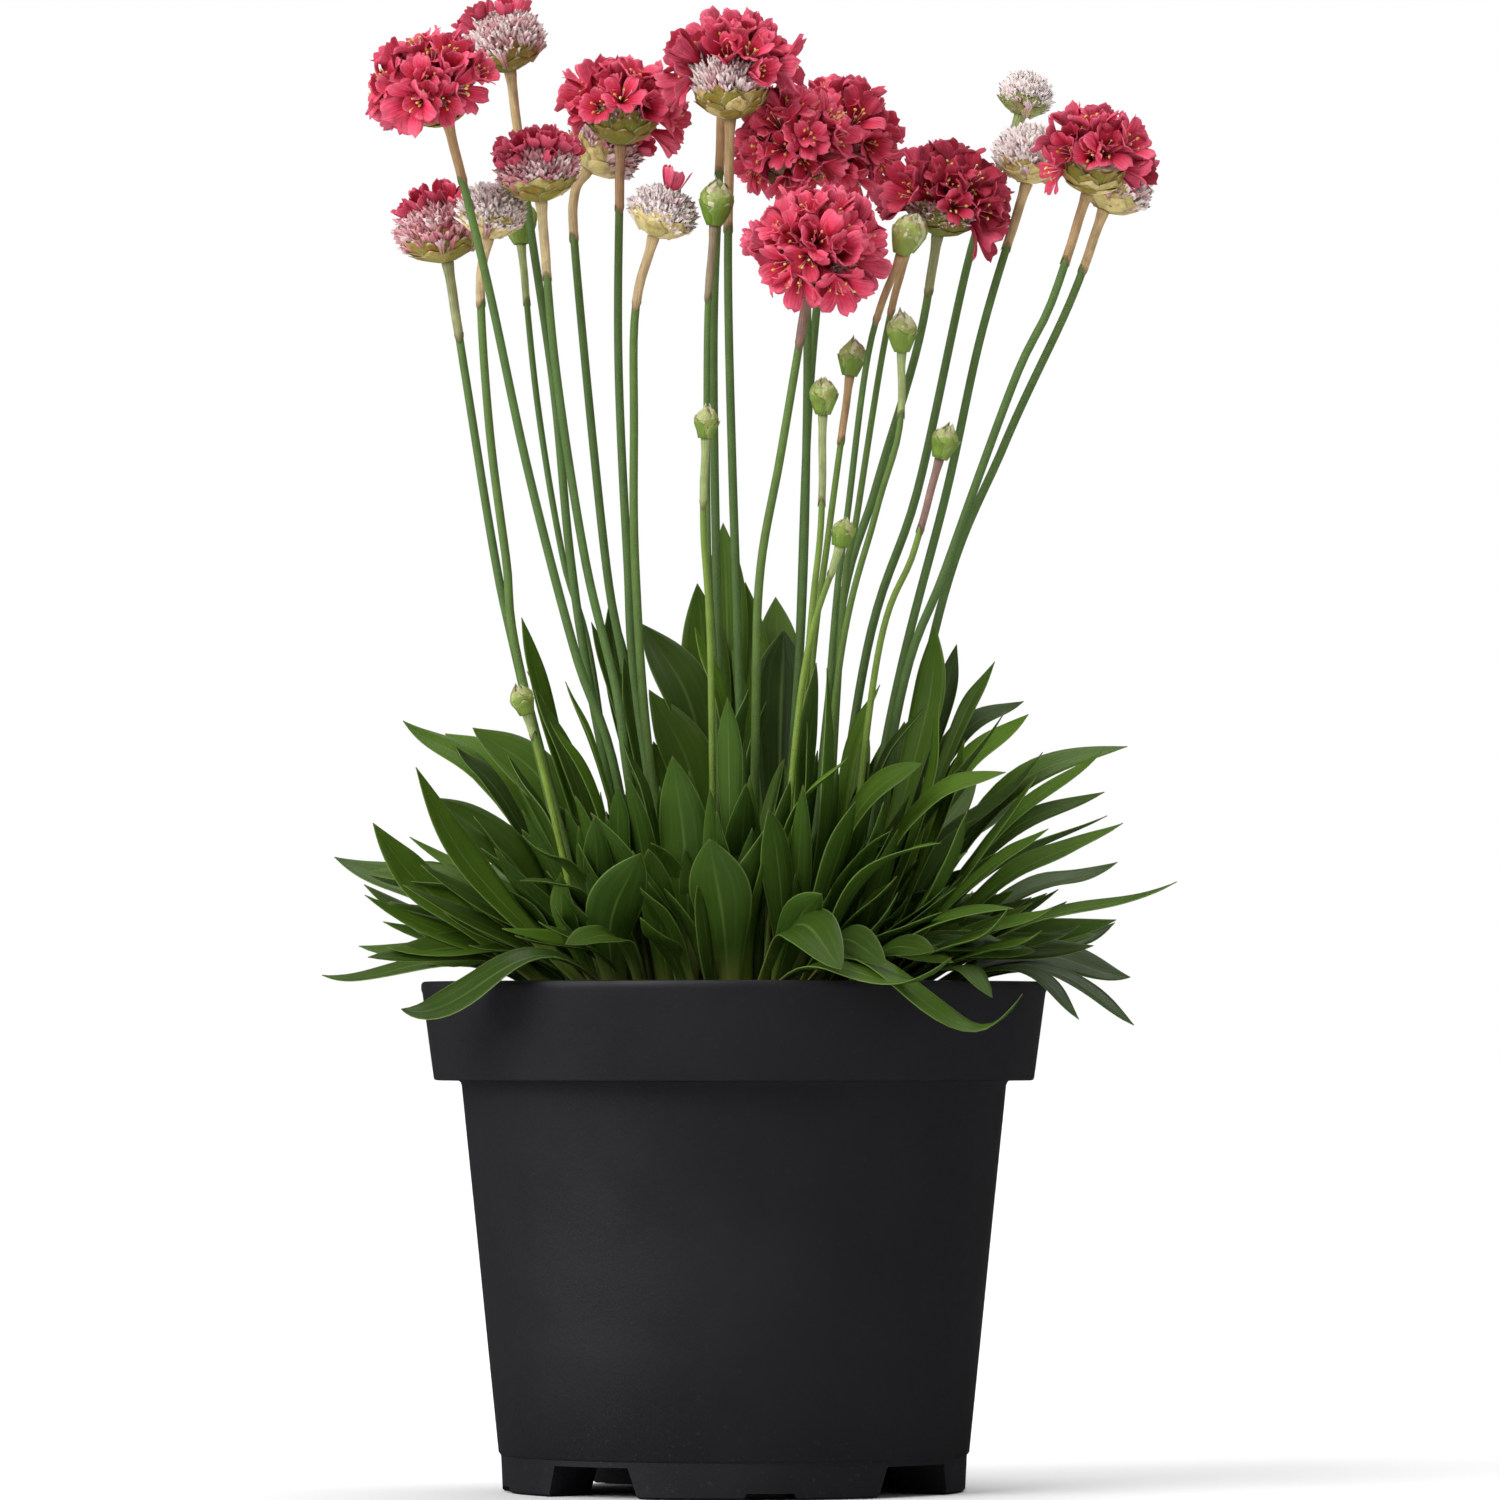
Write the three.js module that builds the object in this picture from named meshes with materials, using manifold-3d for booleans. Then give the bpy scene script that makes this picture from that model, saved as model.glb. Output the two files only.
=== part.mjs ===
// Pinkball thrift in a black nursery pot.
// Millimetres, +Z up, +X to the right, and the front of the plant is -Y.
// The origin is on the floor, on the axis of the pot.

import * as THREE from "three";
import { ConvexHull } from "three/addons/math/ConvexHull.js";
import { mergeVertices } from "three/addons/utils/BufferGeometryUtils.js";
import Module from "manifold-3d";

const wasm = await Module();
wasm.setup();

// Pot: a two-litre nursery pot, 170 mm across its lip
const POT_HEIGHT = 138;
const LIP_RADIUS = 85;
const RIM_FOOT_RADIUS = 81.6;
const RIM_FOOT_Z = 111.2;
const BODY_TOP_RADIUS = 74;
const BODY_FOOT_RADIUS = 63.9;
const FOOT_RADIUS = 62.8;
const FOOT_HEIGHT = 10;
const WALL = 1.8;
const BASE_Z = 8.2;
const BASE_THICKNESS = 2;
const FOOT_INNER_RADIUS = 45;
const POT_SEGMENTS = 48;

// Drain channels through the foot ring, and the shallow notches midway between them
const CHANNEL_FIRST_DEG = -38;
const CHANNEL_WIDTH = 25;
const CHANNEL_SLOPE = 3;
const NOTCH_FIRST_DEG = 9;
const NOTCH_WIDTH = 13;
const NOTCH_DEPTH = 1.6;
const DRAIN_HOLE_RADIUS = 5.5;
const DRAIN_HOLE_OUT = 52;

// Compost, and the low crown that the leaves and stalks grow from
const FIT = 0.3;
const SOIL_EDGE_Z = 124.5;
const SOIL_TOP_Z = 126;
const CROWN_RADIUS = 47;
const CROWN_TOP_Z = 138;
const CROWN_FOOT_Z = 117;
const CROWN_SEGMENTS = 16;
const STALK_FOOT_Z = 122;

// Flower stalks
const STALK_SIDES = 5;
const STALK_RADIUS = 1.55;
const STALK_TIP_RADIUS = 1.3;
const SHEATH_RADIUS = 1.85;
const HOLE_CLEARANCE = 0.45;
const HOLE_TOP_Z = 152;

// Places were read off the front view on the plane through the pot's axis, so a point
// nearer to the eye or further from it is moved along its line of sight.
const EYE_DISTANCE = 2900;
const EYE_HEIGHT = 122;
const GRID_STEP = 0.2719;
const GRID_AXIS = 734;
const GRID_FLOOR = 1489;

// Heads: open ones are flatter than round, and CROWN_SEAT is where the last petals of a
// fading head stand on its calyces, as a share of the head's width above its heart
const OPEN_HEAD_HEIGHT = 0.76;
const CROWN_SEAT = 0.2;
const SEAT_SIDES = 7;

// Bract cups and closed buds as pairs of height and radius, and the hearts above them: of an
// open head in millimetres, of the others as shares of the head's width
const OPEN_CUP = [[1.5, 5], [5, 8.6], [7, 8.8]];
const OPEN_HEART = 10;
const BUD_SHAPE = [[0.35, 0.36], [0.85, 0.5], [1.25, 0.28], [1.45, 0.05]];
const FADING_CUP = [[0.08, 0.28], [0.25, 0.44], [0.36, 0.45]];
const FADING_HEART = 0.45;

// Florets of an open head, calyces of a fading one and the petals left on it: reach from the
// heart and its spread as shares of the width, petal and notch angles, and the throat's depth
const OPEN_FLORETS = { count: 15, lowest: 1.5, reach: 0.93, vary: 0.09, angle: 0.35, notch: 0.83,
  throat: 0.68, hang: 1.72, crowding: 0.11 };
const HOLLOWS = { reach: 0.31, spacing: 0.8 };
const CALYCES = { top: 1.12, lowest: 1.55, reach: 0.96, vary: 0.1, angle: 0.2, throat: 0.84,
  hang: 1.62, clear: 1.03, seat: 0.3, crowding: 0.09 };
const LEFT_PETALS = { reach: 0.5, vary: 0.07, angle: 0.17, throat: 0.86, seat: 0.28, crowding: 0.07 };
const UP = new THREE.Vector3(0, 0, 1);

// Leaves
const LEAF_SIDES = 4;
const LEAF_STEPS = 5;
const NARROW_LEAF = 11.5;
const LEAF_THICKNESS = 1.1;
const LEAF_FOLD = 0.3;
const LEAF_END = 0.75;
const LEAF_CLEARANCE = 1.0;
const LEAF_SAMPLE = 2.5;
const BACK_LEAVES = 30;
const BACK_FROM = -0.35;
const BACK_SPREAD = Math.PI + 0.7;
const LEAF_SEED = 4100;
const LEAF_ATTEMPTS = 40;
const LEAF_ROOT_Z = 126;
const LEAF_FACING = 0.55;
const GOLDEN_ANGLE = Math.PI * (3 - Math.sqrt(5));
const GOLDEN_SHARE = 0.618034;

// Half width of a blade: its narrow base's share, where it is widest, and how it then tapers
const BLADE_BASE = 0.36;
const POINTED = { widest: 0.6, taper: 1.7 };
const BLUNT = { widest: 0.7, taper: 2.6 };

// How a leaf that meets a stalk or the pot moves at each attempt, in depth, at its root, upwards
// and round its own line; and where the middle of a leaf lies between root and tip
const NUDGE = { depth: 1.5, root: 0.3, lift: 0.35, roll: 0.02 };
const LEAF_MIDDLE = 0.55;

// The leaves at the back: roots and tips from the inner ones (start) to the outer ones (more),
// how high they rise under the tuft's dome, and how much each differs from the rule (vary)
const BACK_TURN_VARY = 0.3;
const BACK_ROOT = { start: 10, margin: 16, vary: 6 };
const BACK_TIP = { start: 0.3, more: 0.64, vary: 0.08, sway: 30 };
const BACK_RISE = { dome: 1.12, foot: 8, height: 104 };
const BACK_ARCH = { middle: 0.46, start: 3, more: 9, vary: 6 };
const BACK_CURL = { most: 16, down: 0.4 };
const BACK_BLADE = { wide: 9, vary: 5, roll: 0.9 };
const TUFT_REACH = 110;

const COLOURS = {
  pot: 0x2b2b2f,
  soil: 0x3a2a20,
  leaf: 0x3f6b2c,
  stalk: 0x6f8f5a,
  floret: 0xc23a5c,
  calyx: 0xd8c3c8,
};

// Every stalk: top is where the head sits (x, z), depth is how far behind the axis its head
// is, via are points on the way down (x, z), and foot is where it leaves the crown (x, y).
// sheath is the length of the papery sheath, nod leans the head off its stalk's line.
const STALKS = [
  { id: "01", head: "open", size: 36, top: [-78, 372.5], depth: -38, sheath: 17,
    via: [[-67, 328], [-56, 277], [-43, 227], [-32, 194]], foot: [-20, -8], nod: [-0.15, -0.5] },
  { id: "02", head: "half", size: 22, top: [-61, 386], depth: 22, sheath: 20,
    via: [[-56, 347], [-49, 299], [-44.5, 253], [-38, 212]], foot: [-20, 8], nod: [-0.1, -0.2] },
  { id: "03", head: "half", size: 24, top: [-78, 334], depth: 6, sheath: 21,
    via: [[-73, 302], [-65, 253], [-58.5, 223]], foot: [-35, 2], nod: [-0.05, -0.1] },
  { id: "04", head: "spent", size: 17, top: [-67, 340.5], depth: -12, sheath: 18,
    via: [[-69, 326], [-66.5, 288], [-62, 253], [-57.5, 220]], foot: [-31, -8], nod: [0, -0.1] },
  { id: "05", head: "bud", size: 9, top: [-58, 339], depth: 30, sheath: 16,
    via: [[-53.5, 295], [-46.5, 253], [-38, 220]], foot: [-26, 16], nod: [0.02, 0] },
  { id: "06", head: "half", size: 21, top: [-52.5, 350.5], depth: -22, sheath: 21,
    via: [[-48.5, 305], [-40.5, 253], [-32, 217], [-28.5, 192]], foot: [-17, -22], nod: [0, -0.1] },
  { id: "07", head: "spent", size: 20, top: [-40, 359], depth: 26, sheath: 20,
    via: [[-43.5, 352], [-43, 333], [-35, 253], [-29, 218]], foot: [-14, 14], nod: [0.2, 0] },
  { id: "08", head: "open", size: 35, top: [-31, 366], depth: 4, sheath: 18,
    via: [[-31.5, 309], [-29, 253], [-26, 212]], foot: [-11, 0], nod: [0.05, -0.1] },
  { id: "09", head: "tuft", size: 17, top: [-21.8, 341], depth: -18, sheath: 20,
    via: [[-26.8, 321], [-27.2, 290], [-26.8, 250], [-22.5, 195]], foot: [-10, -14], nod: [0.15, -0.1] },
  { id: "10", head: "bud", size: 8.6, top: [-5.4, 344], depth: -26, sheath: 20,
    via: [[-7.3, 315], [-7, 253], [-5, 215]], foot: [-3, -17], nod: [0.05, 0] },
  { id: "11", head: "open", size: 37.5, tall: 0.9, top: [-1.1, 373], depth: -13, sheath: 30,
    via: [[-1.6, 330], [-0.5, 280], [1.6, 215]], foot: [4, -6], nod: [0, -0.15] },
  { id: "12", head: "spent", size: 18, top: [-3.3, 378], depth: 30, sheath: 20,
    via: [[-4.1, 356], [-5.6, 310], [-4.4, 229]], foot: [-2, 12], nod: [0, 0.05] },
  { id: "13", head: "open", size: 33, tall: 0.9, top: [17.5, 356], depth: 8, sheath: 20,
    via: [[19.6, 333], [19.8, 290], [17.5, 222]], foot: [9, 2], nod: [-0.1, -0.9] },
  { id: "14", head: "open", size: 36, tall: 0.85, top: [26, 354.5], depth: 46, sheath: 18,
    via: [[23.5, 332], [20, 290], [17.5, 222]], foot: [13, 18], nod: [0.1, -0.3] },
  { id: "15", head: "open", size: 38, tall: 0.85, top: [20, 325], depth: -28, sheath: 14,
    via: [[17.4, 309], [12.5, 280], [7.2, 250], [6, 215]], foot: [5, -17], nod: [0.05, -0.6] },
  { id: "16", head: "open", size: 37, top: [55.5, 341.5], depth: 6, sheath: 16,
    via: [[50, 311], [38.5, 272], [28, 232]], foot: [17, 5], nod: [0.05, -0.35] },
  { id: "17", head: "opening", size: 13.5, top: [78, 374], depth: 38, sheath: 14,
    via: [[65, 339], [50, 272], [35.5, 225]], foot: [21, 24], nod: [-0.1, 0] },
  { id: "18", head: "spent", size: 18.5, top: [79.7, 355.5], depth: 12, sheath: 19,
    via: [[67.5, 315], [58, 272], [43, 212]], foot: [27, 9], nod: [-0.15, -0.1] },
  { id: "19", head: "open", size: 31, top: [96.3, 353], depth: -20, sheath: 20,
    via: [[86.5, 323], [76.5, 302], [57.5, 250], [45, 214]], foot: [30, -6], nod: [-0.1, -0.3] },
  { id: "20", head: "spent", size: 18.5, top: [100.6, 348], depth: 18, sheath: 17,
    via: [[91.5, 323], [73.5, 284], [55, 235]], foot: [34, 15], nod: [0.1, 0.1] },
  { id: "21", head: "bud", size: 8.2, top: [45.4, 336], depth: -26, sheath: 19,
    via: [[37, 311], [31, 266], [27, 232]], foot: [19, -9], nod: [0.05, 0] },
  { id: "22", head: "bud", size: 7.6, top: [47, 337], depth: -6, sheath: 18,
    via: [[41, 312], [33.5, 265], [29.5, 238]], foot: [23, -1], nod: [0.05, 0] },
  { id: "23", head: "bud", size: 6.8, top: [31.6, 303], depth: -18, sheath: 18,
    via: [[25.5, 258], [21, 222]], foot: [12, -10], nod: [0, 0] },
  { id: "24", head: "bud", size: 7.4, top: [45.7, 309.5], depth: -32, sheath: 17,
    via: [[45, 288], [38.5, 265], [28.3, 221]], foot: [20, -18], nod: [-0.02, 0] },
  { id: "25", head: "bud", size: 6.8, top: [24.2, 292.5], depth: -42, sheath: 24,
    via: [[23.7, 262], [20.4, 229]], foot: [12, -24], nod: [0.02, 0] },
  { id: "26", head: "bud", size: 6.4, top: [56, 280.5], depth: -36, sheath: 20,
    via: [[49, 255], [38.6, 223.5]], foot: [27, -17], nod: [0.05, 0] },
  { id: "27", head: "bud", size: 5.4, top: [28.8, 256.5], depth: -48, sheath: 8,
    via: [[18.5, 218]], foot: [10, -33], nod: [0, 0] },
  { id: "28", head: "bud", size: 5.8, top: [-7.6, 286], depth: -40, sheath: 18,
    via: [[-8.3, 262], [-6.3, 225]], foot: [-5, -28], nod: [0.02, 0] },
  { id: "29", head: "bud", size: 5.6, top: [-56.3, 211], depth: -46, sheath: 6,
    via: [[-50.6, 190]], foot: [-35, -24], nod: [-0.05, 0] },
];

// Leaves that can be told apart in the front view. tip and mid are (across, down) on a grid
// over that view, and mid lies half way along the blade. depth is how far behind the axis the
// tip is, root is its place on the crown (x, y) and wide is the blade's width. curl turns the
// tip up, and roll turns the upper face about the blade's own length.
const FRONT_LEAVES = [
  { tip: [322, 976], mid: [432, 962], depth: 56, root: [-37, 14], wide: 9, curl: 8 },
  { tip: [401, 1014], mid: [508, 966], midDepth: -66, depth: -56, root: [-27, -34], wide: 11,
    roll: -0.35, curl: 14, blunt: 1 },
  { tip: [335, 855], mid: [430, 900], depth: 10, root: [-38, 2], wide: 12, roll: -0.8, curl: 4 },
  { tip: [377, 821], mid: [432, 908], depth: -34, root: [-38, -20], wide: 12, roll: -1.1, curl: 6 },
  { tip: [402, 722], mid: [478, 779], depth: 8, root: [-32, 4], wide: 8, roll: -0.8, curl: 4 },
  { tip: [416, 767], mid: [478, 875], depth: -48, root: [-30, -31], wide: 12, roll: -0.8, curl: 6 },
  { tip: [433, 797], mid: [510, 858], depth: -22, root: [-38, -12], wide: 16, roll: -0.95 },
  { tip: [432, 851], mid: [485, 885], depth: -10, root: [-40, -4], wide: 9 },
  { tip: [372, 868], mid: [455, 875], depth: -18, root: [-40, -10], wide: 7 },
  { tip: [445, 732], mid: [505, 785], depth: 30, root: [-32, 16], wide: 12, roll: -0.9 },
  { tip: [472, 729], mid: [545, 785], depth: 16, root: [-28, 6], wide: 13, roll: -0.9 },
  { tip: [450, 752], mid: [500, 795], depth: -6, root: [-34, -2], wide: 9 },
  { tip: [506, 757], mid: [550, 830], depth: -30, root: [-32, -24], wide: 15, roll: -0.2 },
  { tip: [522, 617], mid: [548, 720], depth: 6, root: [-26, 2], wide: 8 },
  { tip: [564, 682], mid: [600, 775], depth: -32, root: [-20, -24], wide: 7 },
  { tip: [549, 722], mid: [592, 790], depth: -40, root: [-26, -32], wide: 6 },
  { tip: [532, 690], mid: [575, 780], depth: -14, root: [-28, -14], wide: 9 },
  { tip: [607, 600], mid: [622, 705], depth: 30, root: [-10, 20], wide: 9 },
  { tip: [591, 622], mid: [625, 730], depth: 18, root: [-14, 10], wide: 8 },
  { tip: [622, 657], mid: [638, 740], depth: 8, root: [-15, 4], wide: 7 },
  { tip: [643, 623], mid: [693, 712], depth: 34, root: [-2, 20], wide: 16 },
  { tip: [648, 690], mid: [690, 770], depth: 22, root: [-4, 14], wide: 16 },
  { tip: [675, 754], mid: [686, 855], depth: -52, root: [-12, -38], wide: 13, roll: 0.05 },
  { tip: [622, 740], mid: [650, 810], depth: -38, root: [-16, -34], wide: 6 },
  { tip: [709, 842], mid: [722, 905], depth: -66, root: [-1, -44], wide: 16, roll: 0.1 },
  { tip: [775, 828], mid: [752, 890], depth: -60, root: [4, -42], wide: 14, roll: 0.5 },
  { tip: [641, 852], mid: [612, 915], depth: -74, root: [-28, -34], wide: 14, roll: -0.15 },
  { tip: [565, 947], mid: [614, 936], depth: -88, root: [-24, -37], wide: 10, roll: -0.5 },
  { tip: [522, 873], mid: [575, 893], depth: -72, root: [-33, -29], wide: 8 },
  { tip: [523, 835], mid: [568, 866], depth: -60, root: [-30, -31], wide: 9, curl: 6 },
  { tip: [594, 818], mid: [600, 885], depth: -62, root: [-31, -30], wide: 8 },
  { tip: [620, 785], mid: [620, 840], depth: -50, root: [-26, -34], wide: 6 },
  { tip: [562, 872], mid: [566, 925], depth: -62, root: [-30, -31], wide: 8 },
  { tip: [640, 888], mid: [668, 925], depth: -70, root: [-8, -44], wide: 7 },
  { tip: [665, 888], mid: [690, 930], depth: -64, root: [-4, -44], wide: 7 },
  { tip: [693, 628], mid: [724, 720], depth: -24, root: [6, -26], wide: 7 },
  { tip: [728, 697], mid: [730, 780], depth: -44, root: [0, -38], wide: 7 },
  { tip: [751, 690], mid: [735, 760], depth: -34, root: [2, -30], wide: 6 },
  { tip: [697, 583], mid: [707, 700], depth: 44, root: [-4, 26], wide: 13 },
  { tip: [723, 523], mid: [727, 640], depth: 50, root: [2, 30], wide: 11 },
  { tip: [745, 582], mid: [752, 690], depth: 48, root: [6, 28], wide: 10 },
  { tip: [775, 594], mid: [778, 690], depth: 56, root: [12, 30], wide: 12 },
  { tip: [784, 628], mid: [780, 720], depth: 36, root: [12, 24], wide: 15 },
  { tip: [819, 663], mid: [806, 765], depth: -38, root: [16, -28], wide: 8 },
  { tip: [833, 668], mid: [828, 810], depth: -46, root: [12, -36], wide: 8 },
  { tip: [811, 722], mid: [806, 800], depth: -40, root: [14, -36], wide: 6 },
  { tip: [849, 757], mid: [794, 815], depth: -60, root: [8, -42], wide: 8 },
  { tip: [790, 780], mid: [778, 850], depth: -56, root: [8, -40], wide: 6 },
  { tip: [854, 800], mid: [832, 868], depth: -68, root: [12, -40], wide: 9 },
  { tip: [922, 763], mid: [852, 822], depth: -52, root: [20, -34], wide: 12, roll: 0.8, curl: -6 },
  { tip: [876, 683], mid: [850, 760], depth: -20, root: [25, -20], wide: 6 },
  { tip: [926, 703], mid: [878, 775], depth: -22, root: [32, -14], wide: 9 },
  { tip: [942, 627], mid: [925, 720], depth: 12, root: [28, 4], wide: 11 },
  { tip: [958, 645], mid: [935, 730], depth: 26, root: [27, 18], wide: 8 },
  { tip: [987, 658], mid: [960, 725], depth: 2, root: [32, 0], wide: 6, curl: 4 },
  { tip: [1025, 706], mid: [950, 748], depth: 26, root: [32, 20], wide: 11, curl: -3 },
  { tip: [1031, 717], mid: [960, 775], depth: -6, root: [34, -4], wide: 13 },
  { tip: [942, 702], mid: [927, 800], depth: -34, root: [26, -26], wide: 9 },
  { tip: [1005, 770], mid: [915, 815], depth: -50, root: [28, -30], wide: 11, roll: 0.8, curl: -4 },
  { tip: [968, 740], mid: [945, 810], depth: -24, root: [32, -18], wide: 7 },
  { tip: [1127, 744], mid: [1010, 790], depth: 18, root: [36, 10], wide: 10, curl: -3 },
  { tip: [1103, 752], mid: [1015, 815], depth: -8, root: [38, -4], wide: 7, curl: 3 },
  { tip: [1104, 790], mid: [1005, 835], depth: 8, root: [38, 2], wide: 8 },
  { tip: [1036, 775], mid: [985, 850], depth: -44, root: [32, -28], wide: 6 },
  { tip: [966, 810], mid: [945, 880], depth: -68, root: [26, -36], wide: 9, roll: 0.3 },
  { tip: [1048, 828], mid: [975, 880], depth: -54, root: [32, -28], wide: 8 },
  { tip: [1125, 826], mid: [1020, 870], depth: -28, root: [37, -16], wide: 12, curl: 2 },
  { tip: [1117, 861], mid: [1030, 888], depth: 30, root: [38, 12], wide: 10, curl: 5 },
  { tip: [940, 838], mid: [862, 880], depth: -76, root: [20, -38], wide: 9, curl: -4 },
  { tip: [1178, 883], mid: [1055, 914], depth: -64, root: [38, -20], wide: 8, curl: 6 },
  { tip: [1014, 908], mid: [925, 935], depth: -74, root: [27, -34], wide: 9, curl: -3 },
  { tip: [1015, 912], mid: [960, 942], depth: -84, root: [28, -34], wide: 8, curl: 8 },
  { tip: [1052, 908], mid: [985, 930], depth: -60, root: [34, -28], wide: 9, curl: 4 },
  { tip: [1115, 924], mid: [1040, 945], depth: 36, root: [38, 16], wide: 7, curl: 6 },
  { tip: [1045, 935], mid: [985, 950], depth: -66, root: [31, -31], wide: 8, curl: 4 },
  { tip: [1130, 979], mid: [1045, 962], depth: 8, root: [40, 2], wide: 13, curl: 4 },
  { tip: [1134, 1025], mid: [1050, 984], depth: -22, root: [38, -10], wide: 10 },
  { tip: [1080, 1015], mid: [1024, 980], depth: -46, root: [36, -20], wide: 7 },
  { tip: [1032, 1000], mid: [904, 985], midDepth: -84, depth: -68, root: [14, -41], wide: 10,
    roll: 0.2, curl: 35 },
  { tip: [993, 995], mid: [958, 968], depth: -72, root: [29, -33], wide: 7 },
  { tip: [843, 972], mid: [803, 924], depth: -97, root: [4, -42], wide: 16, roll: 0.5 },
  { tip: [888, 966], mid: [842, 940], depth: -92, root: [14, -42], wide: 13, roll: 0.5 },
  { tip: [950, 956], mid: [852, 970], midDepth: -86, depth: -88, root: [4, -44], wide: 11,
    roll: 0.1, curl: 18 },
  { tip: [938, 957], mid: [892, 948], depth: -88, root: [23, -37], wide: 9, roll: 0.5 },
];

// A repeatable run of numbers from 0 to 1
function seeded(seed) {
  let state = seed >>> 0;
  return () => {
    state = (state + 0x6d2b79f5) >>> 0;
    let mixed = Math.imul(state ^ (state >>> 15), state | 1);
    mixed ^= mixed + Math.imul(mixed ^ (mixed >>> 7), mixed | 61);
    return ((mixed ^ (mixed >>> 14)) >>> 0) / 4294967296;
  };
}

// A closed geometry as a solid that can be joined and cut
function solidOf(geometry) {
  const bare = geometry.clone();
  bare.deleteAttribute("normal");
  bare.deleteAttribute("uv");
  const merged = mergeVertices(bare, 1e-4);
  return new wasm.Manifold(new wasm.Mesh({
    numProp: 3,
    vertProperties: merged.attributes.position.array,
    triVerts: new Uint32Array(merged.index.array),
  }));
}

function geometryOf(solid) {
  const { vertProperties, triVerts } = solid.getMesh();
  const geometry = new THREE.BufferGeometry();
  geometry.setAttribute("position", new THREE.BufferAttribute(vertProperties, 3));
  geometry.setIndex(new THREE.BufferAttribute(triVerts, 1));
  geometry.computeVertexNormals();
  return geometry;
}

// The largest body of a solid, without loose scraps or sealed hollows
function oneBody(solid) {
  const pieces = solid.decompose().filter((piece) => piece.volume() > 0);
  return pieces.sort((a, b) => b.volume() - a.volume())[0];
}

function joined(solids) {
  return wasm.Manifold.union(solids);
}

// Moves every corner of a plain geometry by a rule
function shaped(geometry, place) {
  const corners = geometry.attributes.position;
  const corner = new THREE.Vector3();
  for (let i = 0; i < corners.count; i += 1) {
    const moved = place(corner.fromBufferAttribute(corners, i));
    corners.setXYZ(i, moved.x, moved.y, moved.z);
  }
  return geometry;
}

// A solid of revolution round +Z from points (radius, height)
function turned(points, segments, start = 0) {
  const profile = points.map(([radius, height]) => new THREE.Vector2(radius, height));
  return solidOf(new THREE.LatheGeometry(profile, segments, start).rotateX(Math.PI / 2));
}

// A ring-sided spindle along a path of stations { at, radius }
function spindle(stations, sides) {
  const last = stations.length - 1;
  const along = stations.map(({ at }, i) => stations[Math.min(i + 1, last)].at.clone()
    .sub(stations[Math.max(i - 1, 0)].at).normalize());
  const tube = new THREE.CylinderGeometry(1, 1, last, sides, last);
  return solidOf(shaped(tube, (corner) => {
    const i = Math.round(corner.y + last / 2);
    const { at, radius } = stations[i];
    const side = new THREE.Vector3(1, 0, 0).addScaledVector(along[i], -along[i].x).normalize();
    const back = side.clone().cross(along[i]);
    return at.clone().addScaledVector(side, corner.x * radius).addScaledVector(back, corner.z * radius);
  }));
}

// A place on the grid over the front view as (x, z)
function onGrid([across, down]) {
  return [(across - GRID_AXIS) * GRID_STEP, (GRID_FLOOR - down) * GRID_STEP];
}

// A point of the front view (x, z) carried along the line of sight to its depth
function seen([x, z], depth) {
  const spread = 1 + depth / EYE_DISTANCE;
  return new THREE.Vector3(x * spread, depth, EYE_HEIGHT + (z - EYE_HEIGHT) * spread);
}

// The pot

function potShell() {
  const top = POT_HEIGHT;
  const base = BASE_Z + BASE_THICKNESS;
  return turned([
    [0, BASE_Z], [FOOT_INNER_RADIUS, BASE_Z], [FOOT_INNER_RADIUS + 1, 0], [FOOT_RADIUS, 0],
    [FOOT_RADIUS + 0.5, FOOT_HEIGHT], [BODY_FOOT_RADIUS, FOOT_HEIGHT + 0.4],
    [BODY_TOP_RADIUS, RIM_FOOT_Z - 1], [BODY_TOP_RADIUS + 0.6, RIM_FOOT_Z],
    [RIM_FOOT_RADIUS - 0.4, RIM_FOOT_Z], [RIM_FOOT_RADIUS, RIM_FOOT_Z + 0.6],
    [LIP_RADIUS, top - 1], [LIP_RADIUS - 0.5, top], [LIP_RADIUS - WALL + 0.4, top],
    [LIP_RADIUS - WALL, top - 0.6], [RIM_FOOT_RADIUS - WALL, RIM_FOOT_Z + WALL],
    [BODY_TOP_RADIUS - WALL, RIM_FOOT_Z + WALL], [BODY_FOOT_RADIUS - WALL, base + 2],
    [BODY_FOOT_RADIUS - WALL - 2, base], [0, base],
  ], POT_SEGMENTS);
}

// A wedge-sided bar that lies outward through the foot ring, for a channel or a notch
function footBar(degrees, width, height, slope) {
  const reach = FOOT_RADIUS - FOOT_INNER_RADIUS + 8;
  const outline = new THREE.Shape([
    new THREE.Vector2(-width / 2 - slope, -1),
    new THREE.Vector2(width / 2 + slope, -1),
    new THREE.Vector2(width / 2, height),
    new THREE.Vector2(-width / 2, height),
  ]);
  const bar = new THREE.ExtrudeGeometry(outline, { depth: reach, bevelEnabled: false });
  bar.rotateX(Math.PI / 2).translate(0, -(FOOT_INNER_RADIUS - 4), 0);
  return solidOf(bar.rotateZ(THREE.MathUtils.degToRad(degrees)));
}

function drainHole(degrees) {
  const drill = new THREE.CylinderGeometry(DRAIN_HOLE_RADIUS, DRAIN_HOLE_RADIUS, 8, 12);
  drill.rotateX(Math.PI / 2).translate(0, -DRAIN_HOLE_OUT, BASE_Z + 1);
  return solidOf(drill.rotateZ(THREE.MathUtils.degToRad(degrees)));
}

function pot() {
  const cuts = [];
  for (let quarter = 0; quarter < 4; quarter += 1) {
    const turn = quarter * 90;
    cuts.push(footBar(CHANNEL_FIRST_DEG + turn, CHANNEL_WIDTH, BASE_Z, CHANNEL_SLOPE));
    cuts.push(footBar(NOTCH_FIRST_DEG + turn, NOTCH_WIDTH, NOTCH_DEPTH, 1));
    cuts.push(drainHole(CHANNEL_FIRST_DEG + turn));
  }
  return oneBody(potShell().subtract(joined(cuts)));
}

// The compost and the crown

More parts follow.
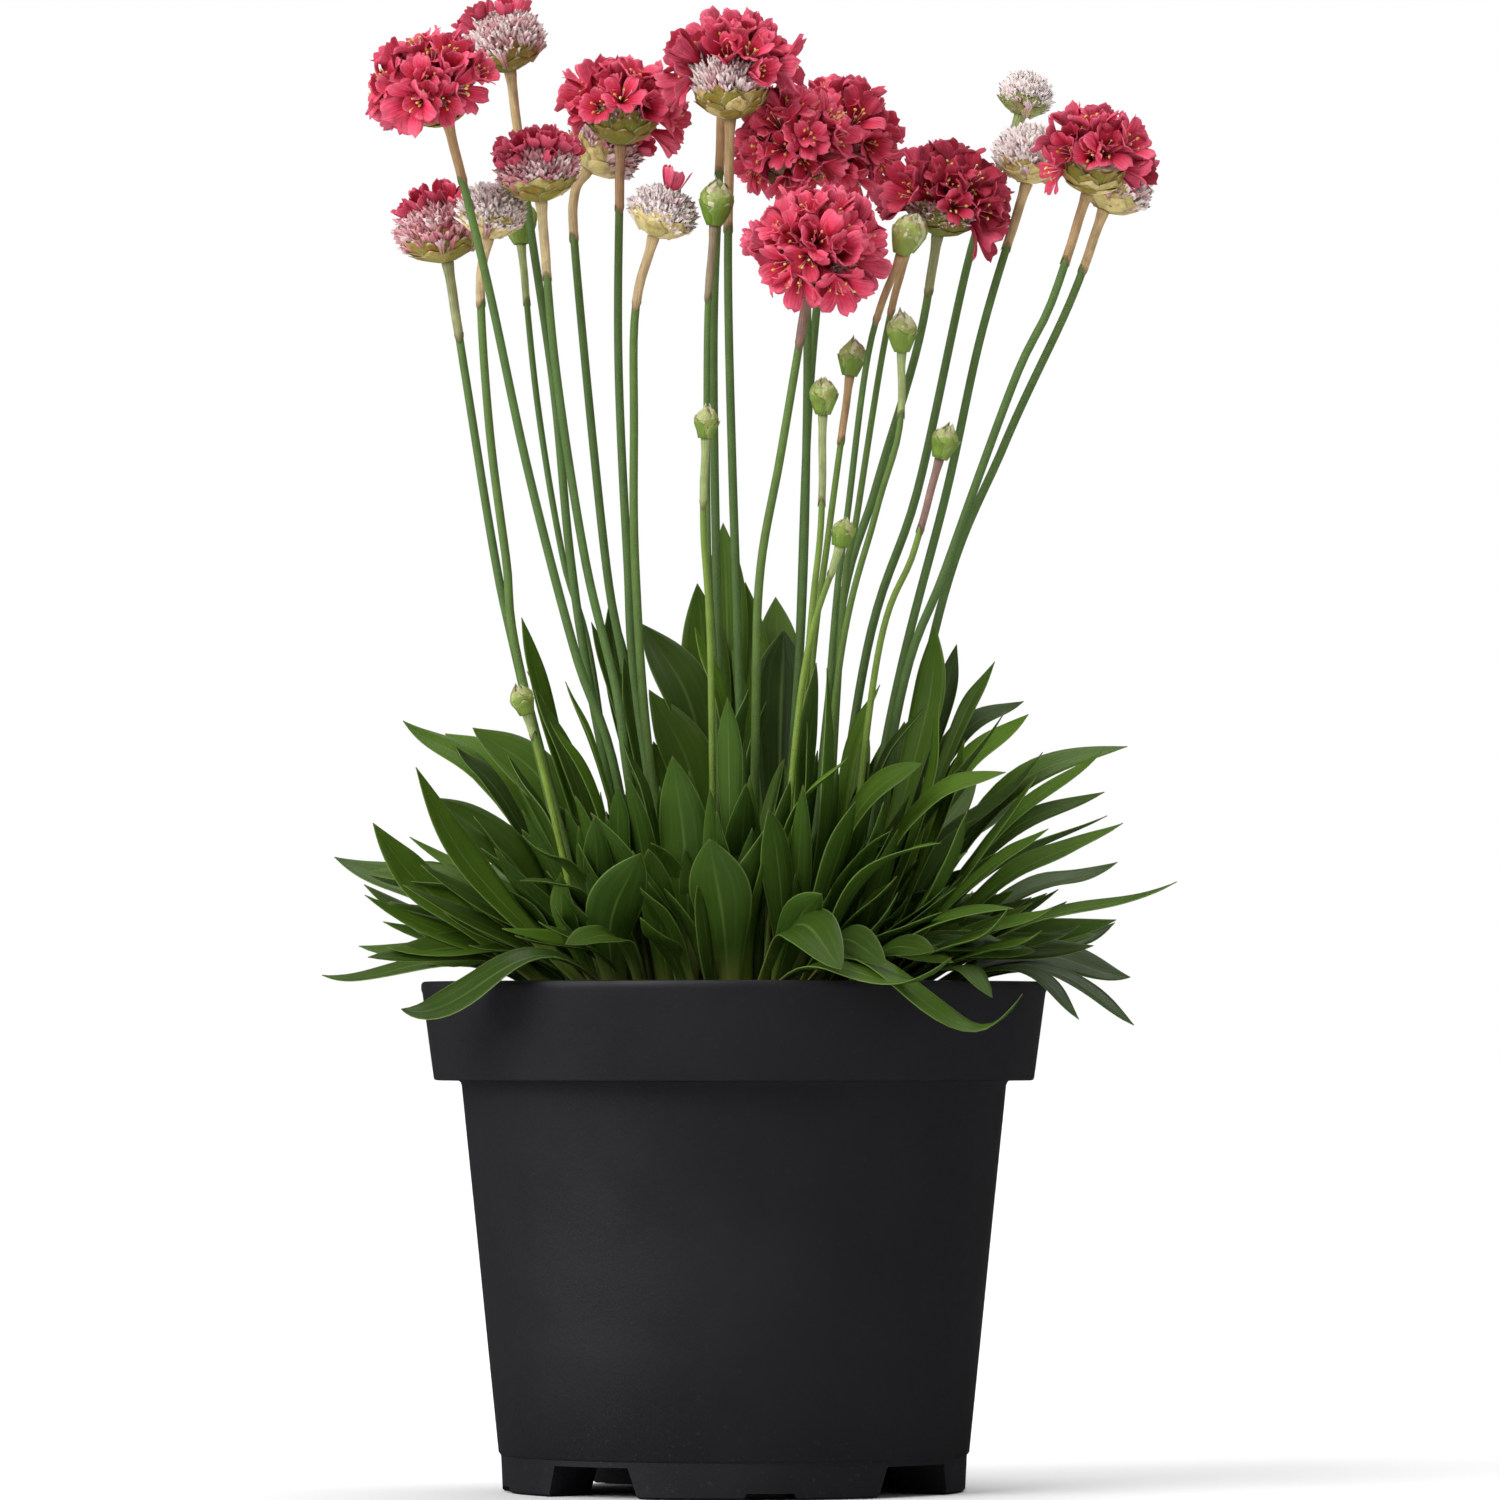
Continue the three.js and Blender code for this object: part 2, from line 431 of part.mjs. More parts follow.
function crown(grow = 0) {
  return turned([
    [0, CROWN_FOOT_Z - grow], [CROWN_RADIUS * 0.96 + grow, CROWN_FOOT_Z - grow],
    [CROWN_RADIUS + grow, SOIL_TOP_Z + 1], [CROWN_RADIUS * 0.7 + grow, CROWN_TOP_Z - 4 + grow],
    [0, CROWN_TOP_Z + grow],
  ], CROWN_SEGMENTS);
}

function soil() {
  const gap = FIT + 0.05;
  const base = BASE_Z + BASE_THICKNESS + gap;
  const slope = (RIM_FOOT_RADIUS - LIP_RADIUS) / (RIM_FOOT_Z - POT_HEIGHT);
  const edge = LIP_RADIUS - WALL - gap - (POT_HEIGHT - SOIL_EDGE_Z) * slope;
  const shelf = RIM_FOOT_Z + WALL + gap;
  const filling = turned([
    [0, base], [BODY_FOOT_RADIUS - WALL - 2 - gap, base], [BODY_FOOT_RADIUS - WALL - gap, base + 2],
    [BODY_TOP_RADIUS - WALL - gap, shelf], [RIM_FOOT_RADIUS - WALL - gap, shelf],
    [edge, SOIL_EDGE_Z], [CROWN_RADIUS + 8, SOIL_TOP_Z], [0, SOIL_TOP_Z],
  ], POT_SEGMENTS);
  return oneBody(filling.subtract(crown(FIT + 0.1)));
}

// The stalks

// The stalk's centre line as points from foot to top, with the depth easing to the head's
function stalkLine({ top, depth, via, foot }) {
  const [footX, footY] = foot;
  const rise = top[1] - STALK_FOOT_Z;
  const line = [new THREE.Vector3(footX, footY, STALK_FOOT_Z)];
  for (const [x, z] of [...via].reverse()) {
    line.push(seen([x, z], footY + (depth - footY) * ((z - STALK_FOOT_Z) / rise)));
  }
  line.push(seen(top, depth));
  return line;
}

// The point that lies a given length back from the end of a line, with its segment's number
function backAlong(line, length) {
  let left = length;
  for (let i = line.length - 1; i > 0; i -= 1) {
    const span = line[i].distanceTo(line[i - 1]);
    if (left < span) return { point: line[i].clone().lerp(line[i - 1], left / span), segment: i };
    left -= span;
  }
  return { point: line[0].clone(), segment: 1 };
}

// The way that a head faces: along its stalk's end, leaned by nod in x and y
function headAxis(line, [nodX, nodY]) {
  const last = line.length - 1;
  return line[last].clone().sub(line[last - 1]).normalize().add(new THREE.Vector3(nodX, nodY, 0)).normalize();
}

// A head's bract cup, or its closed bud, as pairs of height and radius above the stalk's top,
// and the height of the heart that its florets radiate from
function headForm({ head, size, tall = OPEN_HEAD_HEIGHT }) {
  if (head === "open") return { cup: OPEN_CUP, heart: OPEN_HEART * tall / OPEN_HEAD_HEIGHT };
  const shape = head === "bud" ? BUD_SHAPE : FADING_CUP;
  const cup = shape.map(([height, radius]) => [height * size, radius * size]);
  return { cup, heart: FADING_HEART * size };
}

function stalkStations(stalk) {
  const line = stalkLine(stalk);
  const axis = headAxis(line, stalk.nod);
  const top = line[line.length - 1];
  const mouth = backAlong(line, stalk.sheath);
  const radiusAt = (z) => THREE.MathUtils.mapLinear(z, STALK_FOOT_Z, top.z, STALK_RADIUS, STALK_TIP_RADIUS);
  const stations = line.slice(0, mouth.segment).map((at) => ({ at, radius: radiusAt(at.z) }));
  const down = mouth.point.clone().sub(backAlong(line, stalk.sheath - 2).point).normalize();
  stations.push({ at: mouth.point.clone().addScaledVector(down, 1), radius: radiusAt(mouth.point.z) });
  for (const at of [mouth.point, ...line.slice(mouth.segment)]) stations.push({ at, radius: SHEATH_RADIUS });
  for (const [height, radius] of headForm(stalk).cup) {
    stations.push({ at: top.clone().addScaledVector(axis, height), radius });
  }
  return stations;
}

// The plain hole that a stalk stands in: its own lower end, a little wider and deeper
function stalkHole(stations) {
  const foot = stations[0].at;
  const reach = (HOLE_TOP_Z - foot.z) / (stations[1].at.z - foot.z);
  const way = stations[1].at.clone().sub(foot);
  return spindle([
    { at: foot.clone().addScaledVector(way, -FIT / way.length()), radius: STALK_RADIUS + HOLE_CLEARANCE },
    { at: foot.clone().addScaledVector(way, reach), radius: STALK_RADIUS + HOLE_CLEARANCE },
  ], STALK_SIDES);
}

// The heads

// A direction on the dome: polar angle from the axis, then turn about it
function onDome(polar, turn) {
  const out = Math.sin(polar);
  return new THREE.Vector3(out * Math.cos(turn), out * Math.sin(turn), Math.cos(polar));
}

// Spread over a dome from one polar angle to another, like seeds in a sunflower
function domeDirections(count, from, to) {
  const [high, low] = [Math.cos(from), Math.cos(to)];
  return Array.from({ length: count }, (_, i) => {
    const height = high + (low - high) * ((i + 0.5) / count);
    return onDome(Math.acos(height), i * GOLDEN_ANGLE);
  });
}

// A point near a direction on the dome: so far from it, and turned so far round it
function beside(way, angle, turn) {
  const side = new THREE.Vector3(0, 0, 1).cross(way);
  if (side.length() < 0.01) side.set(1, 0, 0);
  side.normalize().applyAxisAngle(way, turn);
  return way.clone().multiplyScalar(Math.cos(angle)).addScaledVector(side, Math.sin(angle));
}

// One closed skin over a set of corners { way, reach }: each stands so far out from the heart
// of the head, and a corner that would crowd one already there is left out
function skinOver(corners, crowding) {
  const kept = [];
  for (const corner of corners) {
    if (kept.every(({ way }) => way.angleTo(corner.way) > crowding)) kept.push(corner);
  }
  const places = new Map(kept.map((corner) => [corner.way, corner]));
  const hull = new ConvexHull().setFromPoints(kept.map(({ way }) => way));
  const positions = [];
  for (const face of hull.faces) {
    let edge = face.edge;
    do {
      const { way, reach, floor } = places.get(edge.head().point);
      positions.push(...way.clone().multiplyScalar(floor ? floor / way.z : reach).toArray());
      edge = edge.next;
    } while (edge !== face.edge);
  }
  const geometry = new THREE.BufferGeometry();
  geometry.setAttribute("position", new THREE.Float32BufferAttribute(positions, 3));
  return solidOf(geometry);
}

// Corners of one floret: five petal tips standing out, the notches between them, the throat
function floretCorners(way, { reach, angle, petals, notch, throat, turn }) {
  const corners = [];
  for (let petal = 0; petal < petals; petal += 1) {
    const at = turn + (petal * 2 * Math.PI) / petals;
    corners.push({ way: beside(way, angle, at), reach });
    if (notch) corners.push({ way: beside(way, angle * 0.56, at + Math.PI / petals), reach: reach * notch });
  }
  corners.push({ way, reach: reach * throat });
  return corners;
}

// The hollows where three florets meet
function hollowCorners(ways, reach, spacing) {
  const hollows = [];
  ways.forEach((a, i) => ways.forEach((b, j) => ways.forEach((c, k) => {
    if (!(i < j && j < k)) return;
    const middle = a.clone().add(b).add(c).normalize();
    const near = [a, b, c].every((way) => way.angleTo(middle) < spacing * 0.75);
    if (near) hollows.push({ way: middle, reach });
  })));
  return hollows;
}

// The flat face, at a height below or above the heart, that meets the cup or the next colour.
// Its middle comes first, because a skin that only lies above the heart has no corner there.
function flatCorners(height, radius) {
  const corners = [{ way: new THREE.Vector3(0, 0, Math.sign(height)), floor: height }];
  for (let side = 0; side < SEAT_SIDES; side += 1) {
    const way = onDome(Math.atan2(radius, height), (side * 2 * Math.PI) / SEAT_SIDES);
    corners.push({ way, floor: height });
  }
  return corners;
}

// The flat underside that rests on the bract cup
function cupSeat(stalk) {
  const { cup, heart } = headForm(stalk);
  const [top, radius] = cup[cup.length - 1];
  return flatCorners(top + FIT - heart, radius + 0.4);
}

function petalHead(stalk, random) {
  const { count, lowest, reach, vary, angle, notch, throat, hang, crowding } = OPEN_FLORETS;
  const ways = domeDirections(count, 0, lowest);
  const florets = ways.flatMap((way) => floretCorners(way, {
    reach: (stalk.size / 2) * (reach + vary * random()), angle, petals: 5, notch, throat,
    turn: random() * Math.PI,
  }));
  const hanging = florets.filter(({ way }) => way.angleTo(UP) < hang);
  const hollows = hollowCorners(ways, stalk.size * HOLLOWS.reach, HOLLOWS.spacing);
  return skinOver([...cupSeat(stalk), ...hanging, ...hollows], crowding)
    .scale([1, 1, stalk.tall ?? OPEN_HEAD_HEIGHT]);
}

function calyxDome(stalk, count, random, flatTop) {
  const { size } = stalk;
  const { top, lowest, reach, vary, angle, throat, hang, clear, seat, crowding } = CALYCES;
  const ways = domeDirections(count, flatTop ? top : 0, lowest);
  const cups = ways.flatMap((way) => floretCorners(way, {
    reach: (size / 2) * (reach + vary * random()), angle, petals: 3, notch: 0, throat,
    turn: random() * Math.PI,
  })).filter(({ way }) => way.angleTo(UP) < hang && !(flatTop && way.angleTo(UP) < clear));
  const above = flatTop ? flatCorners(size * CROWN_SEAT, size * seat) : [];
  return skinOver([...cupSeat(stalk), ...above, ...cups], crowding);
}

// The closed and half-closed petals left on top of a fading head
function petalCrown(size, ways, random) {
  const { reach, vary, angle, throat, seat, crowding } = LEFT_PETALS;
  const florets = ways.flatMap((way) => floretCorners(way, {
    reach: size * (reach + vary * random()), angle, petals: 5, notch: 0, throat,
    turn: random() * Math.PI,
  }));
  const foot = flatCorners(size * CROWN_SEAT + FIT, size * seat).slice(1);
  return skinOver([...foot, ...florets], crowding);
}

// One colour each: { florets, calyces } in the head's own space, with the axis along +Z
function headSolids(stalk, random) {
  const { head, size } = stalk;
  if (head === "open") return { florets: petalHead(stalk, random) };
  if (head === "opening") return { calyces: calyxDome(stalk, 12, random, false) };
  if (head === "spent") return { calyces: calyxDome(stalk, 19, random, false) };
  const calyces = calyxDome(stalk, 14, random, true);
  const ways = head === "tuft" ? [onDome(0.3, -0.4)] : domeDirections(6, 0, 0.62);
  return { florets: petalCrown(size, ways, random), calyces };
}

function placed(solid, origin, axis) {
  const turn = new THREE.Quaternion().setFromUnitVectors(UP, axis);
  const matrix = new THREE.Matrix4().compose(origin, turn, new THREE.Vector3(1, 1, 1));
  return solid.transform(matrix.elements);
}

// The leaves

// Half width of a blade at t: a long narrow base, widest past the middle, then a point
function bladeHalf(t, wide, blunt) {
  const { widest, taper } = blunt ? BLUNT : POINTED;
  if (t < widest) {
    return (wide / 2) * (BLADE_BASE + (1 - BLADE_BASE) * THREE.MathUtils.smoothstep(t, 0, widest));
  }
  const late = (t - widest) / (1 - widest);
  return (wide / 2) * Math.sqrt(Math.max(0, 1 - late ** taper));
}

// The frame of a blade at t: its middle, the way across it and the way its upper face looks
function bladeFrame({ path, roll }, t) {
  const along = path.getTangent(t);
  const away = path.v3.clone().sub(path.v0).setZ(0).normalize();
  const across = new THREE.Vector3(away.y, -away.x, 0).applyAxisAngle(along, roll);
  across.addScaledVector(along, -across.dot(along)).normalize();
  return { middle: path.getPoint(t), across, up: across.clone().cross(along) };
}

// A point on a blade: side runs from -1 to 1 across it, and face is 1 above, -1 below
function bladePoint(leaf, t, side, face) {
  const { middle, across, up } = bladeFrame(leaf, t);
  const half = bladeHalf(t, leaf.wide, leaf.blunt);
  const lift = (LEAF_THICKNESS / 2) * face + LEAF_FOLD * half * (Math.abs(side) - 0.5);
  return middle.addScaledVector(across, side * half).addScaledVector(up, lift);
}

function blade(leaf) {
  const steps = leaf.wide < NARROW_LEAF ? LEAF_STEPS - 1 : LEAF_STEPS;
  const cone = new THREE.ConeGeometry(1, 1, LEAF_SIDES, steps);
  return solidOf(shaped(cone, (corner) => {
    const t = corner.y + 0.5;
    const round = Math.max(1 - t, 1e-9);
    const atTip = t > 1 - 1e-6;
    return bladePoint(leaf, t, atTip ? 0 : corner.x / round, atTip ? 0 : corner.z / round);
  }));
}

// A leaf's curve from root to tip through its middle; its end runs straight on, or curls
function leafPath(root, middle, tip, curl) {
  const upper = tip.clone().lerp(middle, LEAF_END);
  const lower = middle.clone().multiplyScalar(8).sub(root).sub(tip)
    .addScaledVector(upper, -3).divideScalar(3);
  lower.z += curl;
  upper.z -= curl;
  return new THREE.CubicBezierCurve3(root, lower, upper, tip);
}

// A leaf of the front view; each further attempt moves it a little in depth and lifts it
function frontLeaf({ tip, mid, depth, midDepth, root, wide, roll, curl = 0, blunt = 0 }, attempt) {
  const nudge = (attempt % 2 ? 1 : -1) * Math.ceil(attempt / 2) * NUDGE.depth;
  const end = seen(onGrid(tip), depth + nudge);
  const start = new THREE.Vector3(root[0], root[1] + nudge * NUDGE.root, LEAF_ROOT_Z);
  const middle = seen(onGrid(mid), midDepth ?? THREE.MathUtils.lerp(start.y, end.y, LEAF_MIDDLE));
  middle.z += attempt * NUDGE.lift;
  const away = end.clone().sub(start).setZ(0).normalize();
  return {
    path: leafPath(start, middle, end, curl), wide, blunt,
    roll: (roll ?? away.x * LEAF_FACING) + nudge * NUDGE.roll,
  };
}

// A leaf at the back by rule: inner ones stand up, outer ones spread and arch over the lip
function backLeaf(number, attempt) {
  const random = seeded(LEAF_SEED + number * 97 + attempt);
  const out = Math.sqrt((number + 0.5) / BACK_LEAVES);
  const vary = (most) => (random() - 0.5) * most;
  const turn = BACK_FROM + BACK_SPREAD * ((number * GOLDEN_SHARE) % 1) + vary(BACK_TURN_VARY);
  const away = new THREE.Vector3(Math.cos(turn), Math.sin(turn), 0);
  const rootOut = BACK_ROOT.start + (CROWN_RADIUS - BACK_ROOT.margin) * out + vary(BACK_ROOT.vary);
  const tipOut = TUFT_REACH * (BACK_TIP.start + BACK_TIP.more * out + vary(BACK_TIP.vary));
  const dome = Math.sqrt(Math.max(0, 1 - (tipOut / (TUFT_REACH * BACK_RISE.dome)) ** 2));
  const rise = BACK_RISE.foot + BACK_RISE.height * dome * (0.5 + 0.5 * random());
  const root = away.clone().multiplyScalar(rootOut).setZ(LEAF_ROOT_Z);
  const tip = away.clone().multiplyScalar(tipOut).setZ(LEAF_ROOT_Z + rise);
  const sway = vary(BACK_TIP.sway);
  tip.x += away.y * sway;
  tip.y -= away.x * sway;
  const middle = root.clone().lerp(tip, BACK_ARCH.middle);
  middle.z += BACK_ARCH.start + BACK_ARCH.more * out + BACK_ARCH.vary * random();
  return {
    path: leafPath(root, middle, tip, (random() - BACK_CURL.down) * BACK_CURL.most),
    wide: BACK_BLADE.wide + BACK_BLADE.vary * random(), blunt: 0, roll: vary(BACK_BLADE.roll),
  };
}

// Distance from a point to the nearest stalk's skin
function stalkDistance(point, bones) {
  let nearest = Infinity;
  for (const { from, to, radius, low, high } of bones) {
    if (point.z < low - 6 || point.z > high + 6) continue;
    const way = to.clone().sub(from);
    const t = THREE.MathUtils.clamp(point.clone().sub(from).dot(way) / way.lengthSq(), 0, 1);
    nearest = Math.min(nearest, from.clone().addScaledVector(way, t).distanceTo(point) - radius);
  }
  return nearest;
}

function clearOfPot(point) {
  const out = Math.hypot(point.x, point.y);
  const slope = (LIP_RADIUS - RIM_FOOT_RADIUS) / (POT_HEIGHT - RIM_FOOT_Z);
  const skin = LIP_RADIUS - (POT_HEIGHT - point.z) * slope;
  if (out > CROWN_RADIUS - 2 && out < LIP_RADIUS - WALL - 2) return point.z > SOIL_TOP_Z + 2.4;
  if (out >= LIP_RADIUS - WALL - 2 && out < LIP_RADIUS + 1.2) {
    return point.z > POT_HEIGHT + 1.2 || out > skin + 1.2;
  }
  return true;
}

function leafIsClear(leaf, bones) {
  const length = leaf.path.getLength();
  const rows = Math.ceil(length / LEAF_SAMPLE);
  const columns = Math.ceil(leaf.wide / LEAF_SAMPLE);
  for (let row = 0; row <= rows; row += 1) {
    const t = row / rows;
    for (let column = 0; column <= columns; column += 1) {
      const point = bladePoint(leaf, t, (column / columns) * 2 - 1, 0);
      if (!clearOfPot(point)) return false;
      if (stalkDistance(point, bones) < LEAF_CLEARANCE) return false;
    }
  }
  return true;
}

// All leaves, each at its first attempt that stands clear of the stalks and the pot
function clearLeaves(bones) {
  const leaves = [];
  const keepFirstClear = (make) => {
    for (let attempt = 0; attempt < LEAF_ATTEMPTS; attempt += 1) {
      const leaf = make(attempt);
      if (leafIsClear(leaf, bones)) {
        leaves.push(leaf);
        return;
      }
    }
  };
  for (const row of FRONT_LEAVES) keepFirstClear((attempt) => frontLeaf(row, attempt));
  for (let number = 0; number < BACK_LEAVES; number += 1) {
    keepFirstClear((attempt) => backLeaf(number, attempt));
  }
  return leaves;
}

// The whole plant

const plant = new THREE.Group();

function add(name, solid, color, roughness) {
  const material = new THREE.MeshStandardMaterial({ color, roughness, metalness: 0 });
  const mesh = new THREE.Mesh(geometryOf(solid), material);
  mesh.name = name;
  plant.add(mesh);
}

add("pot", pot(), COLOURS.pot, 0.45);
add("soil", soil(), COLOURS.soil, 0.95);

const stations = STALKS.map(stalkStations);
const bones = stations.flatMap((row) => row.slice(1).map(({ at, radius }, i) => ({
  from: row[i].at, to: at, radius: Math.max(radius, row[i].radius),
  low: Math.min(row[i].at.z, at.z), high: Math.max(row[i].at.z, at.z),
})));
const leaves = clearLeaves(bones).map(blade);
const holes = joined(stations.map(stalkHole));
add("leaf_tuft", oneBody(joined([crown(), ...leaves]).subtract(holes)), COLOURS.leaf, 0.55);

STALKS.forEach((stalk, number) => {
  add(`scape_${stalk.id}`, spindle(stations[number], STALK_SIDES), COLOURS.stalk, 0.6);
  if (stalk.head === "bud") return;
  const random = seeded(900 + number);
  const line = stalkLine(stalk);
  const axis = headAxis(line, stalk.nod);
  const centre = line[line.length - 1].clone().addScaledVector(axis, headForm(stalk).heart);
  const { florets, calyces } = headSolids(stalk, random);
  if (calyces) add(`calyces_${stalk.id}`, placed(calyces, centre, axis), COLOURS.calyx, 0.8);
  if (florets) add(`florets_${stalk.id}`, placed(florets, centre, axis), COLOURS.floret, 0.6);
});

export default plant;
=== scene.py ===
"""Pinkball thrift in a black nursery pot: the looks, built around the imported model.

Sizes are millimetres until a mesh is made. The plant stands on the floor with the pot's axis on
Z, and its front is -Y. Stalks, heads and leaves follow the same tables and rules as the solids,
with finer forms laid over them; a few heads sit a little higher or lower to suit their florets.
"""

from __future__ import annotations

import logging
import math
from collections import defaultdict
from dataclasses import dataclass, field
from enum import Enum
from functools import partial
from typing import Callable, Iterator, Sequence

import bpy
import numpy as np
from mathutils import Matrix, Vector, noise

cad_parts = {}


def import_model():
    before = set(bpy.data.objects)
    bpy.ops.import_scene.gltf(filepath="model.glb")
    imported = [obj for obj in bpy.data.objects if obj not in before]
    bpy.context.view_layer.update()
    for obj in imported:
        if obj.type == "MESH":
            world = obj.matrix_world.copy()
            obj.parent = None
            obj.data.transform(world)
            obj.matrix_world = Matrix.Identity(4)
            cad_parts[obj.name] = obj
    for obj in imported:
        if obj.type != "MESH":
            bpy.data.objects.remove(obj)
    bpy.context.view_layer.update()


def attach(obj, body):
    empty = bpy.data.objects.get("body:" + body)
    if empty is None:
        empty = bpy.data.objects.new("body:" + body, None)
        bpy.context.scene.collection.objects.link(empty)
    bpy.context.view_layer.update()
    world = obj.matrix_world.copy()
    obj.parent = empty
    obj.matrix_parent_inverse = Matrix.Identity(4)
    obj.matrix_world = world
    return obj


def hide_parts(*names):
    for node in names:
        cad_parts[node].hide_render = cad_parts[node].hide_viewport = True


log = logging.getLogger("thrift")

Array = np.ndarray
Draws = np.random.Generator
Object = bpy.types.Object
Material = bpy.types.Material
Node = bpy.types.Node
Socket = bpy.types.NodeSocket
Tree = bpy.types.NodeTree
Pair = tuple[float, float]
Triple = tuple[float, float, float]
Colour = tuple[float, float, float, float]
Source = Socket | float | Colour

MM = 0.001
TURN = 2 * math.pi
GOLDEN_ANGLE = math.pi * (3 - math.sqrt(5))
GOLDEN_SHARE = 0.618034

# Where each run of random draws starts
CRUMB_SEED = 11
STALK_SEED = 900
TONE_SEED = 5
LEAF_SEED = 4100
TWIST_SEED = 31
CROWN_SEED = 23
FILLER_SEED = 70000
SKIRT_SEED = 90000

# Pot and compost
POT_HEIGHT = 138.0
LIP_RADIUS = 85.0
RIM_FOOT_RADIUS = 81.6
RIM_FOOT_Z = 111.2
BODY_TOP_RADIUS = 74.0
BODY_FOOT_RADIUS = 63.9
FOOT_RADIUS = 62.8
FOOT_INNER_RADIUS = 45.0
FOOT_HEIGHT = 10.0
WALL = 1.8
BASE_Z = 8.2
BASE_THICKNESS = 2.0
SOIL_EDGE_Z = 124.5
SOIL_TOP_Z = 126.0
CROWN_RADIUS = 47.0
CROWN_TOP_Z = 138.0

# Stalks
STALK_FOOT_Z = 122.0
STALK_RADIUS = 1.55
STALK_TIP_RADIUS = 1.3
SHEATH_RADIUS = 1.85
OPEN_HEAD_HEIGHT = 0.76

# The front view: where the eye is, and the grid that leaf places are read on
EYE_DISTANCE = 2900.0
EYE_HEIGHT = 122.0
GRID_STEP = 0.2719
GRID_AXIS = 734.0
GRID_FLOOR = 1489.0

# Florets and calyces; petal lengths are those of a head of the usual size
FLORET_PARTS = 5
USUAL_HEAD = 36.0
OPEN_PETAL = 10.6
FADING_PETAL = 7.2
SHUT_SHARE = 0.16
SHOWY_CALYCES = 1.3
MOST_BARE = 2.1
CALYX_LENGTH = 6.4
CALYX_MOUTH = 1.25
FADING_CALYCES = 108
OPENING_CALYCES = 84
PETAL_LENGTH = 8.5
PETAL_WIDEST = 0.78
PETAL_THROAT = 0.55
PETAL_HALF_THICKNESS = 0.1
PETAL_MOST_OPEN = 1.95
PETAL_LEAST_BEND = 0.08
THREAD_RADIUS = 0.1
ANTHER_HALF_LENGTH = 0.62
ANTHER_RADIUS = 0.4
CALYX_PLEATS = 10

# Leaves
LEAF_ROOT_Z = 126.0
LEAF_FACING = 0.55
LEAF_END = 0.75
LEAF_FOLD = 0.3
LEAF_CLEARANCE = 1.0
POT_CLEARANCE = 1.2
LEAF_SAMPLE = 2.5
LEAF_ATTEMPTS = 40
BACK_LEAVES = 30
BACK_FROM = -0.35
BACK_SPREAD = math.pi + 0.7
TUFT_REACH = 110.0


class Bloom(Enum):
    """How far a head has come."""

    BUD = "bud"
    OPENING = "opening"
    OPEN = "open"
    HALF = "half"
    TUFT = "tuft"
    SPENT = "spent"


@dataclass(frozen=True)
class Stalk:
    """One flower stalk and its head.

    Where it is: top is where the head sits (x, z) and depth how far behind the axis. via are
    points on the way down (x, z), and foot is where it leaves the crown (x, y). sheath is the
    length of the papery sheath, and nod leans the head off its stalk's line (x, y).

    How it looks: tint picks the sheath's colour, from cream (0) through tan and mauve-brown to
    green (1), and cup the bracts', from green (0) through olive to cream (1). cover is how much
    of a fading head they cover. tall is an open head's height for its width. bare is how far
    down its front still has florets, as an angle from its axis, and low the same all round.
    fresh is their colour, from dark (0) to bright (1), and pale how white the papery calyces
    are. sink is how far the head has settled towards its cup; less than 0 lifts it.
    """

    label: str
    bloom: Bloom
    size: float
    top: Pair
    depth: float
    sheath: float
    via: tuple[Pair, ...]
    foot: Pair
    nod: Pair
    tint: float = 0.2
    tall: float = OPEN_HEAD_HEIGHT
    cup: float = 0.5
    cover: float = 0.35
    bare: float = 2.1
    low: float = 1.66
    fresh: float = 0.8
    pale: float = 0.2
    sink: float = 0.0


@dataclass(frozen=True)
class Blade:
    """One leaf of the front view.

    tip and mid are its tip and its middle (across, down) on the view's grid, with their depths.
    root is where it leaves the crown (x, y). roll turns its face, curl lifts its end or lets it
    hang, blunt is 1 for a rounded tip, and tone is its colour, from dark (0) to fresh (1).
    """

    tip: Pair
    mid: Pair
    depth: float
    root: Pair
    wide: float
    roll: float | None = None
    curl: float = 0.0
    blunt: int = 0
    mid_depth: float | None = None
    tone: float | None = None


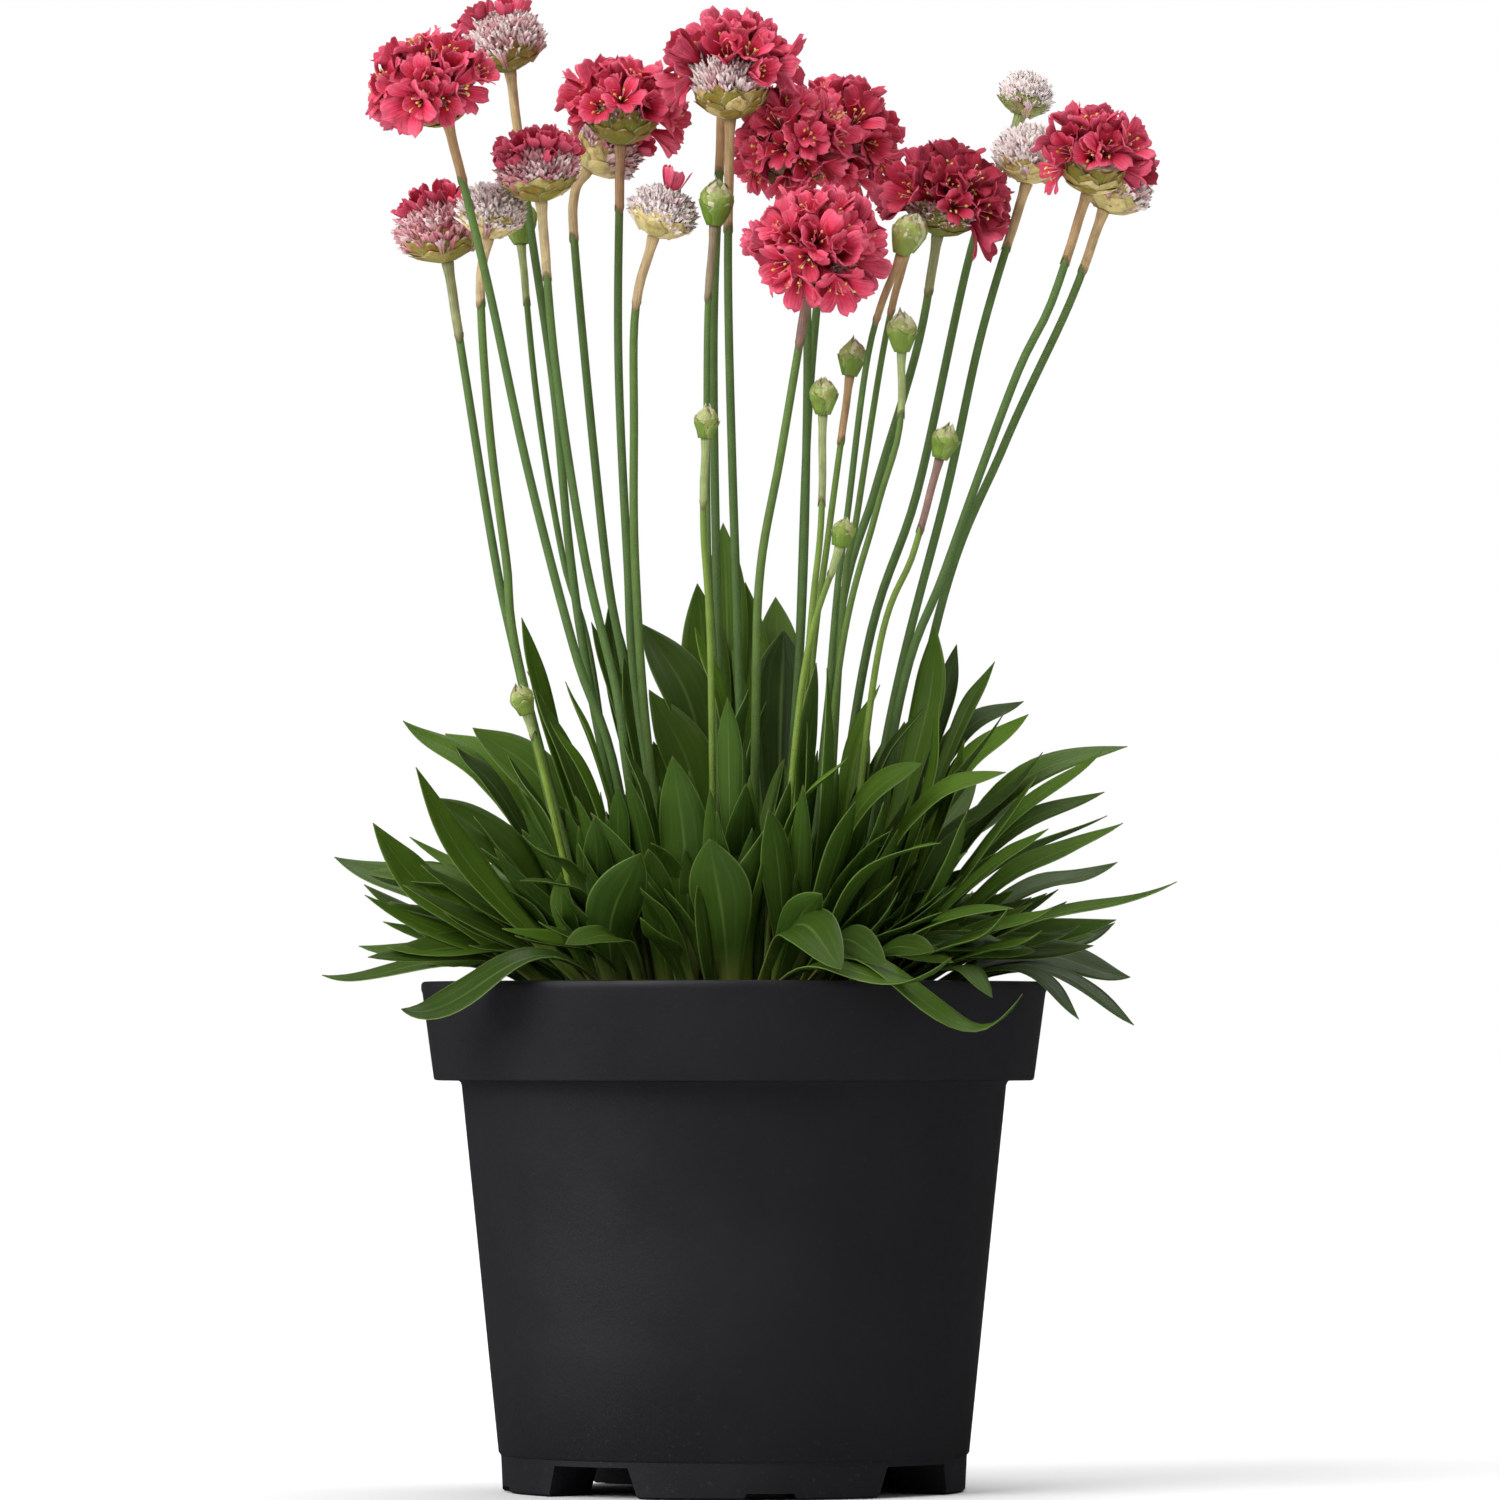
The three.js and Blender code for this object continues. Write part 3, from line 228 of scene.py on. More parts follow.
STALKS = (
    Stalk("01", Bloom.OPEN, 36, (-78, 372.5), -38, 17,
          ((-67, 328), (-56, 277), (-43, 227), (-32, 194)), (-20, -8), (-0.15, -0.5), 0.35,
          cup=0.42, tall=0.86, bare=1.45, fresh=0.85, sink=2.0),
    Stalk("02", Bloom.HALF, 22, (-61, 386), 22, 20,
          ((-56, 347), (-49, 299), (-44.5, 253), (-38, 212)), (-20, 8), (-0.1, -0.2), 0.15,
          cup=0.45, pale=0.36, sink=0.5),
    Stalk("03", Bloom.HALF, 24, (-78, 334), 6, 21, ((-73, 302), (-65, 253), (-58.5, 223)),
          (-35, 2), (-0.05, -0.1), 0.8, cup=0.55, pale=0.0, sink=0.8, cover=0.34),
    Stalk("04", Bloom.SPENT, 17, (-67, 340.5), -12, 18,
          ((-69, 326), (-66.5, 288), (-62, 253), (-57.5, 220)), (-31, -8), (0, -0.1), 0.05,
          cup=0.95, pale=0.7, cover=0.5),
    Stalk("05", Bloom.BUD, 9, (-58, 339), 30, 16, ((-53.5, 295), (-46.5, 253), (-38, 220)),
          (-26, 16), (0.02, 0), 0.9, cup=0.05),
    Stalk("06", Bloom.HALF, 21, (-52.5, 350.5), -22, 21,
          ((-48.5, 305), (-40.5, 253), (-32, 217), (-28.5, 192)), (-17, -22), (0, -0.1), 0.0,
          cup=0.6, pale=0.12),
    Stalk("07", Bloom.SPENT, 20, (-40, 359), 26, 20,
          ((-43.5, 352), (-43, 333), (-35, 253), (-29, 218)), (-14, 14), (0.2, 0), 0.1, cup=0.8,
          pale=0.22, cover=0.45),
    Stalk("08", Bloom.OPEN, 35, (-31, 366), 4, 18, ((-31.5, 309), (-29, 253), (-26, 212)),
          (-11, 0), (0.05, -0.1), 0.4, tall=0.82, cup=0.4, bare=1.5, fresh=0.9, sink=2.6),
    Stalk("09", Bloom.TUFT, 17, (-21.8, 341), -18, 20,
          ((-26.8, 321), (-27.2, 290), (-26.8, 250), (-22.5, 195)), (-10, -14), (0.15, -0.1), 0.1,
          cup=1.0, pale=0.74, cover=0.58),
    Stalk("10", Bloom.BUD, 8.6, (-5.4, 344), -26, 20, ((-7.3, 315), (-7, 253), (-5, 215)),
          (-3, -17), (0.05, 0), 0.7, cup=0.1),
    Stalk("11", Bloom.OPEN, 37.5, (-1.1, 373), -13, 30, ((-1.6, 330), (-0.5, 280), (1.6, 215)),
          (4, -6), (0, -0.15), 0.25, tall=0.9, cup=0.6, bare=1.05, pale=0.55, fresh=0.85),
    Stalk("12", Bloom.SPENT, 18, (-3.3, 378), 30, 20, ((-4.1, 356), (-5.6, 310), (-4.4, 229)),
          (-2, 12), (0, 0.05), 0.3, cup=0.6, pale=0.3),
    Stalk("13", Bloom.OPEN, 33, (17.5, 356), 8, 20, ((19.6, 333), (19.8, 290), (17.5, 222)),
          (9, 2), (-0.1, -0.9), 0.7, tall=1.05, cup=0.4, fresh=1.0, low=2.35, sink=1.6),
    Stalk("14", Bloom.OPEN, 36, (26, 354.5), 46, 18, ((23.5, 332), (20, 290), (17.5, 222)),
          (13, 18), (0.1, -0.3), 0.7, tall=1.12, cup=0.4, fresh=0.8, low=2.45, sink=2.4),
    Stalk("15", Bloom.OPEN, 38, (20, 325), -28, 14,
          ((17.4, 309), (12.5, 280), (7.2, 250), (6, 215)), (5, -17), (0.05, -0.6), 0.6, tall=0.84,
          cup=0.4, fresh=0.95, low=1.9, sink=-2.2),
    Stalk("16", Bloom.OPEN, 37, (55.5, 341.5), 6, 16, ((50, 311), (38.5, 272), (28, 232)), (17, 5),
          (0.05, -0.35), 0.8, tall=0.8, cup=0.3, bare=1.6, fresh=0.18, sink=3.0),
    Stalk("17", Bloom.OPENING, 13.5, (78, 374), 38, 14, ((65, 339), (50, 272), (35.5, 225)),
          (21, 24), (-0.1, 0), 0.95, cup=0.5, pale=1.0, cover=0.42),
    Stalk("18", Bloom.SPENT, 18.5, (79.7, 355.5), 12, 19, ((67.5, 315), (58, 272), (43, 212)),
          (27, 9), (-0.15, -0.1), 0.15, cup=0.9, pale=0.75, cover=0.42),
    Stalk("19", Bloom.OPEN, 31, (96.3, 353), -20, 20,
          ((86.5, 323), (76.5, 302), (57.5, 250), (45, 214)), (30, -6), (-0.1, -0.3), 0.3, cup=0.6,
          tall=0.92, bare=1.4, fresh=0.68, sink=3.2),
    Stalk("20", Bloom.SPENT, 18.5, (100.6, 348), 18, 17, ((91.5, 323), (73.5, 284), (55, 235)),
          (34, 15), (0.1, 0.1), 0.2, cup=0.7, pale=0.5, cover=0.45),
    Stalk("21", Bloom.BUD, 8.2, (45.4, 336), -26, 19, ((37, 311), (31, 266), (27, 232)), (19, -9),
          (0.05, 0), 0.3, cup=0.25),
    Stalk("22", Bloom.BUD, 7.6, (47, 337), -6, 18, ((41, 312), (33.5, 265), (29.5, 238)), (23, -1),
          (0.05, 0), 0.35, cup=0.25),
    Stalk("23", Bloom.BUD, 6.8, (31.6, 303), -18, 18, ((25.5, 258), (21, 222)), (12, -10), (0, 0),
          0.35, cup=0.1),
    Stalk("24", Bloom.BUD, 7.4, (45.7, 309.5), -32, 17, ((45, 288), (38.5, 265), (28.3, 221)),
          (20, -18), (-0.02, 0), 0.9, cup=0.12),
    Stalk("25", Bloom.BUD, 6.8, (24.2, 292.5), -42, 24, ((23.7, 262), (20.4, 229)), (12, -24),
          (0.02, 0), 0.85, cup=0.1),
    Stalk("26", Bloom.BUD, 6.4, (56, 280.5), -36, 20, ((49, 255), (38.6, 223.5)), (27, -17),
          (0.05, 0), 0.6, cup=0.1),
    Stalk("27", Bloom.BUD, 5.4, (28.8, 256.5), -48, 8, ((18.5, 218),), (10, -33), (0, 0), 0.95,
          cup=0.02),
    Stalk("28", Bloom.BUD, 5.8, (-7.6, 286), -40, 18, ((-8.3, 262), (-6.3, 225)), (-5, -28),
          (0.02, 0), 0.92, cup=0.12),
    Stalk("29", Bloom.BUD, 5.6, (-56.3, 211), -46, 6, ((-50.6, 190),), (-35, -24), (-0.05, 0), 1.0,
          cup=0.02),
)

# What is left open on a fading head: the way each floret looks, how far its petals lean out at
# their tips (less than 0 is shut), and its colour from withered (0) to fresh (1)
CROWNS = {
    "02": ((-0.9, -0.3, 0.35, -0.15, 0.55), (-0.6, -0.3, 0.75, 0.7, 0.3),
           (0.0, -0.5, 0.95, 0.05, 0.9), (-0.35, 0.4, 0.9, 0.6, 0.35),
           (0.35, 0.35, 0.9, 0.2, 0.6)),
    "03": ((-0.8, -0.3, 0.4, 0.2, 0.5), (-0.5, -0.55, 0.6, -0.1, 0.4),
           (-0.15, -0.5, 0.9, 0.2, 0.3), (0.25, -0.6, 0.75, 0.9, 0.95),
           (0.55, -0.25, 0.85, 0.1, 0.6), (0.9, -0.15, 0.5, 0.0, 0.9), (0.1, 0.35, 1.0, 0.3, 0.4),
           (-0.5, 0.3, 0.8, 0.3, 0.4)),
    "06": ((-0.95, -0.35, 0.5, 0.15, 0.75), (-0.5, -0.65, 0.6, 0.0, 0.8),
           (-0.1, -0.7, 0.8, -0.1, 0.85), (0.25, -0.7, 0.75, 0.0, 0.75),
           (0.65, -0.55, 0.65, 0.05, 0.8), (0.95, -0.2, 0.5, 0.0, 0.65),
           (-0.4, 0.0, 0.9, 0.1, 0.6), (0.1, 0.0, 1.0, 0.25, 0.7), (0.5, 0.15, 0.85, 0.1, 0.6),
           (-0.1, 0.6, 0.8, 0.1, 0.6), (-0.95, -0.45, 0.0, -0.35, 0.5),
           (-0.6, -0.85, 0.1, -0.35, 0.4), (0.3, -0.95, 0.12, -0.35, 0.4)),
    "07": ((-0.05, -0.5, 0.95, 0.1, 0.75), (0.45, -0.45, 0.75, 0.0, 0.6),
           (0.95, -0.3, 0.25, 0.3, 0.6), (0.9, -0.2, -0.15, 0.3, 0.45),
           (0.3, 0.4, 0.85, 0.2, 0.5)),
    "09": ((0.42, -0.2, 0.95, 0.05, 0.85),),
}

FRONT_LEAVES = (
    Blade((322, 976), (432, 962), 56, (-37, 14), 9, curl=8),
    Blade((401, 1014), (508, 966), -56, (-27, -34), 11, roll=-0.35, blunt=1, curl=14,
          mid_depth=-66),
    Blade((335, 855), (430, 900), 10, (-38, 2), 12, roll=-0.8, curl=4),
    Blade((377, 821), (432, 908), -34, (-38, -20), 12, roll=-1.1, curl=6),
    Blade((402, 722), (478, 779), 8, (-32, 4), 8, roll=-0.8, curl=4, tone=0.7),
    Blade((416, 767), (478, 875), -48, (-30, -31), 12, roll=-0.8, curl=6, tone=0.55),
    Blade((433, 797), (510, 858), -22, (-38, -12), 16, roll=-0.95),
    Blade((432, 851), (485, 885), -10, (-40, -4), 9),
    Blade((372, 868), (455, 875), -18, (-40, -10), 7),
    Blade((445, 732), (505, 785), 30, (-32, 16), 12, roll=-0.9),
    Blade((472, 729), (545, 785), 16, (-28, 6), 13, roll=-0.9),
    Blade((450, 752), (500, 795), -6, (-34, -2), 9),
    Blade((506, 757), (550, 830), -30, (-32, -24), 15, roll=-0.2),
    Blade((522, 617), (548, 720), 6, (-26, 2), 8),
    Blade((564, 682), (600, 775), -32, (-20, -24), 7, tone=0.95),
    Blade((549, 722), (592, 790), -40, (-26, -32), 6, tone=0.85),
    Blade((532, 690), (575, 780), -14, (-28, -14), 9),
    Blade((607, 600), (622, 705), 30, (-10, 20), 9),
    Blade((591, 622), (625, 730), 18, (-14, 10), 8),
    Blade((622, 657), (638, 740), 8, (-15, 4), 7),
    Blade((643, 623), (693, 712), 34, (-2, 20), 16),
    Blade((648, 690), (690, 770), 22, (-4, 14), 16),
    Blade((675, 754), (686, 855), -52, (-12, -38), 13, roll=0.05, tone=0.6),
    Blade((622, 740), (650, 810), -38, (-16, -34), 6),
    Blade((709, 842), (722, 905), -66, (-1, -44), 16, roll=0.1),
    Blade((775, 828), (752, 890), -60, (4, -42), 14, roll=0.5),
    Blade((641, 852), (612, 915), -74, (-28, -34), 14, roll=-0.15),
    Blade((565, 947), (614, 936), -88, (-24, -37), 10, roll=-0.5),
    Blade((522, 873), (575, 893), -72, (-33, -29), 8),
    Blade((523, 835), (568, 866), -60, (-30, -31), 9, curl=6),
    Blade((594, 818), (600, 885), -62, (-31, -30), 8),
    Blade((620, 785), (620, 840), -50, (-26, -34), 6),
    Blade((562, 872), (566, 925), -62, (-30, -31), 8, tone=0.95),
    Blade((640, 888), (668, 925), -70, (-8, -44), 7),
    Blade((665, 888), (690, 930), -64, (-4, -44), 7),
    Blade((693, 628), (724, 720), -24, (6, -26), 7, tone=0.85),
    Blade((728, 697), (730, 780), -44, (0, -38), 7, tone=0.9),
    Blade((751, 690), (735, 760), -34, (2, -30), 6),
    Blade((697, 583), (707, 700), 44, (-4, 26), 13),
    Blade((723, 523), (727, 640), 50, (2, 30), 11, tone=0.6),
    Blade((745, 582), (752, 690), 48, (6, 28), 10),
    Blade((775, 594), (778, 690), 56, (12, 30), 12),
    Blade((784, 628), (780, 720), 36, (12, 24), 15),
    Blade((819, 663), (806, 765), -38, (16, -28), 8),
    Blade((833, 668), (828, 810), -46, (12, -36), 8, tone=0.85),
    Blade((811, 722), (806, 800), -40, (14, -36), 6, tone=0.95),
    Blade((849, 757), (794, 815), -60, (8, -42), 8, tone=0.9),
    Blade((790, 780), (778, 850), -56, (8, -40), 6),
    Blade((854, 800), (832, 868), -68, (12, -40), 9),
    Blade((922, 763), (852, 822), -52, (20, -34), 12, roll=0.8, curl=-6, tone=0.45),
    Blade((876, 683), (850, 760), -20, (25, -20), 6, tone=0.8),
    Blade((926, 703), (878, 775), -22, (32, -14), 9),
    Blade((942, 627), (925, 720), 12, (28, 4), 11),
    Blade((958, 645), (935, 730), 26, (27, 18), 8),
    Blade((987, 658), (960, 725), 2, (32, 0), 6, curl=4),
    Blade((1025, 706), (950, 748), 26, (32, 20), 11, curl=-3),
    Blade((1031, 717), (960, 775), -6, (34, -4), 13),
    Blade((942, 702), (927, 800), -34, (26, -26), 9),
    Blade((1005, 770), (915, 815), -50, (28, -30), 11, roll=0.8, curl=-4, tone=0.7),
    Blade((968, 740), (945, 810), -24, (32, -18), 7),
    Blade((1127, 744), (1010, 790), 18, (36, 10), 10, curl=-3),
    Blade((1103, 752), (1015, 815), -8, (38, -4), 7, curl=3),
    Blade((1104, 790), (1005, 835), 8, (38, 2), 8),
    Blade((1036, 775), (985, 850), -44, (32, -28), 6),
    Blade((966, 810), (945, 880), -68, (26, -36), 9, roll=0.3),
    Blade((1048, 828), (975, 880), -54, (32, -28), 8),
    Blade((1125, 826), (1020, 870), -28, (37, -16), 12, curl=2),
    Blade((1117, 861), (1030, 888), 30, (38, 12), 10, curl=5),
    Blade((940, 838), (862, 880), -76, (20, -38), 9, curl=-4),
    Blade((1178, 883), (1055, 914), -64, (38, -20), 8, curl=6),
    Blade((1014, 908), (925, 935), -74, (27, -34), 9, curl=-3),
    Blade((1015, 912), (960, 942), -84, (28, -34), 8, curl=8),
    Blade((1052, 908), (985, 930), -60, (34, -28), 9, curl=4),
    Blade((1115, 924), (1040, 945), 36, (38, 16), 7, curl=6),
    Blade((1045, 935), (985, 950), -66, (31, -31), 8, curl=4),
    Blade((1130, 979), (1045, 962), 8, (40, 2), 13, curl=4),
    Blade((1134, 1025), (1050, 984), -22, (38, -10), 10),
    Blade((1080, 1015), (1024, 980), -46, (36, -20), 7),
    Blade((1032, 1000), (904, 985), -68, (14, -41), 10, roll=0.2, curl=35, mid_depth=-84),
    Blade((993, 995), (958, 968), -72, (29, -33), 7),
    Blade((843, 972), (803, 924), -97, (4, -42), 13, roll=0.5),
    Blade((888, 966), (842, 940), -92, (14, -42), 10, roll=0.5),
    Blade((950, 956), (852, 970), -88, (4, -44), 11, roll=0.1, curl=18, mid_depth=-86),
    Blade((938, 957), (892, 948), -88, (23, -37), 9, roll=0.5),
)

# Narrow young leaves that stand among the stalks
YOUNG_LEAVES = (
    Blade((885, 735), (868, 835), 20, (20, 10), 10, tone=0.6),
    Blade((905, 722), (880, 830), 34, (22, 16), 10),
    Blade((862, 712), (850, 810), 30, (16, 16), 9, tone=0.7),
    Blade((655, 740), (668, 830), 24, (-8, 12), 10),
    Blade((668, 700), (680, 800), 40, (-4, 20), 11),
    Blade((760, 700), (748, 800), 0, (4, 4), 7, tone=0.85),
    Blade((800, 745), (790, 830), -30, (8, -20), 7, tone=0.8),
)


# Plain helpers

def rolls(seed: int) -> Iterator[float]:
    """A repeatable run of numbers from 0 to 1, the same as the solids use.

    Args:
        seed: a whole number that picks the run.

    Returns:
        An endless iterator of the run's numbers.
    """
    mask = 0xFFFFFFFF
    state = seed & mask
    while True:
        state = (state + 0x6D2B79F5) & mask
        mixed = ((state ^ (state >> 15)) * (state | 1)) & mask
        mixed = (mixed ^ (mixed + (mixed ^ (mixed >> 7)) * (mixed | 61))) & mask
        yield (mixed ^ (mixed >> 14)) / 4294967296


def smooth(low: float, high: float, value: Array) -> Array:
    """A soft step from 0 at low to 1 at high."""
    s = np.clip((value - low) / (high - low), 0, 1)
    return s * s * (3 - 2 * s)


def unit(vectors: Array) -> Array:
    """Vectors along the last axis, each scaled to length one."""
    return vectors / np.maximum(np.linalg.norm(vectors, axis=-1, keepdims=True), 1e-12)


def turned(vectors: Array, axes: Array, angle: Array | float) -> Array:
    """Vectors turned about unit axes.

    Args:
        vectors: rows of x, y, z.
        axes: one unit axis for each row.
        angle: radians, one for all rows or one for each.

    Returns:
        The turned rows.
    """
    angle = np.asarray(angle)[..., None]
    dot = np.sum(vectors * axes, axis=-1, keepdims=True)
    side = np.cross(axes, vectors)
    return vectors * np.cos(angle) + side * np.sin(angle) + axes * dot * (1 - np.cos(angle))


def reached(base: Array, *steps: tuple[Array, Array]) -> Array:
    """Points that are reached from each base by steps along ways of its own.

    Args:
        base: rows of x, y, z.
        steps: a way for each row, and how far along it each point lies.

    Returns:
        Rows x points x 3.
    """
    return base[:, None] + sum(way[:, None] * np.atleast_2d(far)[..., None] for way, far in steps)


def ring_angles(count: int) -> Array:
    """The turns of parts that stand evenly round a ring."""
    return np.arange(count) * TURN / count


def level(turn: float) -> Array:
    """The unit way that lies level at a turn about Z."""
    return np.array([math.cos(turn), math.sin(turn), 0.0])


def beside(away: Array) -> Array:
    """The level way to the right of another."""
    return np.array([away[1], -away[0], 0.0])


def upward(height: float) -> Array:
    """A step straight up."""
    return np.array([0.0, 0.0, height])


def seen(place: Pair, depth: float) -> Array:
    """A point of the front view (x, z) carried along the line of sight to its depth."""
    spread = 1 + depth / EYE_DISTANCE
    return np.array([place[0] * spread, depth, EYE_HEIGHT + (place[1] - EYE_HEIGHT) * spread])


def on_grid(place: Pair) -> Pair:
    """A place (across, down) on the view's grid as (x, z)."""
    return ((place[0] - GRID_AXIS) * GRID_STEP, (GRID_FLOOR - place[1]) * GRID_STEP)


def paint(red: int, green: int, blue: int) -> Colour:
    """A screen colour, each part 0 to 255, as the linear colour that a shader takes."""
    def linear(part: int) -> float:
        """One part of the colour made linear."""
        share = part / 255
        return share / 12.92 if share <= 0.04045 else ((share + 0.055) / 1.055) ** 2.4
    return (linear(red), linear(green), linear(blue), 1.0)


# Forms: shapes modelled once and laid many times

@dataclass
class Form:
    """A shape in its own unit space: its points, and its faces as runs of point numbers."""

    points: Array
    loops: Array
    sizes: Array

    @classmethod
    def taken(cls, shape: Object) -> "Form":
        """Reads a modelled object's mesh, and takes the object out of the scene.

        Args:
            shape: a mesh object in unit space.

        Returns:
            The form.
        """
        mesh = shape.data
        points = np.empty(len(mesh.vertices) * 3)
        mesh.vertices.foreach_get("co", points)
        loops = np.empty(len(mesh.loops), dtype=np.int32)
        mesh.loops.foreach_get("vertex_index", loops)
        sizes = np.empty(len(mesh.polygons), dtype=np.int32)
        mesh.polygons.foreach_get("loop_total", sizes)
        bpy.data.objects.remove(shape)
        bpy.data.meshes.remove(mesh)
        return cls(points.reshape(-1, 3), loops, sizes)

    def flipped(self) -> Array:
        """The faces' point numbers with every face turned over."""
        ends = np.cumsum(self.sizes)
        starts = ends - self.sizes
        place = np.arange(len(self.loops))
        face = np.repeat(np.arange(len(self.sizes)), self.sizes)
        return self.loops[starts[face] + ends[face] - 1 - place]

    def volume(self, points: Array) -> float:
        """Six times the space inside the form's faces when its points lie at other places."""
        ends = np.cumsum(self.sizes)
        starts = ends - self.sizes
        total = 0.0
        for step in range(1, int(self.sizes.max()) - 1):
            wide = self.sizes > step + 1
            first = points[self.loops[starts[wide]]]
            second = points[self.loops[starts[wide] + step]]
            third = points[self.loops[starts[wide] + step + 1]]
            total += float(np.sum(first * np.cross(second, third)))
        return total


def fresh_start() -> None:
    """Leaves nothing selected, so that the next operator acts on its own shape alone."""
    if bpy.context.object and bpy.context.object.mode != "OBJECT":
        bpy.ops.object.mode_set(mode="OBJECT")
    bpy.ops.object.select_all(action="DESELECT")


def select_ring(shape: Object, rule: Callable[[Vector], bool]) -> None:
    """In edit mode, selects just the points that a rule picks by their place."""
    bpy.ops.mesh.select_all(action="DESELECT")
    bpy.ops.mesh.select_mode(type="VERT")
    bpy.ops.object.mode_set(mode="OBJECT")
    for vertex in shape.data.vertices:
        vertex.select = rule(vertex.co)
    bpy.ops.object.mode_set(mode="EDIT")


def thicken(shape: Object, thickness: float) -> None:
    """Gives a sheet two faces, half its thickness to each side of it."""
    skin = shape.modifiers.new("Thickness", "SOLIDIFY")
    skin.thickness = thickness
    skin.offset = 0
    bpy.ops.object.modifier_apply(modifier=skin.name)


def blade_form(rows: int, columns: int) -> Form:
    """A flat closed blade: x 0 to 1 along it, y -1 to 1 across it, z -1 and 1 for its faces.

    Args:
        rows: how many steps it has along.
        columns: how many steps it has across.

    Returns:
        The form.
    """
    fresh_start()
    bpy.ops.mesh.primitive_grid_add(x_subdivisions=rows, y_subdivisions=columns, size=2)
    shape = bpy.context.object
    bpy.ops.object.mode_set(mode="EDIT")
    bpy.ops.transform.translate(value=(1, 0, 0))
    bpy.ops.transform.resize(value=(0.5, 1, 1), center_override=(0, 0, 0))
    bpy.ops.object.mode_set(mode="OBJECT")
    thicken(shape, 2.0)
    return Form.taken(shape)


def rod_form(sides: int, rings: int, closed: bool = True) -> Form:
    """A tube of radius 1 from z 0 to 1, capped, or open with a thin wall.

    Args:
        sides: corners round it.
        rings: steps along it.
        closed: whether its ends are capped; if not, it gets a wall with faces at 0.9 and 1.1.

    Returns:
        The form.
    """
    fresh_start()
    bpy.ops.mesh.primitive_circle_add(vertices=sides, radius=1)
    shape = bpy.context.object
    bpy.ops.object.mode_set(mode="EDIT")
    for _ in range(rings):
        bpy.ops.mesh.extrude_region_move(TRANSFORM_OT_translate={"value": (0, 0, 1 / rings)})
    if closed:
        bpy.ops.mesh.edge_face_add()
        select_ring(shape, lambda at: at.z < 0.5 / rings)
        bpy.ops.mesh.edge_face_add()
    bpy.ops.mesh.select_all(action="SELECT")
    bpy.ops.mesh.normals_make_consistent(inside=False)
    bpy.ops.object.mode_set(mode="OBJECT")
    if not closed:
        thicken(shape, 0.2)
    return Form.taken(shape)


def ball_form(subdivisions: int) -> Form:
    """A round ball of radius 1 with few faces."""
    fresh_start()
    bpy.ops.mesh.primitive_ico_sphere_add(subdivisions=subdivisions, radius=1)
    return Form.taken(bpy.context.object)


class Batch:
    """Copies of forms, each bent to its own place, fused into one mesh."""

    def __init__(self) -> None:
        """Starts with no copies."""
        self.count = 0
        self.parts: dict[str, list[Array]] = defaultdict(list)

    def lay(self, form: Form, points: Array, shape: Array, tone: Array | float,
            finish: int = 0, under: Array | float = 0.0) -> None:
        """Adds copies of a form at given places.

        Args:
            form: the form that is copied.
            points: copies x points x 3, in millimetres.
            shape: points x 2, each point's place across and along the form, 0 to 1.
            tone: one number for each copy, or one for all, for its colour.
            finish: which of the piece's materials the copies have.
            under: 1 for points of the form's lower face, 0 for the others.
        """
        copies, each = points.shape[:2]
        loops = form.loops
        if form.volume(points[0] - points[0].mean(axis=0)) < 0:
            loops = form.flipped()
        step = self.count + np.arange(copies)[:, None] * each
        laid = {
            "points": points.reshape(-1, 3),
            "loops": (loops[None, :] + step).ravel(),
            "sizes": np.tile(form.sizes, copies),
            "shape": np.broadcast_to(shape, (copies, each, 2)).reshape(-1, 2),
            "tone": np.broadcast_to(np.reshape(tone, (-1, 1)), (copies, each)).ravel(),
            "under": np.broadcast_to(under, (copies, each)).ravel(),
            "finish": np.full(copies * len(form.sizes), finish, dtype=np.int32)}
        for key, values in laid.items():
            self.parts[key].append(values)
        self.count += copies * each

    def piece(self, name: str, materials: Sequence[Material]) -> Object:
        """Makes the mesh object of all copies laid so far.

        Args:
            name: the piece's name.
            materials: its materials, in the order that the copies' finish numbers mean.

        Returns:
            The object, at the origin, with its place in its mesh.
        """
        fused = {key: np.concatenate(values) for key, values in self.parts.items()}
        loops, sizes = fused["loops"].astype(np.int32), fused["sizes"]
        mesh = bpy.data.meshes.new(name)
        mesh.vertices.add(self.count)
        mesh.loops.add(len(loops))
        mesh.polygons.add(len(sizes))
        mesh.vertices.foreach_set("co", (fused["points"] * MM).ravel())
        mesh.loops.foreach_set("vertex_index", loops)
        mesh.polygons.foreach_set("loop_start", (np.cumsum(sizes) - sizes).astype(np.int32))
        mesh.polygons.foreach_set("material_index", fused["finish"])
        mesh.polygons.foreach_set("use_smooth", np.ones(len(sizes), dtype=bool))
        mesh.update(calc_edges=True)
        mesh.uv_layers.new(name="shape").uv.foreach_set("vector", fused["shape"][loops].ravel())
        for label in ("tone", "under"):
            attribute = mesh.attributes.new(label, "FLOAT", "POINT")
            attribute.data.foreach_set("value", fused[label])
        for material in materials:
            mesh.materials.append(material)
        made = bpy.data.objects.new(name, mesh)
        bpy.context.collection.objects.link(made)
        return made


# Node trees

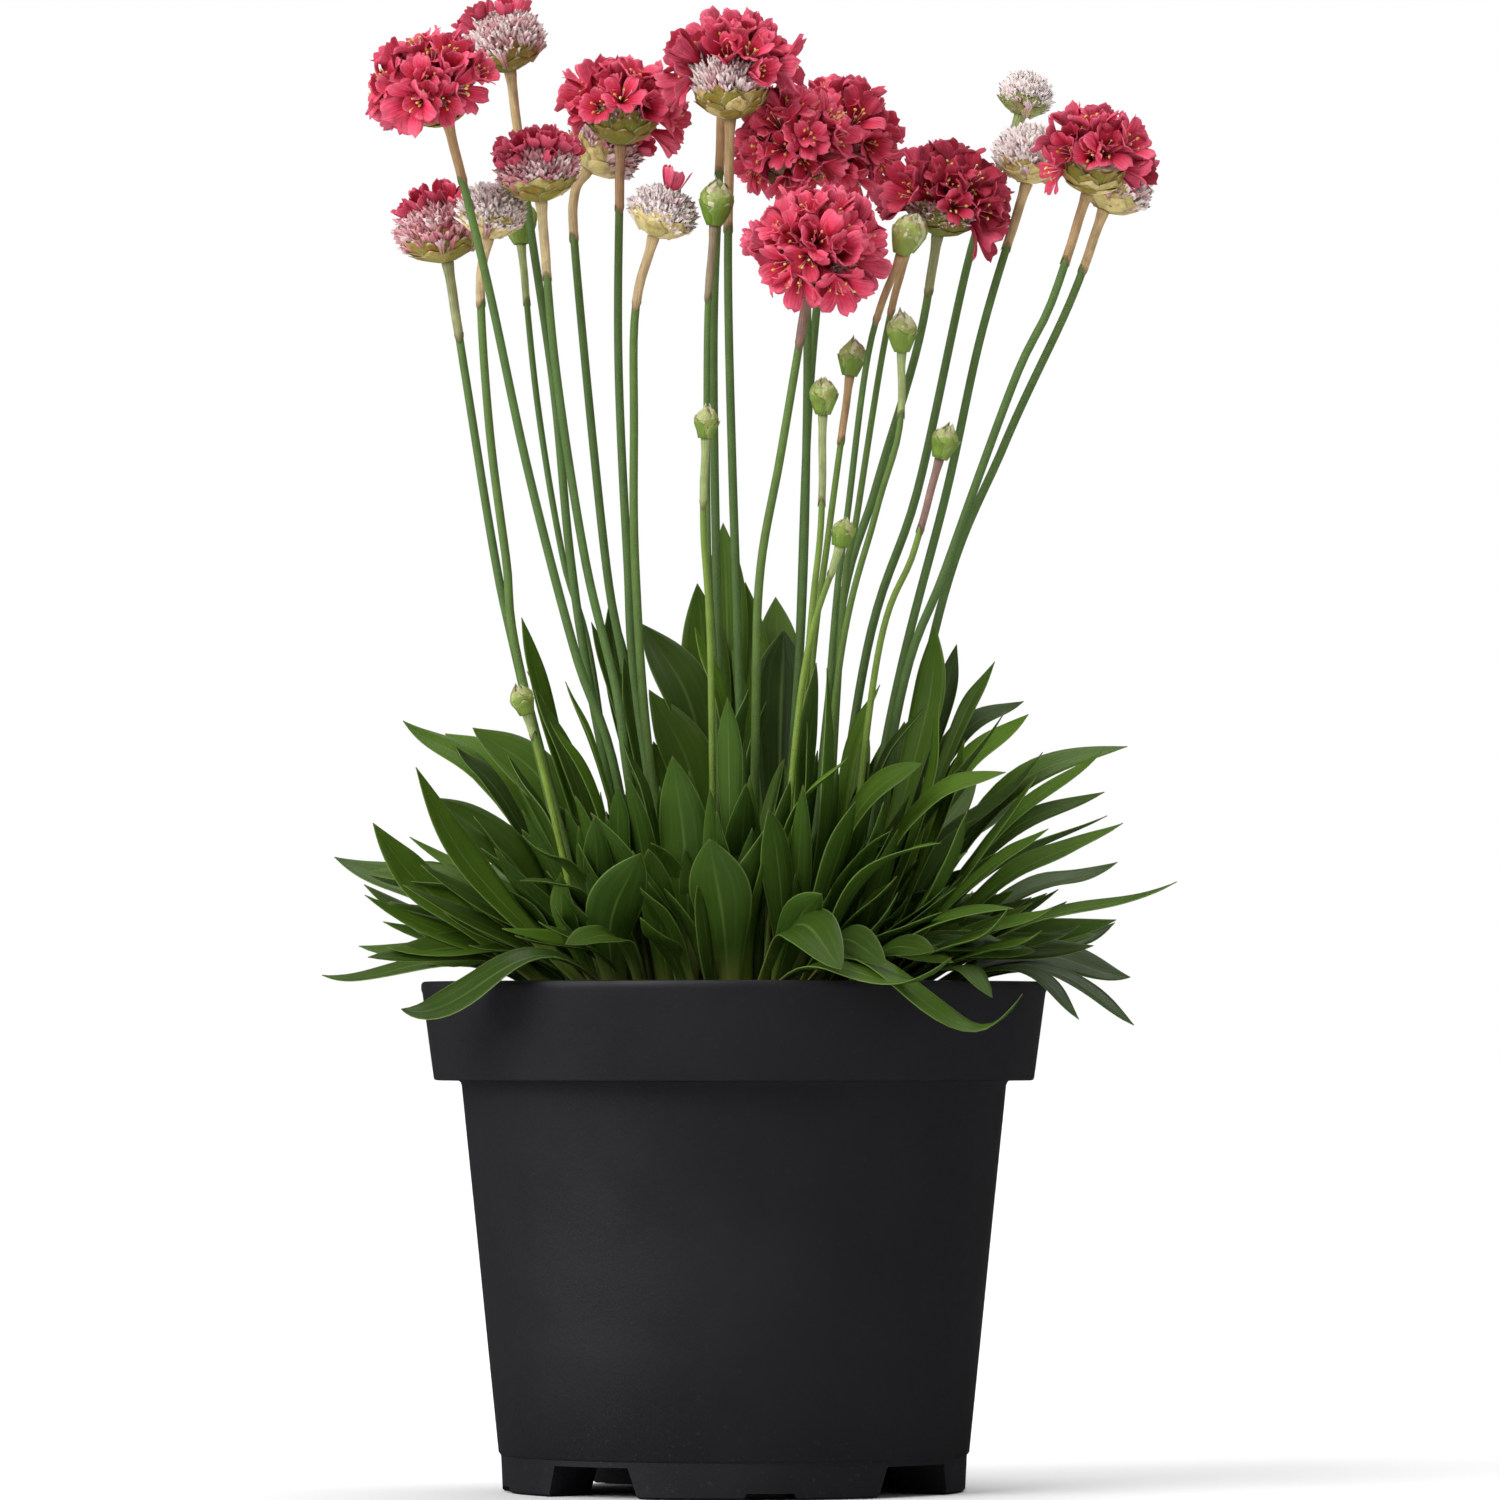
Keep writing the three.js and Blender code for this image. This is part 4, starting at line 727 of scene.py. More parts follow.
class Recipe:
    """A node tree while it is being put together."""

    def __init__(self, tree: Tree) -> None:
        """Works on a given tree."""
        self.tree = tree

    def fill(self, node: Node, inputs: dict[int | str, Source]) -> None:
        """Gives a node's inputs their values, or joins them to other nodes' outputs."""
        for socket, value in inputs.items():
            if isinstance(value, Socket):
                self.tree.links.new(value, node.inputs[socket])
            else:
                node.inputs[socket].default_value = value

    def node(self, kind: str, inputs: dict[int | str, Source] | None = None,
             **settings: object) -> Node:
        """Adds a node.

        Args:
            kind: the node's type.
            inputs: what each socket gets, a value or another node's output.
            settings: the node's own options.

        Returns:
            The node.
        """
        made = self.tree.nodes.new(kind)
        for option, value in settings.items():
            setattr(made, option, value)
        self.fill(made, inputs or {})
        return made

    def worked(self, rule: str, *terms: Source, clamp: bool = False) -> Socket:
        """The result of one Math node on its terms."""
        return self.node("ShaderNodeMath", dict(enumerate(terms)), operation=rule,
                         use_clamp=clamp).outputs[0]

    def times(self, first: Source, second: Source, clamp: bool = False) -> Socket:
        """One number times another."""
        return self.worked("MULTIPLY", first, second, clamp=clamp)

    def plus(self, first: Source, second: Source) -> Socket:
        """Two numbers added."""
        return self.worked("ADD", first, second)

    def mix(self, share: Source, first: Source, second: Source) -> Socket:
        """Two colours mixed: all first where share is 0, all second where it is 1."""
        return self.node("ShaderNodeMix", {0: share, 6: first, 7: second},
                         data_type="RGBA").outputs[2]

    def span(self, value: Source, low: float, high: float, start: float = 0.0,
             end: float = 1.0) -> Socket:
        """A soft step of a value: start at low, end at high."""
        return self.node("ShaderNodeMapRange", {0: value, 1: low, 2: high, 3: start, 4: end},
                         interpolation_type="SMOOTHSTEP").outputs[0]

    def ramp(self, value: Source, stops: Sequence[tuple[float, Colour]]) -> Socket:
        """A colour that runs through given stops as the value rises."""
        made = self.node("ShaderNodeValToRGB", {0: value})
        points = made.color_ramp.elements
        while len(points) < len(stops):
            points.new(0.5)
        for point, (place, colour) in zip(points, stops):
            point.position = place
            point.color = colour
        return made.outputs[0]

    def noise(self, scale: Source, detail: float, rough: float = 0.5,
              place: Socket | None = None) -> Socket:
        """Soft noise over the plant, or over another place that is given."""
        return self.node("ShaderNodeTexNoise", {
            "Vector": self.place() if place is None else place, "Scale": scale,
            "Detail": detail, "Roughness": rough}).outputs[0]

    def group(self, tree: Tree, **inputs: Source) -> Sequence[Socket]:
        """The outputs of a shared group, placed with this material's own values."""
        return self.node("ShaderNodeGroup", inputs, node_tree=tree).outputs

    def attribute(self, name: str) -> Socket:
        """The number that a piece carries at each point under a name."""
        return self.node("ShaderNodeAttribute", attribute_name=name).outputs["Fac"]

    def shape(self) -> tuple[Socket, Socket]:
        """The place on a form, across it and along it, 0 to 1."""
        both = self.node("ShaderNodeUVMap", uv_map="shape").outputs[0]
        parts = self.node("ShaderNodeSeparateXYZ", {0: both}).outputs
        return parts[0], parts[1]

    def from_middle(self, across: Socket) -> Socket:
        """How far a place is from a form's middle line, 0, towards its margins, 1."""
        return self.worked("ABSOLUTE", self.worked("SUBTRACT", self.times(across, 2.0), 1.0))

    def place(self) -> Socket:
        """The place on the plant, in metres."""
        return self.node("ShaderNodeTexCoord").outputs["Object"]


def new_group(name: str, takes: Sequence[str],
              gives: Sequence[str]) -> tuple[Recipe, Sequence[Socket], Node]:
    """Starts a shared node group. An input or output named Colour is one; the rest are numbers.

    Args:
        name: what the group is called.
        takes: its inputs' names.
        gives: its outputs' names.

    Returns:
        The group's recipe, what it takes, and the node that gives its results.
    """
    tree = bpy.data.node_groups.new(name, "ShaderNodeTree")
    for way, labels in (("INPUT", takes), ("OUTPUT", gives)):
        for label in labels:
            kind = "NodeSocketColor" if label == "Colour" else "NodeSocketFloat"
            tree.interface.new_socket(name=label, in_out=way, socket_type=kind)
    recipe = Recipe(tree)
    return recipe, recipe.node("NodeGroupInput").outputs, recipe.node("NodeGroupOutput")


def mottle_group() -> Tree:
    """Cloudy change over the plant: a colour made lighter and darker in soft patches."""
    recipe, taken, given = new_group("Mottle", ("Colour", "Scale", "Amount"), ("Colour", "Mask"))
    cloud = recipe.noise(taken["Scale"], 3.0, 0.6)
    gain = recipe.times(recipe.worked("SUBTRACT", cloud, 0.5), taken["Amount"])
    gain = recipe.plus(recipe.times(gain, 2.0), 1.0)
    scaled = recipe.node("ShaderNodeVectorMath", {0: taken["Colour"]}, operation="SCALE")
    recipe.fill(scaled, {"Scale": gain})
    recipe.fill(given, {"Colour": scaled.outputs[0], "Mask": cloud})
    return recipe.tree


def fibre_group() -> Tree:
    """Fine lines that run along a form, as a mask."""
    recipe, taken, given = new_group("Fibres", ("Lines", "Breaks", "Seed"), ("Mask",))
    across, along = recipe.shape()
    stretched = recipe.node("ShaderNodeCombineXYZ", {
        0: recipe.times(across, taken["Lines"]), 1: recipe.times(along, taken["Breaks"]),
        2: taken["Seed"]}).outputs[0]
    lines = recipe.noise(1.0, 2.0, place=stretched)
    recipe.fill(given, {"Mask": recipe.span(lines, 0.3, 0.7)})
    return recipe.tree


def grain_group() -> Tree:
    """Fine grain all over a surface, as a height."""
    recipe, taken, given = new_group("Grain", ("Scale", "Fine"), ("Height",))
    coarse = recipe.noise(taken["Scale"], 2.0)
    fine = recipe.times(recipe.noise(taken["Fine"], 1.0), 0.5)
    recipe.fill(given, {"Height": recipe.plus(coarse, fine)})
    return recipe.tree


@dataclass
class Effects:
    """The node groups that several finishes share."""

    mottle: Tree = field(default_factory=mottle_group)
    fibres: Tree = field(default_factory=fibre_group)
    grain: Tree = field(default_factory=grain_group)


@dataclass(frozen=True)
class Finish:
    """What every finish shares.

    clouds are the scale and the strength of its soft patches, rough is the roughness in their
    dark and in their pale parts, and bump is how strong its relief is.
    """

    name: str = "finish"
    clouds: Pair = (300.0, 0.3)
    rough: Pair = (0.5, 0.7)
    specular: float = 0.35
    bump: float = 0.2
    bump_depth: float = 0.0003

    def begun(self) -> Recipe:
        """Starts the material, which comes with its Principled shader."""
        material = bpy.data.materials.new(self.name)
        material.use_nodes = True
        return Recipe(material.node_tree)

    def patched(self, recipe: Recipe, effects: Effects, colour: Source) -> Sequence[Socket]:
        """A colour with the finish's soft patches over it, and their mask."""
        scale, amount = self.clouds
        return recipe.group(effects.mottle, Colour=colour, Scale=scale, Amount=amount)

    def closed(self, recipe: Recipe, colour: Source, mask: Source, height: Source) -> Material:
        """Joins colour, roughness and bump to the shader.

        Args:
            recipe: the material's recipe.
            colour: the base colour.
            mask: what the roughness runs with.
            height: what the bump rises by.

        Returns:
            The finished material.
        """
        raised = recipe.node("ShaderNodeBump", {
            "Strength": self.bump, "Distance": self.bump_depth, "Height": height})
        recipe.fill(recipe.tree.nodes["Principled BSDF"], {
            "Base Color": colour, "Roughness": recipe.span(mask, 0.3, 0.7, *self.rough),
            "Normal": raised.outputs[0], "Specular IOR Level": self.specular})
        return bpy.data.materials[self.name]

    def clouded(self, recipe: Recipe, effects: Effects, colour: Source,
                height: Source) -> Material:
        """Lays the soft patches over a colour and closes the material."""
        colour, mask = self.patched(recipe, effects, colour)
        return self.closed(recipe, colour, mask, height)


@dataclass(frozen=True)
class PotFinish(Finish):
    """Black moulded plastic: satin, finely grained, with dust that thickens at the foot."""

    name: str = "pot_plastic"
    clouds: Pair = (26.0, 0.16)
    rough: Pair = (0.42, 0.56)
    specular: float = 0.3
    black: Colour = paint(31, 30, 34)
    dust: Colour = paint(70, 67, 66)

    def material(self, effects: Effects) -> Material:
        """Builds the material."""
        recipe = self.begun()
        colour, mask = self.patched(recipe, effects, self.black)
        height = recipe.node("ShaderNodeSeparateXYZ", {0: recipe.place()}).outputs[2]
        low = recipe.span(height, 0.0, 0.03, 0.5, 0.0)
        speck = recipe.span(recipe.noise(900.0, 2.0), 0.62, 0.8)
        dusty = recipe.times(speck, recipe.plus(low, 0.12), clamp=True)
        grain = recipe.group(effects.grain, Scale=700.0, Fine=2400.0)[0]
        return self.closed(recipe, recipe.mix(dusty, colour, self.dust), mask, grain)


@dataclass(frozen=True)
class CompostFinish(Finish):
    """Peaty compost: dark crumbs with paler fibres and bark."""

    name: str = "compost_peat"
    clouds: Pair = (90.0, 0.5)
    rough: Pair = (0.98, 0.8)
    bump: float = 0.9
    bump_depth: float = 0.0012
    dark: Colour = paint(34, 25, 20)
    bark: Colour = paint(92, 66, 46)

    def material(self, effects: Effects) -> Material:
        """Builds the material."""
        recipe = self.begun()
        crumbs = recipe.noise(260.0, 5.0, 0.7)
        share = recipe.times(recipe.span(crumbs, 0.42, 0.72),
                             recipe.plus(recipe.attribute("tone"), 0.35), clamp=True)
        colour = self.patched(recipe, effects, recipe.mix(share, self.dark, self.bark))[0]
        return self.closed(recipe, colour, crumbs, crumbs)


@dataclass(frozen=True)
class LeafFinish(Finish):
    """Smooth leathery blades: pale ribs and margins, yellowish bases, duller undersides."""

    name: str = "leaf_blade"
    clouds: Pair = (60.0, 0.3)
    rough: Pair = (0.4, 0.56)
    specular: float = 0.2
    bump: float = 0.35
    deep: Colour = paint(38, 58, 14)
    fresh: Colour = paint(84, 118, 24)
    base: Colour = paint(140, 150, 74)
    rib: Colour = paint(116, 140, 70)
    under: Colour = paint(52, 80, 22)
    brown: Colour = paint(112, 84, 50)

    def material(self, effects: Effects) -> Material:
        """Builds the material."""
        recipe = self.begun()
        across, along = recipe.shape()
        side = recipe.from_middle(across)
        tone = recipe.attribute("tone")
        fibres = recipe.group(effects.fibres, Lines=26.0, Breaks=3.0, Seed=tone)[0]
        colour = recipe.mix(tone, self.deep, self.fresh)
        colour = recipe.mix(recipe.times(recipe.attribute("under"), 0.75), colour, self.under)
        colour = recipe.mix(recipe.span(along, 0.3, 0.02, 0.0, 0.9), colour, self.base)
        middle = recipe.times(recipe.span(side, 0.1, 0.0),
                              recipe.span(along, 0.95, 0.5, 0.08, 0.4))
        off_vein = recipe.worked("ABSOLUTE", recipe.worked("SUBTRACT", side, 0.46))
        lateral = recipe.span(off_vein, 0.08, 0.0, 0.0, 0.06)
        margin = recipe.span(side, 0.93, 1.0, 0.0, 0.75)
        for mask in (middle, lateral, margin, recipe.span(fibres, 0.0, 1.0, 0.0, 0.05)):
            colour = recipe.mix(mask, colour, self.rib)
        dead = recipe.worked("MAXIMUM", recipe.span(along, 0.985, 1.0, 0.0, 0.7),
                             recipe.span(tone, 1.05, 1.4))
        colour = recipe.mix(dead, colour, self.brown)
        grain = recipe.group(effects.grain, Scale=900.0, Fine=3000.0)[0]
        height = recipe.times(middle, -3.0)
        for relief, share in ((fibres, 0.4), (grain, 0.4), (lateral, -2.0)):
            height = recipe.plus(height, recipe.times(relief, share))
        return self.clouded(recipe, effects, colour, height)


@dataclass(frozen=True)
class StemFinish(Finish):
    """Round green stems with fine pale grains, yellower at the foot and the top."""

    name: str = "stem_skin"
    clouds: Pair = (160.0, 0.28)
    rough: Pair = (0.48, 0.62)
    bump: float = 0.5
    green: Colour = paint(84, 112, 54)
    foot: Colour = paint(98, 126, 60)
    young: Colour = paint(126, 150, 52)
    pale: Colour = paint(134, 156, 110)

    def material(self, effects: Effects) -> Material:
        """Builds the material."""
        recipe = self.begun()
        along = recipe.shape()[1]
        colour = recipe.mix(recipe.attribute("tone"), self.green, self.young)
        for low, high, share in ((0.3, 0.0, 0.5), (0.75, 1.0, 0.6)):
            colour = recipe.mix(recipe.span(along, low, high, 0.0, share), colour, self.foot)
        grains = recipe.node("ShaderNodeTexVoronoi", {
            "Vector": recipe.place(), "Scale": 1900.0}).outputs["Distance"]
        colour = recipe.mix(recipe.span(grains, 0.34, 0.1, 0.0, 0.38), colour, self.pale)
        return self.clouded(recipe, effects, colour, recipe.span(grains, 0.5, 0.1))


@dataclass(frozen=True)
class SheathFinish(Finish):
    """The dry papery sheath below a head, streaked along its length."""

    name: str = "sheath_paper"
    clouds: Pair = (300.0, 0.45)
    rough: Pair = (0.62, 0.8)
    specular: float = 0.3
    bump: float = 0.5
    cream: Colour = paint(206, 184, 138)
    tan: Colour = paint(176, 142, 100)
    mauve: Colour = paint(142, 112, 104)
    green: Colour = paint(158, 174, 112)
    dark: Colour = paint(104, 78, 58)

    def material(self, effects: Effects) -> Material:
        """Builds the material."""
        recipe = self.begun()
        along = recipe.shape()[1]
        tone = recipe.attribute("tone")
        colour = recipe.ramp(tone, ((0.0, self.cream), (0.35, self.tan), (0.62, self.mauve),
                                    (0.9, self.green)))
        fibres = recipe.group(effects.fibres, Lines=34.0, Breaks=3.0, Seed=tone)[0]
        foot = recipe.span(along, 0.07, 0.0, 0.0, 0.6)
        for mask in (recipe.span(fibres, 0.2, 1.0, 0.0, 0.3), foot):
            colour = recipe.mix(mask, colour, self.dark)
        return self.clouded(recipe, effects, colour, fibres)


@dataclass(frozen=True)
class BractFinish(Finish):
    """Scales of the cup: green through olive to cream, with brown spots and a papery edge."""

    name: str = "bract_scale"
    clouds: Pair = (350.0, 0.35)
    rough: Pair = (0.5, 0.68)
    bump: float = 0.4
    green: Colour = paint(96, 118, 36)
    olive: Colour = paint(146, 132, 50)
    cream: Colour = paint(222, 204, 138)
    tip: Colour = paint(214, 198, 168)
    spot: Colour = paint(150, 96, 40)
    rim: float = 0.85

    def material(self, effects: Effects) -> Material:
        """Builds the material."""
        recipe = self.begun()
        across, along = recipe.shape()
        tone = recipe.attribute("tone")
        colour = recipe.ramp(tone, ((0.0, self.green), (0.5, self.olive), (1.0, self.cream)))
        brown = recipe.times(recipe.span(recipe.noise(420.0, 2.0), 0.5, 0.66),
                             recipe.span(along, 0.2, 0.8, 0.0, 0.7))
        brown = recipe.times(brown, recipe.span(tone, 0.1, 0.45))
        colour = recipe.mix(brown, colour, self.spot)
        edge = recipe.worked(
            "MAXIMUM", recipe.span(recipe.from_middle(across), 0.8, 1.0, 0.0, self.rim * 0.7),
            recipe.span(along, 0.84, 1.0, 0.0, self.rim))
        colour = recipe.mix(edge, colour, self.tip)
        fibres = recipe.group(effects.fibres, Lines=16.0, Breaks=2.0, Seed=tone)[0]
        return self.clouded(recipe, effects, colour, fibres)


@dataclass(frozen=True)
class BudFinish(BractFinish):
    """Scales of a closed bud: fresh green below, then greyish green, whitish at the top."""

    name: str = "bud_scale"
    green: Colour = paint(98, 130, 32)
    olive: Colour = paint(150, 164, 84)
    cream: Colour = paint(216, 206, 178)
    tip: Colour = paint(222, 206, 186)
    spot: Colour = paint(148, 104, 84)
    rim: float = 0.4


@dataclass(frozen=True)
class PetalFinish(Finish):
    """Crimson petals: darker at their throats, partly their own colour and partly painted shade;
    paler at the rim, partly their own colour and partly a painted highlight; with fine darker
    veins.
    """

    name: str = "petal_crimson"
    clouds: Pair = (260.0, 0.55)
    rough: Pair = (0.48, 0.64)
    specular: float = 0.25
    bump: float = 0.45
    body: Colour = paint(236, 56, 94)
    # A paler edge colour: partly the petal's own, partly a painted highlight.
    rim: Colour = paint(248, 142, 168)
    # The darker colour of the veins and of the petal's foot; at the foot it is partly painted
    # shade.
    vein_and_throat_shade: Colour = paint(180, 12, 46)
    aged: Colour = paint(138, 14, 38)
    under: Colour = paint(232, 104, 134)

    def material(self, effects: Effects) -> Material:
        """Builds the material."""
        recipe = self.begun()
        across, along = recipe.shape()
        tone = recipe.attribute("tone")
        fibres = recipe.group(effects.fibres, Lines=15.0, Breaks=1.6, Seed=tone)[0]
        colour = recipe.mix(tone, self.aged, self.body)
        colour = recipe.mix(recipe.times(recipe.attribute("under"), 0.55), colour, self.under)
        # Paler towards the sides and the end: partly the petal's own paler rim, partly a painted
        # highlight.
        edge = recipe.worked(
            "MAXIMUM", recipe.span(recipe.from_middle(across), 0.2, 1.0, 0.0, 0.34),
            recipe.span(along, 0.4, 1.0, 0.0, 0.42))
        edge = recipe.times(edge, recipe.span(tone, 0.3, 0.8, 0.2, 1.0))
        colour = recipe.mix(edge, colour, self.rim)
        veins = recipe.times(recipe.span(fibres, 0.25, 0.9),
                             recipe.span(along, 1.0, 0.45, 0.22, 0.5))
        # Darker towards the petal's foot, in the floret's hollow: partly the petal's own darker
        # base, partly painted shade.
        for mask in (veins, recipe.span(along, 0.5, 0.1, 0.0, 0.9)):
            colour = recipe.mix(mask, colour, self.vein_and_throat_shade)
        return self.clouded(recipe, effects, colour, fibres)


@dataclass(frozen=True)
class CalyxFinish(Finish):
    """Papery pleated calyces: white to mauve limbs with darker ribs over brownish tubes."""

    name: str = "calyx_paper"
    clouds: Pair = (300.0, 0.3)
    rough: Pair = (0.66, 0.84)
    specular: float = 0.25
    bump: float = 0.5
    limb: Colour = paint(252, 240, 236)
    mauve: Colour = paint(212, 126, 136)
    rib: Colour = paint(168, 58, 96)
    tube: Colour = paint(150, 104, 84)
    cream: Colour = paint(224, 206, 170)

    def material(self, effects: Effects) -> Material:
        """Builds the material."""
        recipe = self.begun()
        across, along = recipe.shape()
        tone = recipe.attribute("tone")
        low = recipe.mix(tone, self.tube, self.cream)
        high = recipe.mix(tone, self.mauve, self.limb)
        pale = recipe.times(recipe.span(along, 0.66, 1.0, 0.0, 0.8),
                            recipe.span(tone, 0.0, 0.6, 0.25, 1.0))
        high = recipe.mix(pale, high, self.limb)
        colour = recipe.mix(recipe.span(along, 0.3, 0.7), low, high)
        wave = recipe.worked("COSINE", recipe.times(across, CALYX_PLEATS * TURN))
        ribs = recipe.times(recipe.span(wave, 0.35, 1.0), recipe.span(along, 1.02, 0.6, 0.2, 0.85))
        ribs = recipe.times(ribs, recipe.span(tone, 0.0, 1.0, 1.0, 0.15))
        colour = recipe.mix(ribs, colour, self.rib)
        return self.clouded(recipe, effects, colour, wave)


@dataclass(frozen=True)
class AntherFinish(Finish):
    """Anthers dusted with cream-yellow pollen."""

    name: str = "anther_pollen"
    clouds: Pair = (900.0, 0.3)
    rough: Pair = (0.7, 0.9)
    bump: float = 0.6
    pollen: Colour = paint(246, 224, 128)
    amber: Colour = paint(214, 164, 74)

    def material(self, effects: Effects) -> Material:
        """Builds the material."""
        recipe = self.begun()
        colour = recipe.mix(recipe.attribute("tone"), self.pollen, self.amber)
        grain = recipe.group(effects.grain, Scale=3000.0, Fine=8000.0)[0]
        return self.clouded(recipe, effects, colour, grain)


@dataclass
class Palette:
    """Every finished material, by what it is on."""

    pot: Material
    compost: Material
    leaf: Material
    stem: Material
    sheath: Material
    bract: Material
    bud: Material
    petal: Material
    calyx: Material
    anther: Material

    @classmethod
    def mixed(cls) -> "Palette":
        """Builds every material from the shared groups."""
        effects = Effects()
        return cls(*(finish().material(effects) for finish in (
            PotFinish, CompostFinish, LeafFinish, StemFinish, SheathFinish,
            BractFinish, BudFinish, PetalFinish, CalyxFinish, AntherFinish)))


def finished(piece: Object, slot: str, *nodes: str) -> Object:
    """Hangs a piece under the root body, hides the solids that it stands for, and logs its
    triangles.

    Args:
        piece: the finished object.
        slot: not used.
        nodes: the solids that it stands for.

    Returns:
        The piece.
    """
    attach(piece, "root")
    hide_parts(*nodes)
    faces = sum(len(face.vertices) - 2 for face in piece.data.polygons)
    log.info("%s: %d triangles", piece.name, faces)
    return piece


# The pot

@dataclass
class NurseryPot:
    """A moulded pot with a deep collar, and a foot ring that is cut into feet."""

    sides: int = 160
    channel_first: float = -38.0
    channel_width: float = 25.0
    channel_slope: float = 3.0
    notch_first: float = 9.0
    notch_width: float = 13.0
    notch_depth: float = 1.6
    notch_slope: float = 1.0
    hole_radius: float = 5.5
    hole_out: float = 52.0
    past_ring: float = 4.0

    def profile(self) -> list[Pair]:
        """The wall's outline as pairs of radius and height, from under the base to its inside."""
        top, inside = POT_HEIGHT, BASE_Z + BASE_THICKNESS
        ring, foot, body, neck, rim, lip = (
            FOOT_INNER_RADIUS, FOOT_RADIUS, BODY_FOOT_RADIUS, BODY_TOP_RADIUS, RIM_FOOT_RADIUS,
            LIP_RADIUS)
        return [
            (ring, BASE_Z), (ring + 0.9, 0.5), (ring + 1.5, 0), (foot - 0.6, 0), (foot, 0.5),
            (foot + 0.45, FOOT_HEIGHT - 0.3), (foot + 0.75, FOOT_HEIGHT),
            (body - 0.3, FOOT_HEIGHT + 0.1), (body, FOOT_HEIGHT + 0.5), (body + 3, 40),
            (body + 6, 70), (neck, RIM_FOOT_Z - 1.2), (neck + 0.3, RIM_FOOT_Z - 0.5),
            (neck + 0.9, RIM_FOOT_Z), (rim - 0.9, RIM_FOOT_Z), (rim - 0.25, RIM_FOOT_Z + 0.2),
            (rim, RIM_FOOT_Z + 0.8), (lip - 0.35, top - 3.2), (lip, top - 2.2), (lip, top - 0.9),
            (lip - 0.3, top - 0.25), (lip - 0.9, top), (lip - WALL + 0.3, top - 0.1),
            (lip - WALL, top - 0.6), (rim - WALL, RIM_FOOT_Z + WALL),
            (neck - WALL, RIM_FOOT_Z + WALL), (body - WALL, inside + 2), (body - WALL - 2, inside),
        ]

    def shell(self) -> Object:
        """Draws the wall up ring by ring from a circle, and closes it under and inside."""
        fresh_start()
        rings = self.profile()
        radius, height = rings[0]
        bpy.ops.mesh.primitive_circle_add(vertices=self.sides, radius=radius * MM,
                                          location=(0, 0, height * MM))
        pot = bpy.context.object
        bpy.ops.object.transform_apply(location=True)
        bpy.ops.object.mode_set(mode="EDIT")
        for (was, low), (now, high) in zip(rings, rings[1:]):
            bpy.ops.mesh.extrude_region_move(
                TRANSFORM_OT_translate={"value": (0, 0, (high - low) * MM)})
            bpy.ops.transform.resize(value=(now / was, now / was, 1), center_override=(0, 0, 0))
        bpy.ops.mesh.edge_face_add()
        inner = FOOT_INNER_RADIUS * MM
        select_ring(pot, lambda at: abs(math.hypot(at.x, at.y) - inner) < 1e-5)
        bpy.ops.mesh.edge_face_add()
        bpy.ops.mesh.select_all(action="SELECT")
        bpy.ops.mesh.normals_make_consistent(inside=False)
        bpy.ops.object.mode_set(mode="OBJECT")
        return pot

    def bar(self, degrees: float, width: float, height: float, slope: float) -> Object:
        """A bar with sloping sides that lies outward through the foot ring.

        Args:
            degrees: which way it lies, turned from the front.
            width: its width at its top.
            height: how high it cuts.
            slope: how much wider it is at each side of its bottom.

        Returns:
            The cutting object.
        """
        fresh_start()
        reach = FOOT_RADIUS - FOOT_INNER_RADIUS + 2 * self.past_ring
        middle = self.past_ring - FOOT_INNER_RADIUS - reach / 2
        bpy.ops.mesh.primitive_cube_add(size=1)
        bar = bpy.context.object
        bpy.ops.object.mode_set(mode="EDIT")
        bpy.ops.transform.resize(value=(width * MM, reach * MM, (height + 1) * MM),
                                 center_override=(0, 0, 0))
        bpy.ops.transform.translate(value=(0, middle * MM, (height - 1) / 2 * MM))
        select_ring(bar, lambda at: at.z < 0)
        spread = (width + 2 * slope) / width
        bpy.ops.transform.resize(value=(spread, 1, 1), center_override=(0, 0, 0))
        bpy.ops.object.mode_set(mode="OBJECT")
        return self.swung(bar, degrees)

    def drill(self, degrees: float) -> Object:
        """A drain hole's drill, through the base over a channel."""
        fresh_start()
        bpy.ops.mesh.primitive_cylinder_add(
            vertices=32, radius=self.hole_radius * MM, depth=8 * MM,
            location=(0, -self.hole_out * MM, (BASE_Z + 1) * MM))
        return self.swung(bpy.context.object, degrees)

    def swung(self, cutter: Object, degrees: float) -> Object:
        """Turns a cutter about the pot's axis and puts its place in its mesh."""
        bpy.ops.object.transform_apply(location=True, rotation=True)
        cutter.rotation_euler = (0, 0, math.radians(degrees))
        bpy.ops.object.transform_apply(rotation=True)
        return cutter

    def build(self, material: Material) -> Object:
        """Builds the pot.

        Args:
            material: its plastic.

        Returns:
            The finished piece.
        """
        pot = self.shell()
        cutters = []
        for turn in (0.0, 90.0, 180.0, 270.0):
            channel, notch = self.channel_first + turn, self.notch_first + turn
            cutters += [
                self.bar(channel, self.channel_width, BASE_Z, self.channel_slope),
                self.bar(notch, self.notch_width, self.notch_depth, self.notch_slope),
                self.drill(channel)]
        fresh_start()
        pot.select_set(True)
        bpy.context.view_layer.objects.active = pot
        for cutter in cutters:
            cut = pot.modifiers.new("Cut", "BOOLEAN")
            cut.operation = "DIFFERENCE"
            cut.object = cutter
            bpy.ops.object.modifier_apply(modifier=cut.name)
            bpy.data.objects.remove(cutter)
        bpy.ops.object.shade_smooth_by_angle(angle=math.radians(32))
        pot.name = pot.data.name = "pot_shell"
        pot.data.materials.append(material)
        return finished(pot, "pot", "pot")


# The compost

def lip_skin(height: Array | float) -> Array | float:
    """The collar's outer radius at a height."""
    return LIP_RADIUS - (POT_HEIGHT - height) * (LIP_RADIUS - RIM_FOOT_RADIUS) / (
        POT_HEIGHT - RIM_FOOT_Z)


